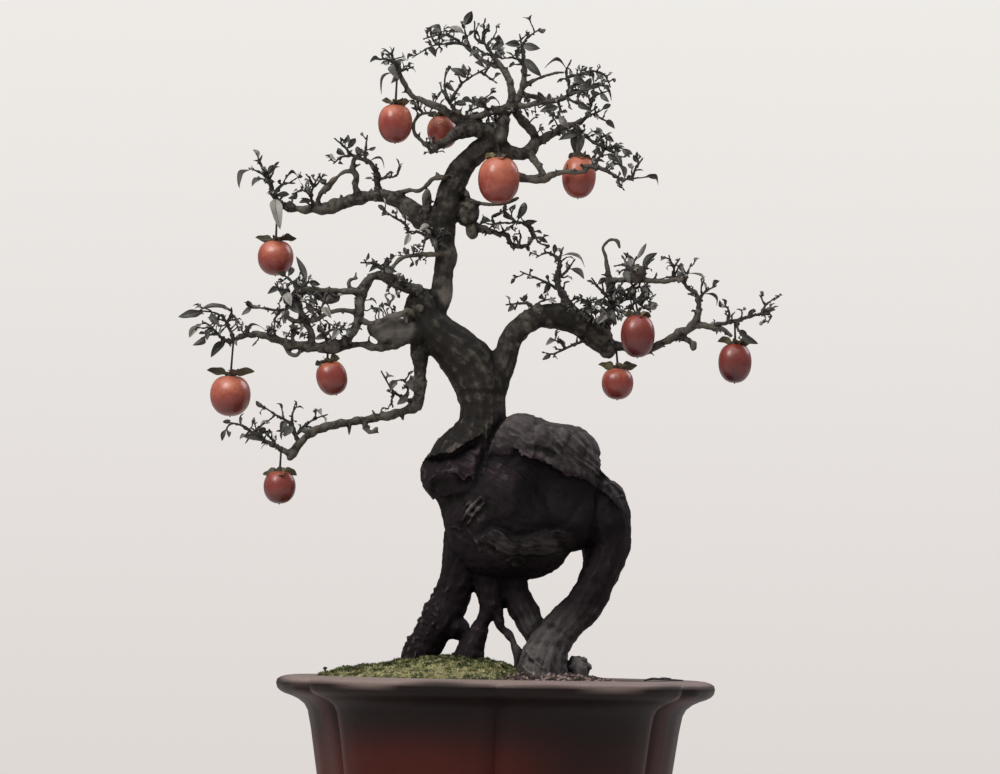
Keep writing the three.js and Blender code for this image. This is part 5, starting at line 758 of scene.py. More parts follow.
@dataclass(frozen=True)
class Blade:
    """Skin of a leathery leaf or a dry sepal, with a midrib and side veins along its own map."""

    name: str
    dark: str
    light: str
    faded_and_sheen: str
    vein: str
    roughness: float

    def make(self) -> bpy.types.Material:
        """Gives a veined skin whose tint follows the tone of each blade."""
        paint = Paint(self.name)
        shade = paint.math("MULTIPLY_ADD", paint.noise(260.0), 0.35, paint.stored("tone"))
        # The palest stop paints the sheen of the light on the glossy leaves
        skin = paint.ramp(shade, (0.2, self.dark), (0.85, self.light), (1.1, self.faded_and_sheen))
        flat = add_node(paint.tree, "ShaderNodeUVMap", uv_map="blade").outputs["UV"]
        across, along, _ = paint.axes(flat)
        off = paint.math("ABSOLUTE", paint.math("SUBTRACT", across, 0.5))
        midrib = paint.span(off, 0.07, 0.015)
        # The side veins slant forward from the midrib
        slant = paint.math("MULTIPLY_ADD", off, -0.9, along)
        wave = paint.math("SINE", paint.math("MULTIPLY", slant, 44.0))
        veins = paint.math("MAXIMUM", midrib, paint.span(wave, 0.75, 1.0, 0.0, 0.45))
        colour = paint.blend(veins, skin, self.vein)
        return paint.finish({"Base Color": colour, "Roughness": self.roughness}, veins, 0.4, 0.0003)


@dataclass(frozen=True)
class RipeSkin:
    """Waxy skin of a ripe berry: glossy, orange on its shoulder and wine red below, partly its own colour and partly
    painted light above and painted shade below.
    """

    shoulder: str = "#c5735a"
    flesh: str = "#8f3e35"
    below: str = "#4a1b20"
    russet: str = "#4d281d"

    def make(self) -> bpy.types.Material:
        """Gives a mottled, waxed skin whose colour follows the stored ripe value of each point, which holds painted
        light and shade as well as ripeness.
        """
        paint = Paint("ripe_berry_skin")
        # Blushes of about 12 mm, mottling of 2 mm and russet marks of about a millimetre
        blush = paint.noise(85.0)
        mottle = paint.noise(480.0, 4.0, 0.6)
        mixed = paint.math("MULTIPLY_ADD", blush, 0.45, paint.stored("ripe"))
        level = paint.math("MULTIPLY_ADD", mottle, 0.2, mixed)
        skin = paint.ramp(level, (0.3, self.below), (0.75, self.flesh), (1.1, self.shoulder))
        cells = {"Vector": paint.place, "Scale": 330.0, "Randomness": 1.0}
        marks = add_node(paint.tree, "ShaderNodeTexVoronoi", cells).outputs["Distance"]
        russet = paint.math("MULTIPLY", paint.span(marks, 0.16, 0.08), paint.span(blush, 0.5, 0.7))
        inputs = {
            "Base Color": paint.blend(russet, skin, self.russet),
            "Roughness": paint.span(mottle, 0.0, 1.0, 0.26, 0.44),
            "Coat Weight": 0.35,
            "Coat Roughness": 0.16,
            "Subsurface Weight": 0.12,
            "Subsurface Radius": (0.004, 0.0015, 0.0008),
        }
        return paint.finish(inputs, mottle, 0.12, 0.0003)


@dataclass(frozen=True)
class Crumbs:
    """Loose or living crumbs, such as moss shoots or fired clay grit, each with its own tone."""

    name: str
    stops: tuple[tuple[float, str], ...]
    patch_mm: float
    roughness: float = 0.9

    def make(self) -> bpy.types.Material:
        """Gives a matt material whose colour runs through the stops by tone and by patch."""
        paint = Paint(self.name)
        mixed = paint.math("MULTIPLY_ADD", paint.noise(1000 / self.patch_mm), 0.9, paint.stored("tone"))
        inputs = {"Base Color": paint.ramp(mixed, *self.stops), "Roughness": self.roughness,
                  "Specular IOR Level": 0.25}
        return paint.finish(inputs, paint.noise(700.0), 0.7, 0.0008)


@dataclass(frozen=True)
class Backdrop:
    """Matt pale paper of the studio floor."""

    colour: str = "#cfc8c4"

    def make(self) -> bpy.types.Material:
        """Gives a plain matt surface with a faint fibre."""
        paint = Paint("studio_paper")
        inputs = {"Base Color": linear(self.colour), "Roughness": 0.95}
        return paint.finish(inputs, paint.noise(300.0, 2.0), 0.05, 0.0002)


def deselect() -> None:
    """Leaves nothing selected."""
    bpy.ops.object.select_all(action="DESELECT")


def clamp(value: float) -> float:
    """Keeps a number between 0 and 1."""
    return min(1.0, max(0.0, value))


def drawn(draw: Callable[[float, float], float], *ranges: tuple[float, float]) -> Vector:
    """Draws the parts of a vector one after another, each from its own pair of numbers."""
    return Vector([draw(*pair) for pair in ranges])


def add_object(name: str, data: bpy.types.ID) -> bpy.types.Object:
    """Adds an object with its data to the scene."""
    obj = bpy.data.objects.new(name, data)
    bpy.context.scene.collection.objects.link(obj)
    return obj


def primitive(add: Callable[..., Any], **settings: Any) -> bpy.types.Object:
    """Adds a primitive as the only selected object, with its place in its mesh.

    Args:
        add: Operator that adds it.
        **settings: The operator's own settings.

    Returns:
        The new object.
    """
    deselect()
    add(**settings)
    bpy.ops.object.transform_apply(location=True, rotation=True, scale=True)
    return bpy.context.object


def take(obj: bpy.types.Object) -> bpy.types.Object:
    """Selects one object alone and makes it the active one."""
    deselect()
    obj.select_set(True)
    bpy.context.view_layer.objects.active = obj
    return obj


def modify(obj: bpy.types.Object, kind: str, **settings: Any) -> None:
    """Adds a modifier and applies it.

    Args:
        obj: Object that is changed.
        kind: Blender's name of the modifier type.
        **settings: Properties of the modifier.
    """
    take(obj)
    modifier = obj.modifiers.new(kind.lower(), kind)
    for name, value in settings.items():
        setattr(modifier, name, value)
    bpy.ops.object.modifier_apply(modifier=modifier.name)


def merged(parts: Sequence[bpy.types.Object], name: str) -> bpy.types.Object:
    """Joins objects into the first of them.

    Args:
        parts: Objects to join.
        name: Name of the whole.

    Returns:
        The joined object.
    """
    whole = take(parts[0])
    for part in parts[1:]:
        part.select_set(True)
    if len(parts) > 1:
        bpy.ops.object.join()
    whole.name = name
    whole.data.name = name
    return whole


def vertices_of(mesh: bpy.types.Mesh) -> np.ndarray:
    """Gives the places of a mesh's vertices, one row each."""
    flat = np.empty(len(mesh.vertices) * 3, dtype=np.float64)
    mesh.vertices.foreach_get("co", flat)
    return flat.reshape(-1, 3)


def normals_of(mesh: bpy.types.Mesh) -> np.ndarray:
    """Gives the normals of a mesh's vertices, one row each."""
    flat = np.empty(len(mesh.vertices) * 3)
    mesh.vertices.foreach_get("normal", flat)
    return flat.reshape(-1, 3)


def place_vertices(mesh: bpy.types.Mesh, places: np.ndarray) -> None:
    """Moves a mesh's vertices to the given rows."""
    mesh.vertices.foreach_set("co", np.ascontiguousarray(places, dtype=np.float64).ravel())
    mesh.update()


def set_attribute(mesh: bpy.types.Mesh, name: str, values: Iterable[float]) -> None:
    """Stores one number for each vertex under the given name."""
    layer = mesh.attributes.new(name, "FLOAT", "POINT")
    layer.data.foreach_set("value", np.fromiter(values, dtype=np.float32, count=len(mesh.vertices)))


def finish_piece(obj: bpy.types.Object, slot: Slot, materials: Sequence[bpy.types.Material],
                 nodes: Sequence[str] = (), angle: float | None = 50.0) -> None:
    """Dresses a finished piece and ties it to the part.

    Args:
        obj: The finished piece, with its place in its mesh.
        slot: Material slot of the record that gives its finish; not used.
        materials: Materials in the order of the mesh's material numbers.
        nodes: Solid nodes that the piece stands for.
        angle: Largest angle in degrees that is shaded smooth, or None for flat faces.
    """
    obj.data.materials.clear()
    for material in materials:
        obj.data.materials.append(material)
    take(obj)
    if angle is not None:
        bpy.ops.object.shade_smooth_by_angle(angle=math.radians(angle))
    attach(obj, "root")
    if nodes:
        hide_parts(*nodes)
    deselect()
    log.info("%s: %d faces", obj.name, len(obj.data.polygons))


def smooth_curve(points: Points, per_span: int) -> Strand:
    """Samples a centripetal curve through points.

    Args:
        points: Rows of x, y, z and radius, in millimetres.
        per_span: Samples in each stretch between two points.

    Returns:
        Places and radii along the curve.
    """
    rows = [Vector(p[:3]) for p in points]
    ends = [rows[0] * 2 - rows[1], *rows, rows[-1] * 2 - rows[-2]]
    samples: Strand = []
    for i in range(len(rows) - 1):
        p0, p1, p2, p3 = ends[i : i + 4]
        t0, t1, t2 = (max((b - a).length, 1e-4) ** 0.5 for a, b in ((p0, p1), (p1, p2), (p2, p3)))
        start = ((p1 - p0) / t0 - (p2 - p0) / (t0 + t1) + (p2 - p1) / t1) * t1
        end = ((p2 - p1) / t1 - (p3 - p1) / (t1 + t2) + (p3 - p2) / t2) * t1
        count = per_span + (1 if i == len(rows) - 2 else 0)
        for step in range(count):
            t = step / per_span
            spot = p1 + start * t + (p1 * -3 + p2 * 3 - start * 2 - end) * t**2
            spot += (p1 * 2 - p2 * 2 + start + end) * t**3
            samples.append((spot, points[i][3] * (1 - t) + points[i + 1][3] * t))
    return samples


def tubes(strands: Sequence[Strand], name: str, roundness: int = 1) -> bpy.types.Object:
    """Models round stems along strands as a bevelled curve, turned to a closed mesh.

    Args:
        strands: Places and radii in millimetres, one list for each stem.
        name: Name of the object.
        roundness: Resolution of the bevel; a stem has twice as many sides plus four.

    Returns:
        The mesh object.
    """
    curve = bpy.data.curves.new(name, "CURVE")
    curve.dimensions = "3D"
    curve.bevel_depth = MM
    curve.bevel_resolution = roundness
    curve.use_fill_caps = True
    for strand in strands:
        spline = curve.splines.new("POLY")
        spline.points.add(len(strand) - 1)
        for point, (place, radius) in zip(spline.points, strand):
            point.co = (*(place * MM), 1.0)
            point.radius = radius
    take(add_object(name, curve))
    bpy.ops.object.convert(target="MESH")
    return bpy.context.view_layer.objects.active


@dataclass
class Shape:
    """A small shape, modelled once: its vertices, faces and place on its own map."""

    points: list[Vector]
    faces: list[tuple[int, ...]]
    flat: list[tuple[float, float]] = field(default_factory=list)

    @classmethod
    def read(cls, obj: bpy.types.Object) -> "Shape":
        """Takes a modelled object's mesh as a shape and removes the object."""
        mesh = obj.data
        points = [v.co.copy() for v in mesh.vertices]
        faces = [tuple(p.vertices) for p in mesh.polygons]
        bpy.data.objects.remove(obj)
        bpy.data.meshes.remove(mesh)
        return cls(points, faces)


class Gathering:
    """Copies of small shapes in one mesh, each with its own tone."""

    def __init__(self, name: str) -> None:
        """Starts an empty gathering under the name of its object."""
        self.name = name
        self.points: list[Vector] = []
        self.faces: list[tuple[int, ...]] = []
        self.flat: list[tuple[float, float]] = []
        self.tones: list[float] = []

    def add(self, shape: Shape, move: Callable[[Vector], Vector], tone: float = 0.5) -> None:
        """Adds a copy of a shape.

        Args:
            shape: The modelled shape.
            move: Takes a vertex of the shape to its place in millimetres.
            tone: Tint of this copy, from 0 to 1.
        """
        first = len(self.points)
        self.points += [move(point) for point in shape.points]
        self.faces += [tuple(i + first for i in face) for face in shape.faces]
        self.flat += shape.flat or [(0.5, 0.5)] * len(shape.points)
        self.tones += [tone] * len(shape.points)

    def make(self) -> bpy.types.Object:
        """Builds the mesh object, with its map and tones.

        Returns:
            The new object.
        """
        mesh = bpy.data.meshes.new(self.name)
        mesh.from_pydata([p * MM for p in self.points], [], self.faces)
        layer = mesh.uv_layers.new(name="blade")
        corners = [self.flat[loop.vertex_index] for loop in mesh.loops]
        layer.data.foreach_set("uv", [c for corner in corners for c in corner])
        set_attribute(mesh, "tone", self.tones)
        return add_object(self.name, mesh)


class Shapes:
    """The small shapes that the tree, the moss and the soil repeat."""

    def __init__(self) -> None:
        """Models each shape once."""
        self.blade = self.model_blade()
        self.bud = self.model_bud()
        self.shoot = self.model_shoot()
        self.crumb = self.model_crumb()

    def model_blade(self) -> Shape:
        """Models a leaf's thin sheet as a grid with a thickness.

        Returns:
            The sheet from x -1 to 1 across and y 0 to 1 along.
        """
        sheet = primitive(bpy.ops.mesh.primitive_grid_add, x_subdivisions=4, y_subdivisions=9, size=2)
        modify(sheet, "SOLIDIFY", thickness=0.3, offset=0.0)
        shape = Shape.read(sheet)
        shape.points = [Vector((p.x, (p.y + 1) / 2, p.z)) for p in shape.points]
        shape.flat = [(p.x / 2 + 0.5, p.y) for p in shape.points]
        return shape

    def model_bud(self) -> Shape:
        """Models a pointed bud with its scales, standing on the origin."""
        bud = primitive(bpy.ops.mesh.primitive_uv_sphere_add, segments=6, ring_count=5, radius=1)
        for vertex in bud.data.vertices:
            rise = (vertex.co.z + 1) / 2
            vertex.co.x *= 1 - 0.45 * rise
            vertex.co.y *= 1 - 0.45 * rise
            vertex.co.z = rise * 2.4
        return Shape.read(bud)

    def model_shoot(self) -> Shape:
        """Models a moss shoot: three pointed leaves that lean out from one foot."""
        leaves = []
        for number in range(3):
            leaf = primitive(bpy.ops.mesh.primitive_cone_add, vertices=3, radius1=0.24, depth=1.15,
                             location=(0, 0, 0.57))
            leaf.data.transform(Euler((0.0, 0.6, number * 2.1)).to_matrix().to_4x4())
            leaves.append(leaf)
        return Shape.read(merged(leaves, "shoot"))

    def model_crumb(self) -> Shape:
        """Models an uneven crumb of fired clay."""
        crumb = primitive(bpy.ops.mesh.primitive_ico_sphere_add, subdivisions=2, radius=1)
        for vertex in crumb.data.vertices:
            vertex.co *= 1 + 0.28 * noise.noise(vertex.co * 1.7)
        modify(crumb, "DECIMATE", ratio=0.45)
        return Shape.read(crumb)


def lay_blade(root: Vector, tip: Vector, width: float, lift: float, turn: float,
              habit: random.Random, ovate: float = 1.0, curl: float = 1.0) -> Callable[[Vector], Vector]:
    """Finds how a blade lies between its root and its tip.

    Args:
        root: Foot of the stalk, in millimetres.
        tip: Point of the blade.
        width: Greatest width.
        lift: Height of the arch.
        turn: Degrees about the blade's length; 0 shows its face to the front.
        habit: Source of the blade's own curl.
        ovate: How far the widest place lies towards the root; 1 is a leaf of even shape.
        curl: Share of the usual curl.

    Returns:
        A function that takes a point of the flat sheet to its place.
    """
    along = tip - root
    length = along.length
    along = along / length
    front = UP if abs(along.dot(FRONT)) > 0.95 else FRONT
    side = along.cross(front).normalized()
    side = Quaternion(along, math.radians(turn)) @ side
    normal = along.cross(side)
    sign = -1.0 if normal.z < 0 else 1.0
    fold = habit.uniform(0.25, 0.95)
    ripple = habit.uniform(0.05, 0.16) * width
    phase = habit.uniform(0, 6.28)
    droop = habit.uniform(0.0, 0.55) * length * (curl > 0.9)
    arch = lift + habit.uniform(0.0, 0.16) * length * (curl > 0.9)
    swerve = habit.uniform(-0.14, 0.14) * length * curl
    twist = habit.uniform(-0.7, 0.7) * curl
    stalk = min(0.14, 2.2 / length)

    def move(point: Vector) -> Vector:
        """Places one point of the sheet."""
        share = point.y
        reach = max(0.0, (share - stalk) / (1 - stalk))
        breadth = math.sin(math.pi * reach ** (0.82 * ovate)) ** 0.72 if 0 < reach < 1 else 0.0
        half = max(0.35 * (1 - 0.6 * share), breadth * width / 2)
        turned = twist * (share - 0.5)
        across = point.x * half
        height = fold * abs(across) - 0.32 * breadth + ripple * math.sin(9 * share + phase) * abs(point.x) * breadth
        height += point.z * (1.6 if share < stalk else 1.0) + across * turned
        bend = arch * math.sin(math.pi * share) - droop * max(0.0, share - 0.5) ** 2
        across += swerve * math.sin(math.pi * share)
        return root + along * (length * share) + side * (sign * across) + normal * (sign * (bend + height))

    return move


def nearest_on(lines: Sequence[Strand], spot: Vector) -> Vector:
    """Finds the point of some strands that lies nearest to a spot.

    Args:
        lines: Strands of places and radii.
        spot: Any place.

    Returns:
        The nearest place.
    """
    best = lines[0][0][0]
    for line in lines:
        for (a, _), (b, _) in zip(line, line[1:]):
            stretch = b - a
            place = a + stretch * clamp((spot - a).dot(stretch) / max(stretch.length_squared, 1e-9))
            if (place - spot).length < (best - spot).length:
                best = place
    return best


def sample_limbs(rows: Sequence[Points]) -> list[Strand]:
    """Samples limbs from their table."""
    return [smooth_curve(points, SAMPLES) for points in rows]


@dataclass
class Spray:
    """A leafy twig group of the crown, with its short spurs and buds."""

    name: str
    twigs: Sequence[Sequence[Any]]
    leaves: Sequence[Sequence[Any]]
    seed: int
    tip_radius: float = 0.45
    spur_gap: float = 4.6
    # A tangle's shoots start between these distances from a twig, on limbs that pass within its reach
    tangle_span: tuple[float, float] = (2.0, 9.5)
    tangle_reach: float = 20.0
    leaf_share: float = 0.74
    spurs: list[Strand] = field(default_factory=list)
    tangles: list[Sequence[Any]] = field(default_factory=list)

    def lines(self) -> list[Strand]:
        """Samples the twigs, each later one from the nearest earlier one.

        Returns:
            Strands that taper to their tips.
        """
        found: list[Strand] = []
        for radius, start, *points in self.twigs:
            root = nearest_on(found, Vector(start)) if found else Vector(start)
            rows = [list(root), *points]
            last = len(rows) - 1
            tapered = [[*row, radius * (1 - i / last) + min(radius, self.tip_radius) * i / last]
                       for i, row in enumerate(rows)]
            found.append(smooth_curve(tapered, SAMPLES))
        return found

    def knotted(self, line: Strand, habit: random.Random) -> Strand:
        """Gives a twig swollen nodes and a slightly crooked run.

        Args:
            line: Even strand.
            habit: Source of the swellings.

        Returns:
            The uneven strand.
        """
        uneven: Strand = []
        for i, (place, radius) in enumerate(line):
            swell = 1 + (habit.uniform(0.25, 0.6) if i % 4 == 2 else habit.uniform(-0.12, 0.12))
            shift = drawn(habit.uniform, (-1, 1), (-1, 1), (-1, 1)) * 0.28 * radius
            uneven.append((place + (shift if i else Vector()), radius * swell))
        return uneven

    def grow_spurs(self, lines: Sequence[Strand], habit: random.Random) -> None:
        """Adds short side shoots along the twigs.

        Args:
            lines: The twigs.
            habit: Source of their places.
        """
        for line in lines:
            walked = habit.uniform(0, self.spur_gap)
            for (a, ra), (b, _) in zip(line, line[1:]):
                walked += (b - a).length
                if walked < self.spur_gap:
                    continue
                walked = habit.uniform(-2.5, 1.0)
                along = (b - a).normalized()
                around = drawn(habit.gauss, (0, 1), (0, 0.8), (0.35, 1))
                outward = (around - along * around.dot(along)).normalized()
                length = habit.uniform(1.6, 4.6) if habit.random() < 0.7 else habit.uniform(5.5, 10.0)
                aim = (outward + along * habit.uniform(0.1, 0.9)).normalized()
                self.spurs.append(self.spur(a, aim, length, min(ra, 0.8), habit))

    def grow_tangles(self, lines: Sequence[Strand], habit: random.Random) -> None:
        """Adds the fine bent shoots of the tangles.

        Args:
            lines: The twigs and the limbs near them.
            habit: Source of their places.
        """
        for centre, radii, count in self.tangles:
            for _ in range(count):
                spot = Vector([c + r * habit.uniform(-1, 1) for c, r in zip(centre, radii)])
                foot = nearest_on(lines, spot)
                away = (foot - spot).length
                if not self.tangle_span[0] < away < self.tangle_span[1]:
                    continue
                bend = drawn(habit.uniform, (-1, 1), (-1, 1), (-1, 1)) * away * 0.3
                rows = [[*foot, 0.6], [*(foot.lerp(spot, 0.5) + bend), 0.5], [*spot, 0.42]]
                self.spurs.append(smooth_curve(rows, 3))

    def spur(self, foot: Vector, aim: Vector, length: float, radius: float, habit: random.Random) -> Strand:
        """Bends a side shoot.

        Args:
            foot: Its place on the twig.
            aim: Its first direction.
            length: Its length in millimetres.
            radius: Its radius at the foot.
            habit: Source of its bends.

        Returns:
            The side shoot's strand.
        """
        strand: Strand = [(foot, radius)]
        steps = max(2, round(length / 1.8))
        place = foot
        for step in range(1, steps + 1):
            swerve = drawn(habit.uniform, (-1, 1), (-1, 1), (-0.6, 1)) * 0.38
            aim = (aim + swerve).normalized()
            place = place + aim * length / steps
            swell = 1.35 if step % 2 else 0.95
            strand.append((place, max(0.42, radius * (1 - 0.5 * step / steps)) * swell))
        return strand

    def build(self, shapes: Shapes, limbs: Sequence[Strand], bark: bpy.types.Material,
              skin: bpy.types.Material) -> None:
        """Models the spray's wood and its leaves.

        Args:
            shapes: The modelled blade and bud.
            limbs: The limbs of the tree.
            bark: Material of the twigs.
            skin: Material of the leaves.
        """
        habit = random.Random(self.seed)
        lines = self.lines()
        self.grow_spurs(lines, habit)
        near = [limb for limb in limbs for centre, *_ in self.tangles
                if (nearest_on([limb], Vector(centre)) - Vector(centre)).length < self.tangle_reach]
        self.grow_tangles([*lines, *near], habit)
        wood = tubes([*(self.knotted(line, habit) for line in lines), *self.spurs], f"{self.name}_wood")
        buds = Gathering(f"{self.name}_buds")
        leaves = Gathering(f"{self.name}_leaves")
        for line in [*lines, *self.spurs]:
            end, before = line[-1][0], line[-2][0]
            self.add_bud(buds, shapes.bud, end, end - before, habit)
        for line in lines:
            for i in range(3, len(line) - 1, 4):
                outward = drawn(habit.gauss, (0, 1), (0, 1), (0.3, 1))
                place = line[i][0] + outward.normalized() * line[i][1] * 0.7
                self.add_bud(buds, shapes.bud, place, outward, habit)
        for start, tip, width, lift, turn in self.leaves:
            root = nearest_on(lines, Vector(start))
            leaves.add(shapes.blade, lay_blade(root, Vector(tip), width * self.leaf_share, lift, turn, habit),
                       habit.random() ** 1.5)
        for spur in self.spurs:
            for _ in range(habit.choice((1, 1, 2, 2, 3))):
                self.add_young_leaf(leaves, shapes.blade, spur, habit)
        piece = merged([wood, buds.make()], f"{self.name}_wood")
        finish_piece(piece, Slot.BARK, [bark], [self.name])
        finish_piece(leaves.make(), Slot.FOLIAGE, [skin], [self.name])

    def add_bud(self, buds: Gathering, bud: Shape, place: Vector, aim: Vector, habit: random.Random) -> None:
        """Adds a bud that points along aim.

        Args:
            buds: Gathering that takes it.
            bud: The modelled bud.
            place: Its foot, in millimetres.
            aim: Where it points.
            habit: Source of its size.
        """
        turn = UP.rotation_difference(aim)
        size = habit.uniform(0.5, 0.95)
        buds.add(bud, lambda p: place + turn @ (p * size) - aim.normalized() * 0.3)

    def add_young_leaf(self, leaves: Gathering, blade: Shape, spur: Strand, habit: random.Random) -> None:
        """Adds a small leaf at the end of a spur.

        Args:
            leaves: Gathering that takes it.
            blade: The modelled blade.
            spur: The side shoot that carries it.
            habit: Source of its size and lie.
        """
        root = spur[habit.choice((-1, -1, -2))][0]
        aim = (root - spur[0][0]).normalized() + drawn(habit.uniform, (-0.9, 0.9), (-0.9, 0.6), (-0.7, 0.9))
        tip = root + aim.normalized() * habit.uniform(2.8, 6.8)
        leaves.add(blade, lay_blade(root, tip, habit.uniform(1.4, 3.2), 0.5, habit.uniform(-90, 90), habit),
                   habit.random() ** 1.3)


@dataclass
class Tree:
    """The wood of the tree, grown as one, from the roots to the bare branches."""

    voxel: float = 1.0
    triangles: int = 196_000
    seed: int = 7
    cords: int = 70
    burrs_each: int = 16
    thickest_knobby: float = 9.5
    crest_rounds: int = 14
    # Height below which the wood is the broad base, whose face is carved
    base_top: float = 350.0

    def crooked(self, strand: Strand, habit: random.Random) -> Strand:
        """Roughens a limb: swellings, dents and a slightly uneven run, more of it on thin limbs.

        Args:
            strand: Even limb.
            habit: Source of the unevenness.

        Returns:
            The uneven limb.
        """
        phase = habit.uniform(0, 50)
        uneven: Strand = []
        walked = 0.0
        for i, (place, radius) in enumerate(strand):
            walked += (place - strand[i - 1][0]).length / (2.1 * radius) if i else 0.0
            thin = min(1.0, 4.5 / radius)
            swell = 1.03 - 0.03 * (radius > 9) + 0.42 * thin * noise.noise(Vector((walked + phase, phase, 0)))
            shift = noise.noise_vector(place * 0.16 + Vector((phase, 0, 0))) * min(radius, 3.0) * 0.34
            uneven.append((place + shift, radius * swell))
        (first, r0), (last, r1) = uneven[0], uneven[-1]
        back = (first - uneven[1][0]).normalized()
        on = (last - uneven[-2][0]).normalized()
        head = [(first + back * r0 * 0.85, r0 * 0.3), (first + back * r0 * 0.5, r0 * 0.8)]
        tail = [(last + on * r1 * 0.5, r1 * 0.8), (last + on * r1 * 0.85, r1 * 0.3)]
        return [*head, *uneven, *tail]

    def knobs(self, strands: Sequence[Strand], habit: random.Random) -> list[Strand]:
        """Makes the scars, knobs and cut stubs of the branches.

        Args:
            strands: The limbs.
            habit: Source of their places.

        Returns:
            Short strands that stand on the limbs.
        """
        found: list[Strand] = []
        for strand in strands:
            walked = 0.0
            gap = habit.uniform(3, 6)
            for (a, radius), (b, _) in zip(strand, strand[1:]):
                walked += (b - a).length
                if walked < gap or radius > self.thickest_knobby:
                    continue
                walked, gap = 0.0, habit.uniform(2.6, 6.5)
                along = (b - a).normalized()
                around = drawn(habit.gauss, (0, 1), (0, 1), (0.1, 1))
                outward = (around - along * around.dot(along)).normalized()
                if habit.random() < 0.55:
                    size = radius * habit.uniform(0.5, 0.75)
                    end = a + outward * (radius * 0.75)
                    found.append([(a, size), (end, size), (end + outward * size * 0.5, size * 0.55)])
                else:
                    size = max(0.75, radius * habit.uniform(0.22, 0.4))
                    length = habit.uniform(2.2, 5.5)
                    start = a + outward * radius * 0.6
                    aim = (outward + along * habit.uniform(-0.3, 0.8)).normalized()
                    found.append([(start, size * 1.2), (start + aim * length * 0.6, size), (start + aim * length, 0.7)])
        return found

    def swellings(self) -> list[bpy.types.Object]:
        """Models the swellings of the base and the trunk as rounded boxes."""
        parts = []
        for centre, radii, squareness in [*BASE_LUMPS, *LUMPS]:
            lump = primitive(bpy.ops.mesh.primitive_uv_sphere_add, segments=48, ring_count=32, radius=1)
            places = vertices_of(lump.data)
            total = (np.abs(places) ** squareness).sum(axis=1, keepdims=True) ** (1 / squareness)
            x, y, z = places.T
            uneven = 1 + 0.025 * np.sin(5 * x + 3 * z) + 0.02 * np.sin(7 * y + 2 * x)
            places = places / total * uneven[:, None] * np.array(radii) + np.array(centre)
            place_vertices(lump.data, places * MM)
            parts.append(lump)
        return parts

    def burrs(self, habit: random.Random) -> list[Strand]:
        """Makes the small bumps that cover the knobs and stumps."""
        found: list[Strand] = []
        for centre, radii, _ in LUMPS:
            for _ in range(self.burrs_each):
                aim = drawn(habit.gauss, (0, 1), (0, 1), (0, 1)).normalized()
                spot = Vector(centre) + Vector([a * r for a, r in zip(aim, radii)]) * 0.84
                size = min(radii) * habit.uniform(0.16, 0.34)
                found.append([(spot, size), (spot + aim * size, size * 0.75)])
        return found

    def surface(self, wood: bpy.types.Object) -> BVHTree:
        """Makes a search tree of the wood's present surface."""
        mesh = wood.data
        return BVHTree.FromPolygons([v.co for v in mesh.vertices], [tuple(p.vertices) for p in mesh.polygons])

    def grain_field(self, strands: Sequence[Strand]) -> Grain:
        """Gathers the direction in which the wood grows at many places.

        Args:
            strands: All limbs.

        Returns:
            A search tree over the places, their directions, the limb radii, and each place in
            metres with its distance along the limb.
        """
        lines = list(strands)
        for points in GRAIN_LINES:
            lines.append(smooth_curve([[*p, 20.0] for p in points], 8))
        samples = []
        for number, line in enumerate(lines):
            walked = number * 0.37
            for (a, radius), (b, _) in zip(line, line[1:]):
                samples.append((a * MM, (b - a).normalized(), radius, walked))
                walked += (b - a).length * MM
        tree = kdtree.KDTree(len(samples))
        for index, sample in enumerate(samples):
            tree.insert(sample[0], index)
        tree.balance()
        return tree, [s[1] for s in samples], [s[2] for s in samples], [(s[0], s[3]) for s in samples]

    def front_ridges(self, surface: BVHTree) -> list[Strand]:
        """Lays the listed cords and folds on the face of the base.

        Args:
            surface: Search tree of the wood.

        Returns:
            Strands half sunk in the wood.
        """
        found: list[Strand] = []
        for radius, points in FRONT_RIDGES:
            flat = smooth_curve([[x, 0, z, radius] for x, z in points], 6)
            strand: Strand = []
            for i, (place, _) in enumerate(flat):
                start = Vector((place.x, -90.0, place.z)) * MM
                spot, _, _, _ = surface.ray_cast(start, Vector((0, 1, 0)))
                if spot is not None:
                    taper = math.sin(math.pi * (i + 1) / (len(flat) + 1)) ** 0.4
                    uneven = 1 + 0.25 * noise.noise(spot * 220)
                    proud = 0.3 if spot.z > 0.3 else -0.35
                    strand.append((spot / MM + Vector((0, proud * radius, 0)), radius * taper * uneven))
            if len(strand) > 2:
                found.append(strand)
        return found

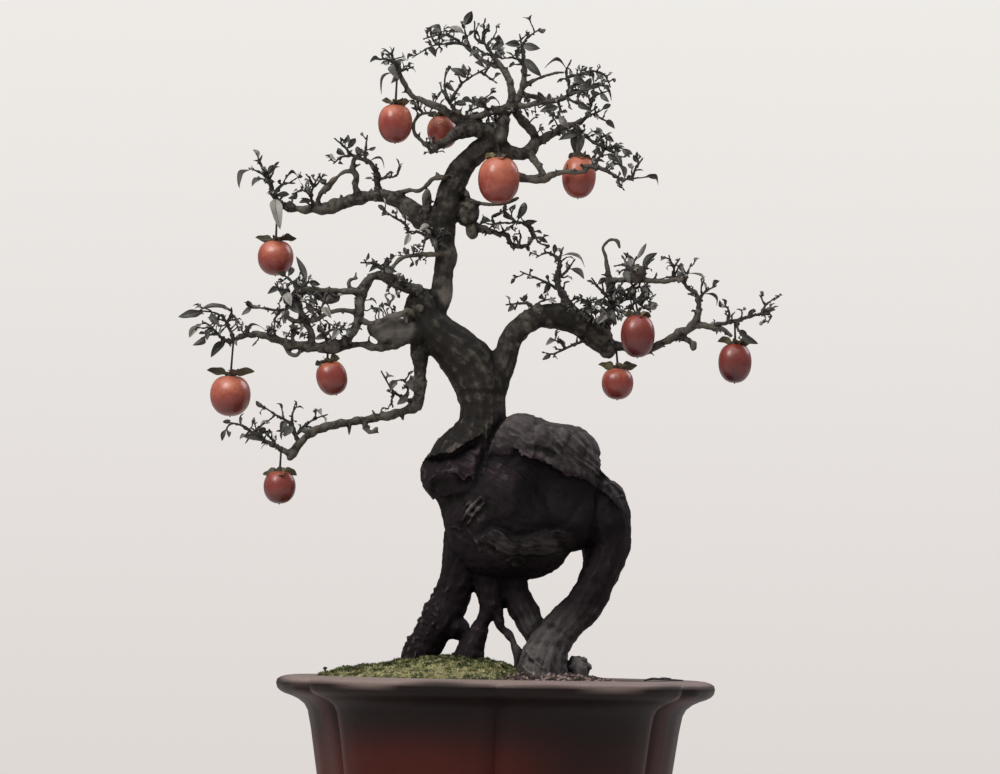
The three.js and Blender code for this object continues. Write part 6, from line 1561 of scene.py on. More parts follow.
    def surface_cords(self, wood: bpy.types.Object, surface: BVHTree, field_of: Grain,
                      habit: random.Random) -> list[Strand]:
        """Walks soft cords over the base, the roots and the trunk along their grain.

        Args:
            wood: The fused wood.
            surface: Search tree of it.
            field_of: Grain field of the limbs.
            habit: Source of the places.

        Returns:
            Strands half sunk in the wood.
        """
        tree, directions, radii, _ = field_of
        mesh = wood.data
        found: list[Strand] = []
        count = len(mesh.vertices)
        while len(found) < self.cords:
            vertex = mesh.vertices[habit.randrange(count)]
            place = vertex.co.copy()
            _, index, _ = tree.find(place)
            if radii[index] < 7.5 or place.z < 0.162:
                continue
            if place.z < 0.35 and place.x > -0.03 and (place.y < 0 or 0.235 < place.z < 0.265):
                continue
            wide = habit.uniform(0.55, 1.15) * (1.3 if place.z < 0.35 else 0.8)
            sign = habit.choice((-1.0, 1.0))
            steps = habit.randint(8, 22)
            strand: Strand = []
            for step in range(steps):
                spot, normal, _, _ = surface.find_nearest(place)
                _, index, _ = tree.find(spot)
                flow = directions[index] * sign
                flow = flow - normal * flow.dot(normal)
                if flow.length < 0.05:
                    break
                swerve = normal.cross(flow) * 0.45 * noise.noise(spot * 60)
                taper = math.sin(math.pi * (step + 0.7) / (steps + 0.4)) ** 0.5
                strand.append(((spot - normal * wide * 0.45 * MM) / MM, wide * taper))
                place = spot + (flow.normalized() + swerve).normalized() * 2.4 * MM
            if len(strand) > 4:
                found.append(strand)
        return found

    def carve_face(self, wood: bpy.types.Object) -> None:
        """Works the folds, ledges and hollows into the face of the base, stroke by stroke.

        Args:
            wood: The fused wood.
        """
        mesh = wood.data
        moved = vertices_of(mesh)
        x, _, z = moved.T / MM
        facing = (-1.6 * normals_of(mesh)[:, 1]).clip(0, 1) * (z < self.base_top)
        for above, below, up, down, ragged, points in FACE_STROKES:
            line = [place for place, _ in smooth_curve([[a, 0, b, 1.0] for a, b in points], SAMPLES)]
            near = (facing > 0) & (x > min(p.x for p in line) - 30) & (x < max(p.x for p in line) + 30)
            for i in np.nonzero(near)[0]:
                spot = Vector((x[i], 0, z[i]))
                k = min(range(len(line)), key=lambda n: (line[n] - spot).length_squared)
                run = (line[min(k + 1, len(line) - 1)] - line[max(k - 1, 0)]).normalized()
                off = spot - line[k]
                away = off.length
                if away > 2.4 * max(up, down):
                    continue
                side = (run.x * off.z - run.z * off.x) + ragged * noise.noise(spot * 0.45)
                span = (line[-1] - line[0]).length / (len(line) - 1)
                walked = k + off.dot(run) / max(span, 0.1)
                end = clamp((min(walked, len(line) - 1 - walked) + 2.0) / 5.0)
                if side >= 0:
                    rise = above * math.exp(-((away / up) ** 2))
                else:
                    rise = below * math.exp(-((away / down) ** 2))
                moved[i, 1] -= rise * end * facing[i] * MM
        place_vertices(mesh, moved)

    def fuse(self, parts: Sequence[bpy.types.Object], rounds: int) -> bpy.types.Object:
        """Fuses overlapping solids into one skin and softens their joints.

        Args:
            parts: Closed overlapping solids.
            rounds: Smoothing rounds.

        Returns:
            The fused object.
        """
        wood = merged(parts, "trunk_wood")
        wood.data.remesh_voxel_size = self.voxel * MM
        take(wood)
        bpy.ops.object.voxel_remesh()
        modify(wood, "SMOOTH", factor=0.5, iterations=rounds)
        return wood

    def crests(self, wood: bpy.types.Object) -> np.ndarray:
        """Measures how far each place stands above its softened surroundings.

        Args:
            wood: The finished wood.

        Returns:
            Height in millimetres, negative in hollows.
        """
        mesh = wood.data
        places = vertices_of(mesh)
        edges = np.empty(len(mesh.edges) * 2, dtype=np.int64)
        mesh.edges.foreach_get("vertices", edges)
        first, second = edges.reshape(-1, 2).T
        share = np.bincount(np.concatenate([first, second]), minlength=len(places)).clip(1)[:, None]
        soft = places.copy()
        for _ in range(self.crest_rounds):
            total = np.zeros_like(soft)
            for axis in range(3):
                total[:, axis] = np.bincount(first, soft[second, axis], len(soft))
                total[:, axis] += np.bincount(second, soft[first, axis], len(soft))
            soft = total / share
        return ((places - soft) * normals_of(mesh)).sum(axis=1) / MM

    def roughen(self, wood: bpy.types.Object, field_of: Grain) -> None:
        """Gives the skin its crags, plates, fibres and pits, drawn out along the grain.

        Args:
            wood: The fused wood.
            field_of: Grain field of the limbs.
        """
        tree, directions, radii, places = field_of
        mesh = wood.data
        moved = vertices_of(mesh)
        for vertex in mesh.vertices:
            place = vertex.co
            _, index, _ = tree.find(place)
            centre, walked = places[index]
            along = directions[index]
            offset = place - centre
            axial = offset.dot(along)
            drawn = offset - along * axial + Vector((0.7, 0.31, 1.0)) * (walked + axial) * 0.2
            radius = radii[index]
            # The broad base is craggy, and the limbs above it only fibrous
            base = clamp((0.356 - place.z) / 0.02)
            weight = min(1.0, radius / 12)
            fibre = noise.fractal(drawn * 330, 0.8, 2.1, 3) * (0.3 * base + 0.2)
            # The right leg is smooth, and the brow below the trunk is calm
            smooth = clamp((0.222 - place.z) / 0.02) if place.x > 0.008 else 0.0
            base *= 1 - 0.75 * smooth
            calm = 0.25 if place.z > 0.318 and -0.01 < place.x < 0.024 else 1.0
            crag = (noise.fractal(place * 34, 0.9, 2.2, 3) - 0.35) * 1.4 * base * calm
            (near, far, *_), _ = noise.voronoi(place * 62 + noise.noise_vector(place * 40) * 0.35)
            ledge = min(1.0, max(0.12, (place.z - 0.3) / 0.02)) if place.x > 0.01 else 0.35
            plate = (min(0.35, far - near) - 0.25) * 4.0 * base * ledge * calm
            # Burrs on the outer side of the left leg, and soft ones on the limbs
            outer = vertex.normal.x < -0.2 and place.x < -0.03 and place.z < 0.225
            burr = max(0.0, noise.noise(place * 330)) * 2.6 * base if outer else 0.0
            burr += 0.45 * noise.noise(place * 120) * (radius > 5 and place.z > 0.356)
            reach = (fibre + crag + plate + burr) * weight
            knotty = 1.0 if radius < 7 else 0.45
            bumps = 0.62 * noise.noise(place * 250) + 0.25 * noise.noise(place * 560)
            reach += bumps * min(1.0, radius / 2.4) * knotty
            moved[vertex.index] += np.array(vertex.normal) * reach * MM
        place_vertices(mesh, moved)

    def stain(self, wood: bpy.types.Object, field_of: Grain) -> None:
        """Stores painted highlight on crests and painted shade in hollows, and where the wood is olive, carries dust,
        is thin or is bare, with painted highlight on some upward faces.

        Args:
            wood: The finished wood.
            field_of: Grain field of the limbs.
        """
        tree, _, radii, _ = field_of
        mesh = wood.data
        height = self.crests(wood)
        places = vertices_of(mesh)
        x, y, z = places.T / MM
        finds = [tree.find(v.co) for v in mesh.vertices]
        limb = np.array([radii[index] + 20 * (away > 1.9 * radii[index] * MM) for _, index, away in finds])
        lit = normals_of(mesh)[:, 2].clip(0, 1)
        # Height of the overhanging lip at the left, whose top is painted olive-grey as highlight, then olive bark above
        # it, on the trunk and on the limbs
        lip = np.interp(x, [-57, -52, -45, -37, -31, -25, -20, -13], [309, 314, 316.4, 317.6, 320, 324, 326.5, 331])
        hood_highlight = np.clip((z - lip) / 2.5, 0, 1) * (x < -4) * (z < 352) * 0.9
        upper = np.maximum.reduce([np.clip((z - 340) / 16, 0, 1), hood_highlight, (x < -66) * 1.0])
        foot = np.clip((216 - z) / 34, 0, 1) * np.clip((x - 8) / 14, 0, 1) * np.clip((18 - y) / 20, 0, 1)
        # Height of the brow at the right: dust lies above it, with painted highlight on upward faces, and on the roll
        # below, and its underside is painted dark as shade
        brow = np.interp(x, [-10, 4, 12, 23, 31, 38, 60, 84], [316, 322, 322, 316, 313, 308, 303, 284])
        ledge = np.clip((z - brow) / 4, 0, 1) * np.clip((x + 8) / 6, 0, 1) * (z < 360) * (0.2 + 0.35 * lit)
        roll = np.exp(-(((z - 256) / 7) ** 2)) * np.clip((x + 14) / 12, 0, 1) * np.clip((54 - x) / 14, 0, 1) * (y < 0)
        # Painted shade under the brow
        under = np.clip((brow - z) / 5, 0, 1) * np.clip((x - 6) / 14, 0, 1) * np.clip((z - 262) / 8, 0, 1) * (y < 0)
        pale = np.zeros(len(places))
        for centre, radius in PALE_SPOTS:
            away = np.linalg.norm((places / MM - np.array(centre)) * (1, 0.5, 1), axis=1)
            share = np.clip(0.1 + 0.5 * height, 0, 0.3) if centre[2] < 300 else 0.6
            pale = np.maximum(pale, np.clip((radius - away) / 3.0, 0, 1) * share)
        # Crest: painted highlight on crests and painted shade in hollows from the relief, more painted shade under the
        # brow, lowered below 300 mm
        set_attribute(mesh, "crest", np.clip(0.42 + height * 0.3 - 0.3 * under - 0.1 * (z < 300), 0, 1))
        set_attribute(mesh, "upper", upper)
        set_attribute(mesh, "dust_and_highlight", np.clip(np.maximum.reduce([foot, ledge, roll * 0.55]), 0, 1))
        set_attribute(mesh, "pale", pale)
        # Lichen on the thin wood, with more on upward faces as painted highlight
        set_attribute(mesh, "thin", np.clip((9 - limb) / 4.5, 0, 1) * (z > 300) * (0.3 + 0.7 * lit))

    def build(self, bark: bpy.types.Material) -> None:
        """Models the wood and dresses it.

        Args:
            bark: Its material.
        """
        habit = random.Random(self.seed)
        roots = sample_limbs([*BASE_LIMBS, *ROOTS])
        branches = sample_limbs(BRANCHES)
        limbs = [self.crooked(strand, habit) for strand in [*roots, *branches]]
        round_limbs = tubes(limbs, "limbs", 4)
        stubs = tubes([*self.knobs(branches, habit), *self.burrs(habit)], "stubs", 2)
        wood = self.fuse([round_limbs, stubs, *self.swellings()], 3)
        field_of = self.grain_field([*roots, *branches])
        self.carve_face(wood)
        surface = self.surface(wood)
        cords = [*self.front_ridges(surface), *self.surface_cords(wood, surface, field_of, habit)]
        wood = self.fuse([wood, tubes(cords, "cords", 2)], 2)
        self.roughen(wood, field_of)
        self.stain(wood, field_of)
        wood.data.calc_loop_triangles()
        modify(wood, "DECIMATE", ratio=self.triangles / len(wood.data.loop_triangles))
        finish_piece(wood, Slot.BARK, [bark], ["trunk"], angle=60.0)


@dataclass
class Fruit:
    """A ripe berry under its four-lobed calyx, hung on a thin stalk."""

    number: int
    centre: tuple[float, float, float]
    half: tuple[float, float]
    lean: float
    stalk_to: tuple[float, float, float]
    rise: float
    ripeness: float
    spread: float = 1.1
    sepal_width: float = 7.8
    sepal_arch: float = -1.1

    @property
    def tag(self) -> str:
        """Two digits of the fruit's number."""
        return f"{self.number:02d}"

    def place(self, point: Vector) -> Vector:
        """Takes a point of the upright fruit to where it hangs."""
        return Matrix.Rotation(math.radians(self.lean), 3, "Y") @ point + Vector(self.centre)

    def outline(self) -> list[tuple[float, float]]:
        """Samples the berry's outline from its point to its flat shoulder."""
        shares = [(0.0, -1.0), (0.28, -0.975), (0.62, -0.82), (0.9, -0.47), (1.0, 0.02), (0.93, 0.42), (0.74, 0.72),
                  (0.45, 0.885), (0.2, 0.9), (0.0, 0.88)]
        rows = smooth_curve([[r, 0, z, 1] for r, z in shares], 4)
        return [(max(0.0, p.x), p.z) for p, _ in rows]

    def build_berry(self, skin: bpy.types.Material) -> None:
        """Models the berry from a sphere whose rings follow the outline.

        Args:
            skin: Its material.
        """
        outline = self.outline()
        last = len(outline) - 1
        berry = primitive(bpy.ops.mesh.primitive_uv_sphere_add, segments=40, ring_count=last, radius=1)
        berry.name = f"ripe_berry_{self.tag}"
        mesh = berry.data
        habit = random.Random(self.number)
        phase = habit.uniform(0, 6.28)
        ripe = []
        for vertex in mesh.vertices:
            ring = round((1 - math.acos(max(-1.0, min(1.0, vertex.co.z))) / math.pi) * last)
            angle = math.atan2(vertex.co.y, vertex.co.x)
            radius, height = outline[ring]
            lobed = 1 + 0.018 * math.cos(4 * angle + phase) * radius + 0.012 * math.sin(2 * angle + phase)
            wide = radius * self.half[0] * lobed
            spot = Vector((wide * math.cos(angle), wide * math.sin(angle), height * self.half[1]))
            vertex.co = self.place(spot) * MM
            # The ripe value rises up the berry: painted light on the top and painted shade below, plus the berry's
            # ripeness
            ripe.append(0.5 * (height + 1) / 2 + self.ripeness * 0.55 - 0.08)
        set_attribute(mesh, "ripe", ripe)
        bottom = self.place(Vector((0, 0, -self.half[1])))
        tip = tubes([[(bottom + UP * 0.6, 0.7), (bottom - UP * 0.15, 0.55), (bottom - UP * 0.7, 0.2)]], "tip")
        set_attribute(tip.data, "ripe", [-0.4] * len(tip.data.vertices))
        finish_piece(merged([berry, tip], berry.name), Slot.BERRY, [skin], [f"berry_{self.tag}"], angle=80.0)

    def build_calyx(self, blade: Shape, skin: bpy.types.Material) -> None:
        """Models the four sepals, the cap between them and the stalk.

        Args:
            blade: The modelled blade.
            skin: Material of the sepals and the stalk.
        """
        habit = random.Random(self.number + 90)
        seat = self.half[1] * 0.91 + 0.4
        sepals = Gathering(f"calyx_lobes_{self.tag}")
        reach = self.half[0] * self.spread
        for k in range(4):
            angle = k * math.pi / 2 + 0.25
            outward = Vector((math.cos(angle), math.sin(angle), 0))
            root = self.place(outward * 1.2 + Vector((0, 0, seat + 0.9)))
            tip = self.place(outward * reach + Vector((0, 0, seat - 0.6 + self.rise)))
            turn = habit.uniform(38, 62) if abs(math.sin(angle)) < 0.8 else habit.uniform(-12, 12)
            lie = lay_blade(root, tip, self.sepal_width, self.sepal_arch, turn, habit, 0.8, 0.6)
            sepals.add(blade, lie, habit.uniform(0.1, 0.9))
        start = self.place(Vector((0, 0, seat + 0.4)))
        end = Vector(self.stalk_to)
        bend = Vector(((start.x + end.x) / 2, (start.y + end.y) / 2, start.z * 0.45 + end.z * 0.55))
        rows = [[*start, 1.3], [*(start + (bend - start) * 0.12), 0.9], [*bend, 0.72],
                [*(bend + (end - bend) * 0.85), 0.8], [*end, 1.1]]
        cap = [(start - UP * 0.8, 4.2), (start + UP * 0.2, 3.7), (start + UP * 1.3, 2.1), (start + UP * 2.4, 1.1)]
        stalk = tubes([smooth_curve(rows, 4), cap], "stalk", 2)
        piece = merged([sepals.make(), stalk], f"calyx_lobes_{self.tag}")
        finish_piece(piece, Slot.CALYX, [skin], [f"calyx_{self.tag}"])


@dataclass
class Pot:
    """Turned pot with six lobes pressed into its wall and a flared, rolled lip."""

    columns: int = 288
    sector: float = 60.0
    crease: float = 5.0
    shoulder: float = 1.5
    floor: float = 14.0
    drain_radius: float = 9.0
    drain_offset: float = 48.0
    # Radius, height and how strongly the lobes shape the wall there
    profile: Points = (
        (109, 0, 0.5), (110.6, 3, 0.6), (116, 40, 0.85), (124.5, 98, 1), (128.6, 126, 1), (131, 138, 1),
        (133.4, 142.4, 1), (138, 146, 1), (143, 148.3, 1), (147.4, 149.7, 1), (150.6, 151.4, 1), (152.6, 153.5, 1),
        (153.4, 157, 1), (152.6, 159.6, 1), (150.5, 161, 1), (146.6, 162.2, 0.9), (142, 162.7, 0.8),
        (138.4, 162.5, 0.7), (136, 161.6, 0.6), (134, 159.9, 0.4), (132.5, 157, 0.3), (129, 149, 0.1), (125, 140, 0),
        (112, 58, 0), (106, 14, 0),
    )

    def lobe(self, degrees: float) -> float:
        """Gives the wall's distance from a plain round one.

        Args:
            degrees: Angle past a crease.

        Returns:
            Millimetres, negative in the crease.
        """
        near = min(degrees % self.sector, self.sector - degrees % self.sector)
        groove = self.crease * max(0.0, 1 - near / 5) ** 1.25
        return self.shoulder * (near / 12 if near < 12 else max(0.0, 1 - (near - 12) / 14)) - groove

    def wall(self) -> bpy.types.Object:
        """Models the wall: a circle, extruded and widened ring by ring, then pressed into lobes.

        Returns:
            The closed pot without its drain holes.
        """
        radius, height, _ = self.profile[0]
        pot = primitive(bpy.ops.mesh.primitive_circle_add, vertices=self.columns, radius=radius * MM,
                        fill_type="NOTHING", location=(0, 0, height * MM))
        bpy.ops.object.mode_set(mode="EDIT")
        bpy.ops.mesh.select_all(action="SELECT")
        for (r0, z0, _), (r1, z1, _) in zip(self.profile, self.profile[1:]):
            bpy.ops.mesh.extrude_edges_move(TRANSFORM_OT_translate={"value": (0, 0, (z1 - z0) * MM)})
            bpy.ops.transform.resize(value=(r1 / r0, r1 / r0, 1), center_override=(0, 0, z1 * MM))
        bpy.ops.mesh.extrude_edges_move()
        bpy.ops.transform.resize(value=(0.7, 0.7, 1), center_override=(0, 0, self.profile[-1][1] * MM))
        bpy.ops.mesh.edge_face_add()
        bpy.ops.mesh.select_all(action="DESELECT")
        bpy.ops.object.mode_set(mode="OBJECT")
        for edge in pot.data.edges:
            ends = [pot.data.vertices[i] for i in edge.vertices]
            edge.select = all(v.co.z < 0.0001 for v in ends)
        bpy.ops.object.mode_set(mode="EDIT")
        bpy.ops.mesh.select_mode(type="EDGE")
        bpy.ops.mesh.edge_face_add()
        bpy.ops.mesh.select_all(action="SELECT")
        bpy.ops.mesh.normals_make_consistent(inside=False)
        bpy.ops.object.mode_set(mode="OBJECT")
        return pot

    def press_lobes(self, pot: bpy.types.Object) -> None:
        """Presses the six crease grooves into the wall and stores the painted highlights beside each crease and on the
        lip.

        Args:
            pot: The round pot.
        """
        rows = [(Vector((r, 0, z)), share) for r, z, share in self.profile]
        rib_highlight_shares, lip_highlight_shares = [], []
        for vertex in pot.data.vertices:
            x, y, z = vertex.co / MM
            radius = math.hypot(x, y)
            share = min(rows, key=lambda row: (row[0].x - radius) ** 2 + (row[0].z - z) ** 2)[1]
            degrees = (math.degrees(math.atan2(y, x)) + 90) % self.sector
            inner = radius < 104 or (z < 1 and radius < 108)
            reach = radius + (0 if inner else share * self.lobe(degrees))
            vertex.co.x *= reach / max(radius, 1e-6)
            vertex.co.y *= reach / max(radius, 1e-6)
            near = min(degrees, self.sector - degrees)
            outside = radius > 108 and share > 0.45
            front = math.exp(-((x / 60) ** 2)) if y < 0 else 0.0
            # Painted highlight beside each crease, faint at the front
            rib_highlight_shares.append(0.6 * (1 - front) * math.exp(-(((near - 3.5) / 2.4) ** 2)) if outside and z < 152 else 0.0)
            # The lip's painted highlight ends in a wavy line
            wave = 1.3 * math.sin(5 * math.atan2(y, x) + 0.6) + 1.1 * math.sin(11 * math.atan2(y, x))
            lip_highlight_shares.append(clamp((z - 157.2 + wave) / 3) if radius > 134 else 0.0)
        set_attribute(pot.data, "crease", rib_highlight_shares)
        set_attribute(pot.data, "lip", lip_highlight_shares)

    def drill(self, pot: bpy.types.Object) -> None:
        """Cuts the two drain holes through the floor.

        Args:
            pot: The closed pot.
        """
        for x in (-self.drain_offset, self.drain_offset):
            drill = primitive(bpy.ops.mesh.primitive_cylinder_add, vertices=48, radius=self.drain_radius * MM,
                              depth=0.06, location=(x * MM, 0, 0))
            modify(pot, "BOOLEAN", operation="DIFFERENCE", object=drill, solver="EXACT")
            bpy.data.objects.remove(drill)

    def build(self, clay: bpy.types.Material, plastic: bpy.types.Material) -> None:
        """Models the pot and dresses its drain screens.

        Args:
            clay: Material of the pot.
            plastic: Material of the screens.
        """
        pot = self.wall()
        pot.name = "stoneware_pot"
        self.press_lobes(pot)
        self.drill(pot)
        finish_piece(pot, Slot.CLAY, [clay], ["pot"], angle=38.0)
        for node in ("drain_screen_left", "drain_screen_right"):
            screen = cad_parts[node]
            screen.data.materials.clear()
            screen.data.materials.append(plastic)


@dataclass
class Bed:
    """Soil of the pot with its moss cushion, grit and weeds."""

    columns: int = 120
    rim: float = 126.0
    shoots: int = 12500
    grains: int = 2600
    moss_centre: tuple[float, float] = (-52.0, -12.0)
    moss_half: tuple[float, float] = (72.0, 88.0)
    moss_level: float = 160.5
    # Radius and height of the soil's body
    profile: Points = ((2, 16.4), (105, 16.4), (117.2, 100), (124.2, 140), (127.5, 148), (121, 151.6), (112, 155),
                       (100, 157.6), (88, 160), (70, 161.8), (50, 163), (30, 163.8), (12, 164.3), (3, 164.5))

    # Place and height of each weed
    weed_places: Points = ((-102, -58, 7), (-93, -52, 9), (-108, -50, 6), (-16, -44, 5), (-4, -48, 4.5),
                           (-118, -30, 6), (-60, 40, 7), (-28, 52, 6), (4, -40, 6), (-84, -64, 4), (30, 58, 5))

    def mound(self, x: float, y: float) -> float:
        """Gives the height of the heaped earth above its plain round profile."""
        heap = 5 * math.exp(-((x + 25) ** 2 + y**2) / 2600)
        return heap + 3 * math.exp(-((x - 42) ** 2 + (y + 12) ** 2) / 900)

    def soil_top(self, x: float, y: float) -> float:
        """Gives the soil's height at a place, in millimetres."""
        radius = math.hypot(x, y)
        rows = sorted(row for row in self.profile[4:])
        for (r0, z0), (r1, z1) in zip(rows, rows[1:]):
            if radius <= r1:
                return z0 + (z1 - z0) * max(0.0, radius - r0) / (r1 - r0) + self.mound(x, y)
        return rows[-1][1]

    def moss_top(self, x: float, y: float) -> float:
        """Gives the height of the moss cushion at a place, or 0 beyond its edge."""
        (middle_x, middle_y), (half_x, half_y) = self.moss_centre, self.moss_half
        flat = ((x - middle_x) / half_x) ** 2 + ((y - middle_y) / half_y) ** 2
        if flat >= 1:
            return 0.0
        crest = math.exp(-((x + 18) ** 2) / 5200 - (y - 6) ** 2 / 7000)
        clump = 3.2 * noise.noise(Vector((x, y, 0)) * 0.09) + 2.2 * noise.noise(Vector((x, y, 4)) * 0.26)
        return self.moss_level + (5 + 12 * crest + clump) * (1 - flat) ** 0.3

    def build_soil(self, material: bpy.types.Material) -> None:
        """Models the soil's body from a ring that is extruded row by row.

        Args:
            material: Its material.
        """
        radius, height = self.profile[0]
        soil = primitive(bpy.ops.mesh.primitive_circle_add, vertices=self.columns, radius=radius * MM,
                         fill_type="NGON", location=(0, 0, height * MM))
        soil.name = "soil_bed"
        bpy.ops.object.mode_set(mode="EDIT")
        bpy.ops.mesh.select_all(action="SELECT")
        for (r0, z0), (r1, z1) in zip(self.profile, self.profile[1:]):
            bpy.ops.mesh.extrude_region_move(TRANSFORM_OT_translate={"value": (0, 0, (z1 - z0) * MM)})
            bpy.ops.transform.resize(value=(r1 / r0, r1 / r0, 1), center_override=(0, 0, z1 * MM))
        bpy.ops.mesh.select_all(action="SELECT")
        bpy.ops.mesh.normals_make_consistent(inside=False)
        bpy.ops.object.mode_set(mode="OBJECT")
        tones = []
        for vertex in soil.data.vertices:
            x, y, z = vertex.co / MM
            if z > 147:
                vertex.co.z += (self.mound(x, y) + 0.7 * noise.noise(Vector((x, y, z)) * 0.2)) * MM
            tones.append(0.1 + 0.3 * noise.noise(vertex.co * 90))
        set_attribute(soil.data, "tone", tones)
        finish_piece(soil, Slot.SOIL, [material], ["soil"], angle=70.0)

    def build_grit(self, crumb: Shape, material: bpy.types.Material) -> None:
        """Scatters crumbs of fired clay over the open soil, thickest right of the foot.

        Args:
            crumb: The modelled crumb.
            material: Their material.
        """
        habit = random.Random(31)
        grit = Gathering("soil_grit")
        placed = 0
        while placed < self.grains:
            if habit.random() < 0.1:
                x, y = habit.uniform(34, 84), habit.uniform(-52, 20)
            else:
                x, y = habit.uniform(-125, 125), habit.uniform(-125, 125)
            top = self.soil_top(x, y)
            if math.hypot(x, y) > self.rim - 2 or self.moss_top(x, y) > top + 0.3:
                continue
            size = habit.uniform(0.7, 1.7)
            turn = Euler(drawn(habit.uniform, (0, 6), (0, 6), (0, 6))).to_matrix()
            seat = Vector((x, y, top + size * 0.25))
            grit.add(crumb, lambda p, s=size, t=turn, c=seat: c + t @ (p * s), habit.uniform(-0.2, 0.75))
            placed += 1
        finish_piece(grit.make(), Slot.SOIL, [material], angle=None)

    def build_moss(self, shoot: Shape, material: bpy.types.Material) -> None:
        """Models the moss cushion and covers it with shoots.

        Args:
            shoot: The modelled shoot.
            material: Its material.
        """
        cushion = primitive(bpy.ops.mesh.primitive_uv_sphere_add, segments=144, ring_count=96, radius=1)
        (middle_x, middle_y), (half_x, half_y) = self.moss_centre, self.moss_half
        tones = []
        for vertex in cushion.data.vertices:
            x, y, low = middle_x + half_x * vertex.co.x, middle_y + half_y * vertex.co.y, vertex.co.z
            top = self.moss_top(x, y) if low > 0.02 else self.moss_level + 20 * min(0.0, low)
            vertex.co = Vector((x, y, max(top, 140.0))) * MM
            tones.append(0.15 + 0.3 * noise.noise(vertex.co * 140))
        set_attribute(cushion.data, "tone", tones)
        habit = random.Random(12)
        tufts = Gathering("moss_tufts")
        placed = 0
        while placed < self.shoots:
            x, y = habit.uniform(-124, 20), habit.uniform(-100, 76)
            top = self.moss_top(x, y)
            if top < self.soil_top(x, y) - 0.8:
                continue
            if y > 20 and habit.random() < 0.35:
                continue
            size = habit.uniform(0.9, 2.3)
            lean = Euler(drawn(habit.uniform, (-0.5, 0.5), (-0.5, 0.5), (0, 6.28))).to_matrix()
            seat = Vector((x, y, top - 0.5))
            # Shoots towards the front get a paler tone, a painted highlight
            front = 0.42 * clamp((-30 - y) / 45) - 0.12
            patch = 0.5 * noise.noise(Vector((x, y, 9)) * 0.2) + 0.3 * noise.noise(Vector((x, y, 2)) * 0.5)
            tufts.add(shoot, lambda p, s=size, t=lean, c=seat: c + t @ (p * s),
                      habit.uniform(0.0, 0.5) + front + patch)
            placed += 1
        piece = merged([cushion, tufts.make()], "moss_cushion")
        finish_piece(piece, Slot.MOSS, [material], ["moss"], angle=40.0)

    def build_weeds(self, shapes: Shapes, material: bpy.types.Material, bark: bpy.types.Material) -> None:
        """Models the small weeds of the moss and the dry twig on the rim.

        Args:
            shapes: The modelled blade.
            material: Material of the weeds' leaves.
            bark: Material of the twig.
        """
        habit = random.Random(5)
        weeds = Gathering("weed_leaves")
        stems: list[Strand] = []
        for x, y, tall in self.weed_places:
            ground = max(self.moss_top(x, y), self.soil_top(x, y)) - 0.5
            foot = Vector((x, y, ground))
            for _ in range(3):
                lean = Vector((habit.uniform(-0.5, 0.5), habit.uniform(-0.5, 0.3), 0.8)).normalized()
                head = foot + lean * tall * habit.uniform(0.4, 0.75)
                stems.append([(foot, 0.35), ((foot + head) / 2 + Vector((0.3, 0, 0)), 0.3), (head, 0.25)])
                for _ in range(4):
                    aim = drawn(habit.uniform, (-1, 1), (-1, 1), (0, 0.7)).normalized()
                    weeds.add(shapes.blade, lay_blade(head, head + aim * habit.uniform(1.3, 2.6), 1.3, 0.3,
                                                      habit.uniform(-60, 60), habit), habit.uniform(0.1, 0.9))
        piece = merged([weeds.make(), tubes(stems, "weed_stems")], "weeds")
        finish_piece(piece, Slot.MOSS, [material])
        dry = [[103, -24, 162.8, 0.7], [109, -25, 164.2, 0.9], [116, -27, 163.8, 0.7], [123, -28, 163.6, 0.8],
               [130, -30, 163.4, 0.5]]
        fork = [[112, -26, 164.0, 0.6], [117, -22, 164.8, 0.5], [122, -20, 164.4, 0.35]]
        twig = tubes(sample_limbs([dry, fork]), "dry_twig")
        finish_piece(twig, Slot.BARK, [bark])

    def build(self, shapes: Shapes, soil: bpy.types.Material, moss: bpy.types.Material, weed: bpy.types.Material,
              bark: bpy.types.Material) -> None:
        """Models the bed from its soil up.

        Args:
            shapes: The small repeated shapes.
            soil: Material of the soil and grit.
            moss: Material of the moss.
            weed: Material of the weeds.
            bark: Material of the dry twig.
        """
        self.build_soil(soil)
        self.build_grit(shapes.crumb, soil)
        self.build_moss(shapes.shoot, moss)
        self.build_weeds(shapes, weed, bark)


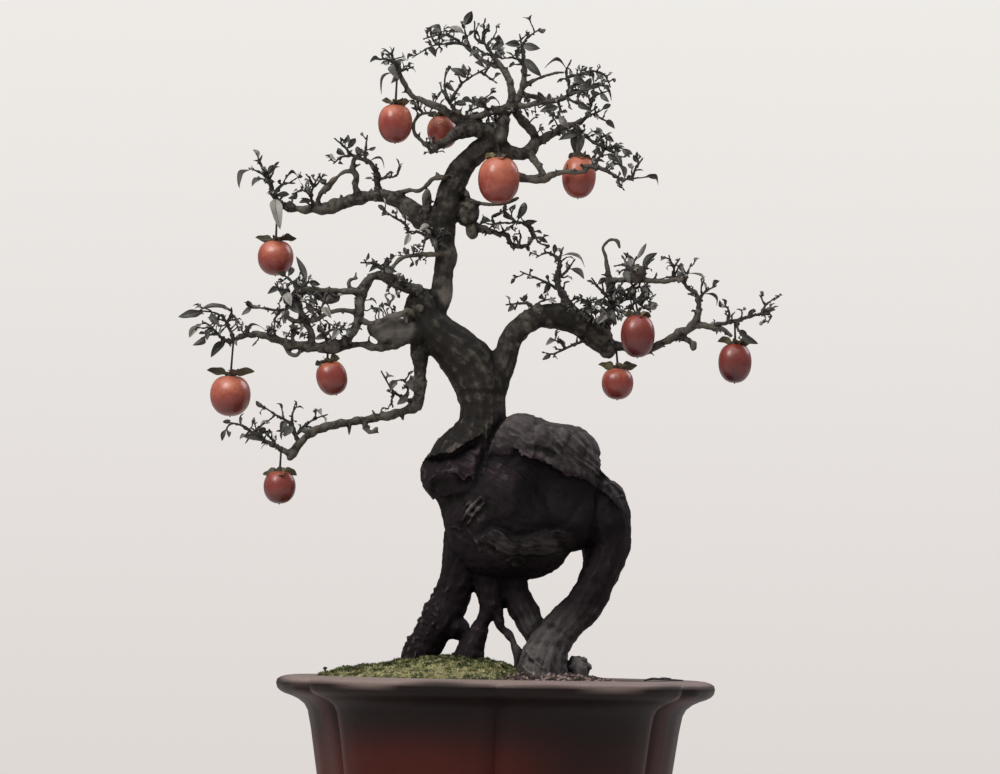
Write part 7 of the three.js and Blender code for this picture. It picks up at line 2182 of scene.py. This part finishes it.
@dataclass
class Studio:
    """Camera, floor and lights."""

    distance: float = 4.5
    eye_height: float = 0.208
    aim: tuple[float, float, float] = (-0.0006, 0.0, 0.366)
    roll: float = 1.01
    picture_width: float = 0.7
    sky: str = "#f4f2ee"
    low_sky: str = "#ddd6d3"
    ambient: float = 0.32
    sun_power: float = 1.5
    sun_spread: float = 70.0
    sun_way: tuple[float, float, float] = (0.35, 0.45, -1.0)
    # Name, place in metres, side, watts and tint of each soft light
    lights: tuple[tuple[str, tuple[float, float, float], float, float, str], ...] = (
        ("key_light", (-1.2, -1.3, 1.9), 0.9, 22.0, "#fff6ee"),
        ("rim_light", (1.5, 0.9, 1.5), 1.0, 12.0, "#f4f2ff"),
    )

    def place_camera(self) -> None:
        """Places the camera at the photograph's viewing angle."""
        data = bpy.data.cameras.new("camera")
        camera = add_object("camera", data)
        eye = Vector((self.aim[0], -self.distance, self.eye_height))
        look = Vector(self.aim) - eye
        data.sensor_width = 36.0
        data.lens = data.sensor_width * look.length / self.picture_width
        data.clip_end = 100.0
        turn = look.to_track_quat("-Z", "Y").to_matrix() @ Matrix.Rotation(math.radians(self.roll), 3, "Z")
        camera.matrix_world = Matrix.Translation(eye) @ turn.to_4x4()
        bpy.context.scene.camera = camera

    def add_light(self, name: str, place: tuple[float, float, float], size: float, power: float, tint: str) -> None:
        """Adds a square soft light that looks at the tree.

        Args:
            name: Name of the light.
            place: Where it stands, in metres.
            size: Side of the square.
            power: Watts.
            tint: Its colour.
        """
        data = bpy.data.lights.new(name, "AREA")
        data.shape = "SQUARE"
        data.size = size
        data.energy = power
        data.color = linear(tint)[:3]
        light = add_object(name, data)
        look = Vector((0, 0, 0.3)) - Vector(place)
        light.matrix_world = Matrix.Translation(place) @ look.to_track_quat("-Z", "Y").to_matrix().to_4x4()

    def build(self, paper: bpy.types.Material) -> None:
        """Sets up the whole studio.

        Args:
            paper: Material of the floor.
        """
        self.place_camera()
        floor = primitive(bpy.ops.mesh.primitive_circle_add, vertices=64, radius=3.0, fill_type="NGON",
                          location=(0, 0, -0.0004))
        floor.name = "studio_floor"
        floor.data.materials.append(paper)
        world = bpy.data.worlds.new("studio_sky")
        world.use_nodes = True
        tree = world.node_tree
        sky = next(node for node in tree.nodes if node.type == "BACKGROUND")
        way = add_node(tree, "ShaderNodeTexCoord").outputs["Generated"]
        height = add_node(tree, "ShaderNodeSeparateXYZ", {"Vector": way})
        fade = add_node(tree, "ShaderNodeMapRange", {"Value": height.outputs["Z"], "From Min": -0.04,
                                                     "From Max": 0.14})
        tint = add_node(tree, "ShaderNodeMix", {0: fade.outputs["Result"], 6: linear(self.low_sky),
                                                7: linear(self.sky)}, data_type="RGBA")
        # The paper behind the tree is bright, but little of its light falls on the tree
        seen = add_node(tree, "ShaderNodeLightPath")
        power = add_node(tree, "ShaderNodeMapRange", {"Value": seen.outputs["Is Camera Ray"], "To Min": self.ambient,
                                                      "To Max": 1.0})
        feed(tree, sky, {"Color": tint.outputs[2], "Strength": power.outputs["Result"]})
        bpy.context.scene.world = world
        bpy.context.scene.view_settings.view_transform = "Standard"
        sun = bpy.data.lights.new("soft_daylight", "SUN")
        sun.energy = self.sun_power
        sun.angle = math.radians(self.sun_spread)
        daylight = add_object("soft_daylight", sun)
        daylight.matrix_world = Vector(self.sun_way).to_track_quat("-Z", "Y").to_matrix().to_4x4()
        for light in self.lights:
            self.add_light(*light)
        deselect()


FRUITS = [
    Fruit(1, (-76.9, -24, 548), (11.7, 14), 0, (-76, -22.5, 585), 3, 0.46, 0.85),
    Fruit(2, (-44.2, 8, 545), (10.6, 12), -6, (-38, -10, 556), 1, 0.55, 0.9),
    Fruit(3, (-4, -27, 509.6), (14.3, 16.9), 0, (-6, -4, 538), -1.2, 0.62, 0.72),
    Fruit(4, (52, -10, 513.8), (11.7, 15.2), 2, (50, 8, 551), -1.2, 0.65, 0.72),
    Fruit(5, (-160.4, 30, 455.7), (12.9, 12.8), 0, (-160, 31, 491), 2.2, 0.5, 1.15),
    Fruit(6, (-189, -5, 356.8), (14.2, 14.7), 0, (-187.5, -5.5, 395), 3.8, 0.54, 1.2),
    Fruit(7, (-118, -17, 369.8), (10.7, 12.3), -16, (-121, -17, 391), 0.5, 0.35, 0.85),
    Fruit(8, (-152.6, -28, 293), (11, 11.8), 0, (-152, -27.8, 318.5), -2.5, 0.18),
    Fruit(9, (95, -9, 403.4), (12.1, 15.4), 0, (93, 7, 429), -0.6, 0.14, 0.78),
    Fruit(10, (82, 22, 370.9), (11.4, 11.5), 0, (80.5, 22, 396), 2.4, 0.42, 1.25),
    Fruit(11, (162.6, -26, 385), (11.7, 14.2), 0, (162, -27, 413.5), 1.5, 0.04, 1.1),
]


def main() -> None:
    """Builds the part from the pot up, then the studio."""
    clay = Stoneware().make()
    plastic = Crumbs("moulded_polypropylene", ((0.0, "#1d1f20"), (1.0, "#34383a")), 20.0, 0.55).make()
    grit_stops = ((0.1, "#1d1716"), (0.55, "#3d3230"), (0.9, "#5e504c"), (1.2, "#96837e"))
    soil = Crumbs("fired_clay_grit", grit_stops, 9.0).make()
    moss_stops = ((0.2, "#1a1e12"), (0.5, "#3a4429"), (0.78, "#707147"), (1.05, "#c6c195"))
    moss = Crumbs("living_moss", moss_stops, 7.0).make()
    weed = Blade("weed_leaf", "#26331b", "#52623a", "#7f8a5a", "#8b946c", 0.55).make()
    bark = OldBark().make()
    twig = YoungBark().make()
    # Its palest tone is painted sheen of the light on the glossy leaves
    leaf = Blade("leathery_leaf", "#272725", "#565652", "#a3a29d", "#6f706a", 0.46).make()
    sepal = Blade("dry_sepal", "#241f17", "#4b4530", "#6d6547", "#6a6145", 0.6).make()
    shapes = Shapes()
    Pot().build(clay, plastic)
    Bed().build(shapes, soil, moss, weed, twig)
    Tree().build(bark)
    sprays = [Spray(f"twigs_{place}", twigs, leaves, 100 + number)
              for number, (place, (twigs, leaves)) in enumerate(SPRAYS.items())]
    for tangle in TANGLES:
        middle = Vector(tangle[0])
        nearest = min(sprays, key=lambda spray: (nearest_on(spray.lines(), middle) - middle).length)
        nearest.tangles.append(tangle)
    limbs = sample_limbs(BRANCHES)
    for spray in sprays:
        spray.build(shapes, limbs, twig, leaf)
    skin = RipeSkin().make()
    for fruit in FRUITS:
        fruit.build_berry(skin)
        fruit.build_calyx(shapes.blade, sepal)
    Studio().build(Backdrop().make())


if __name__ == "__main__":
    main()
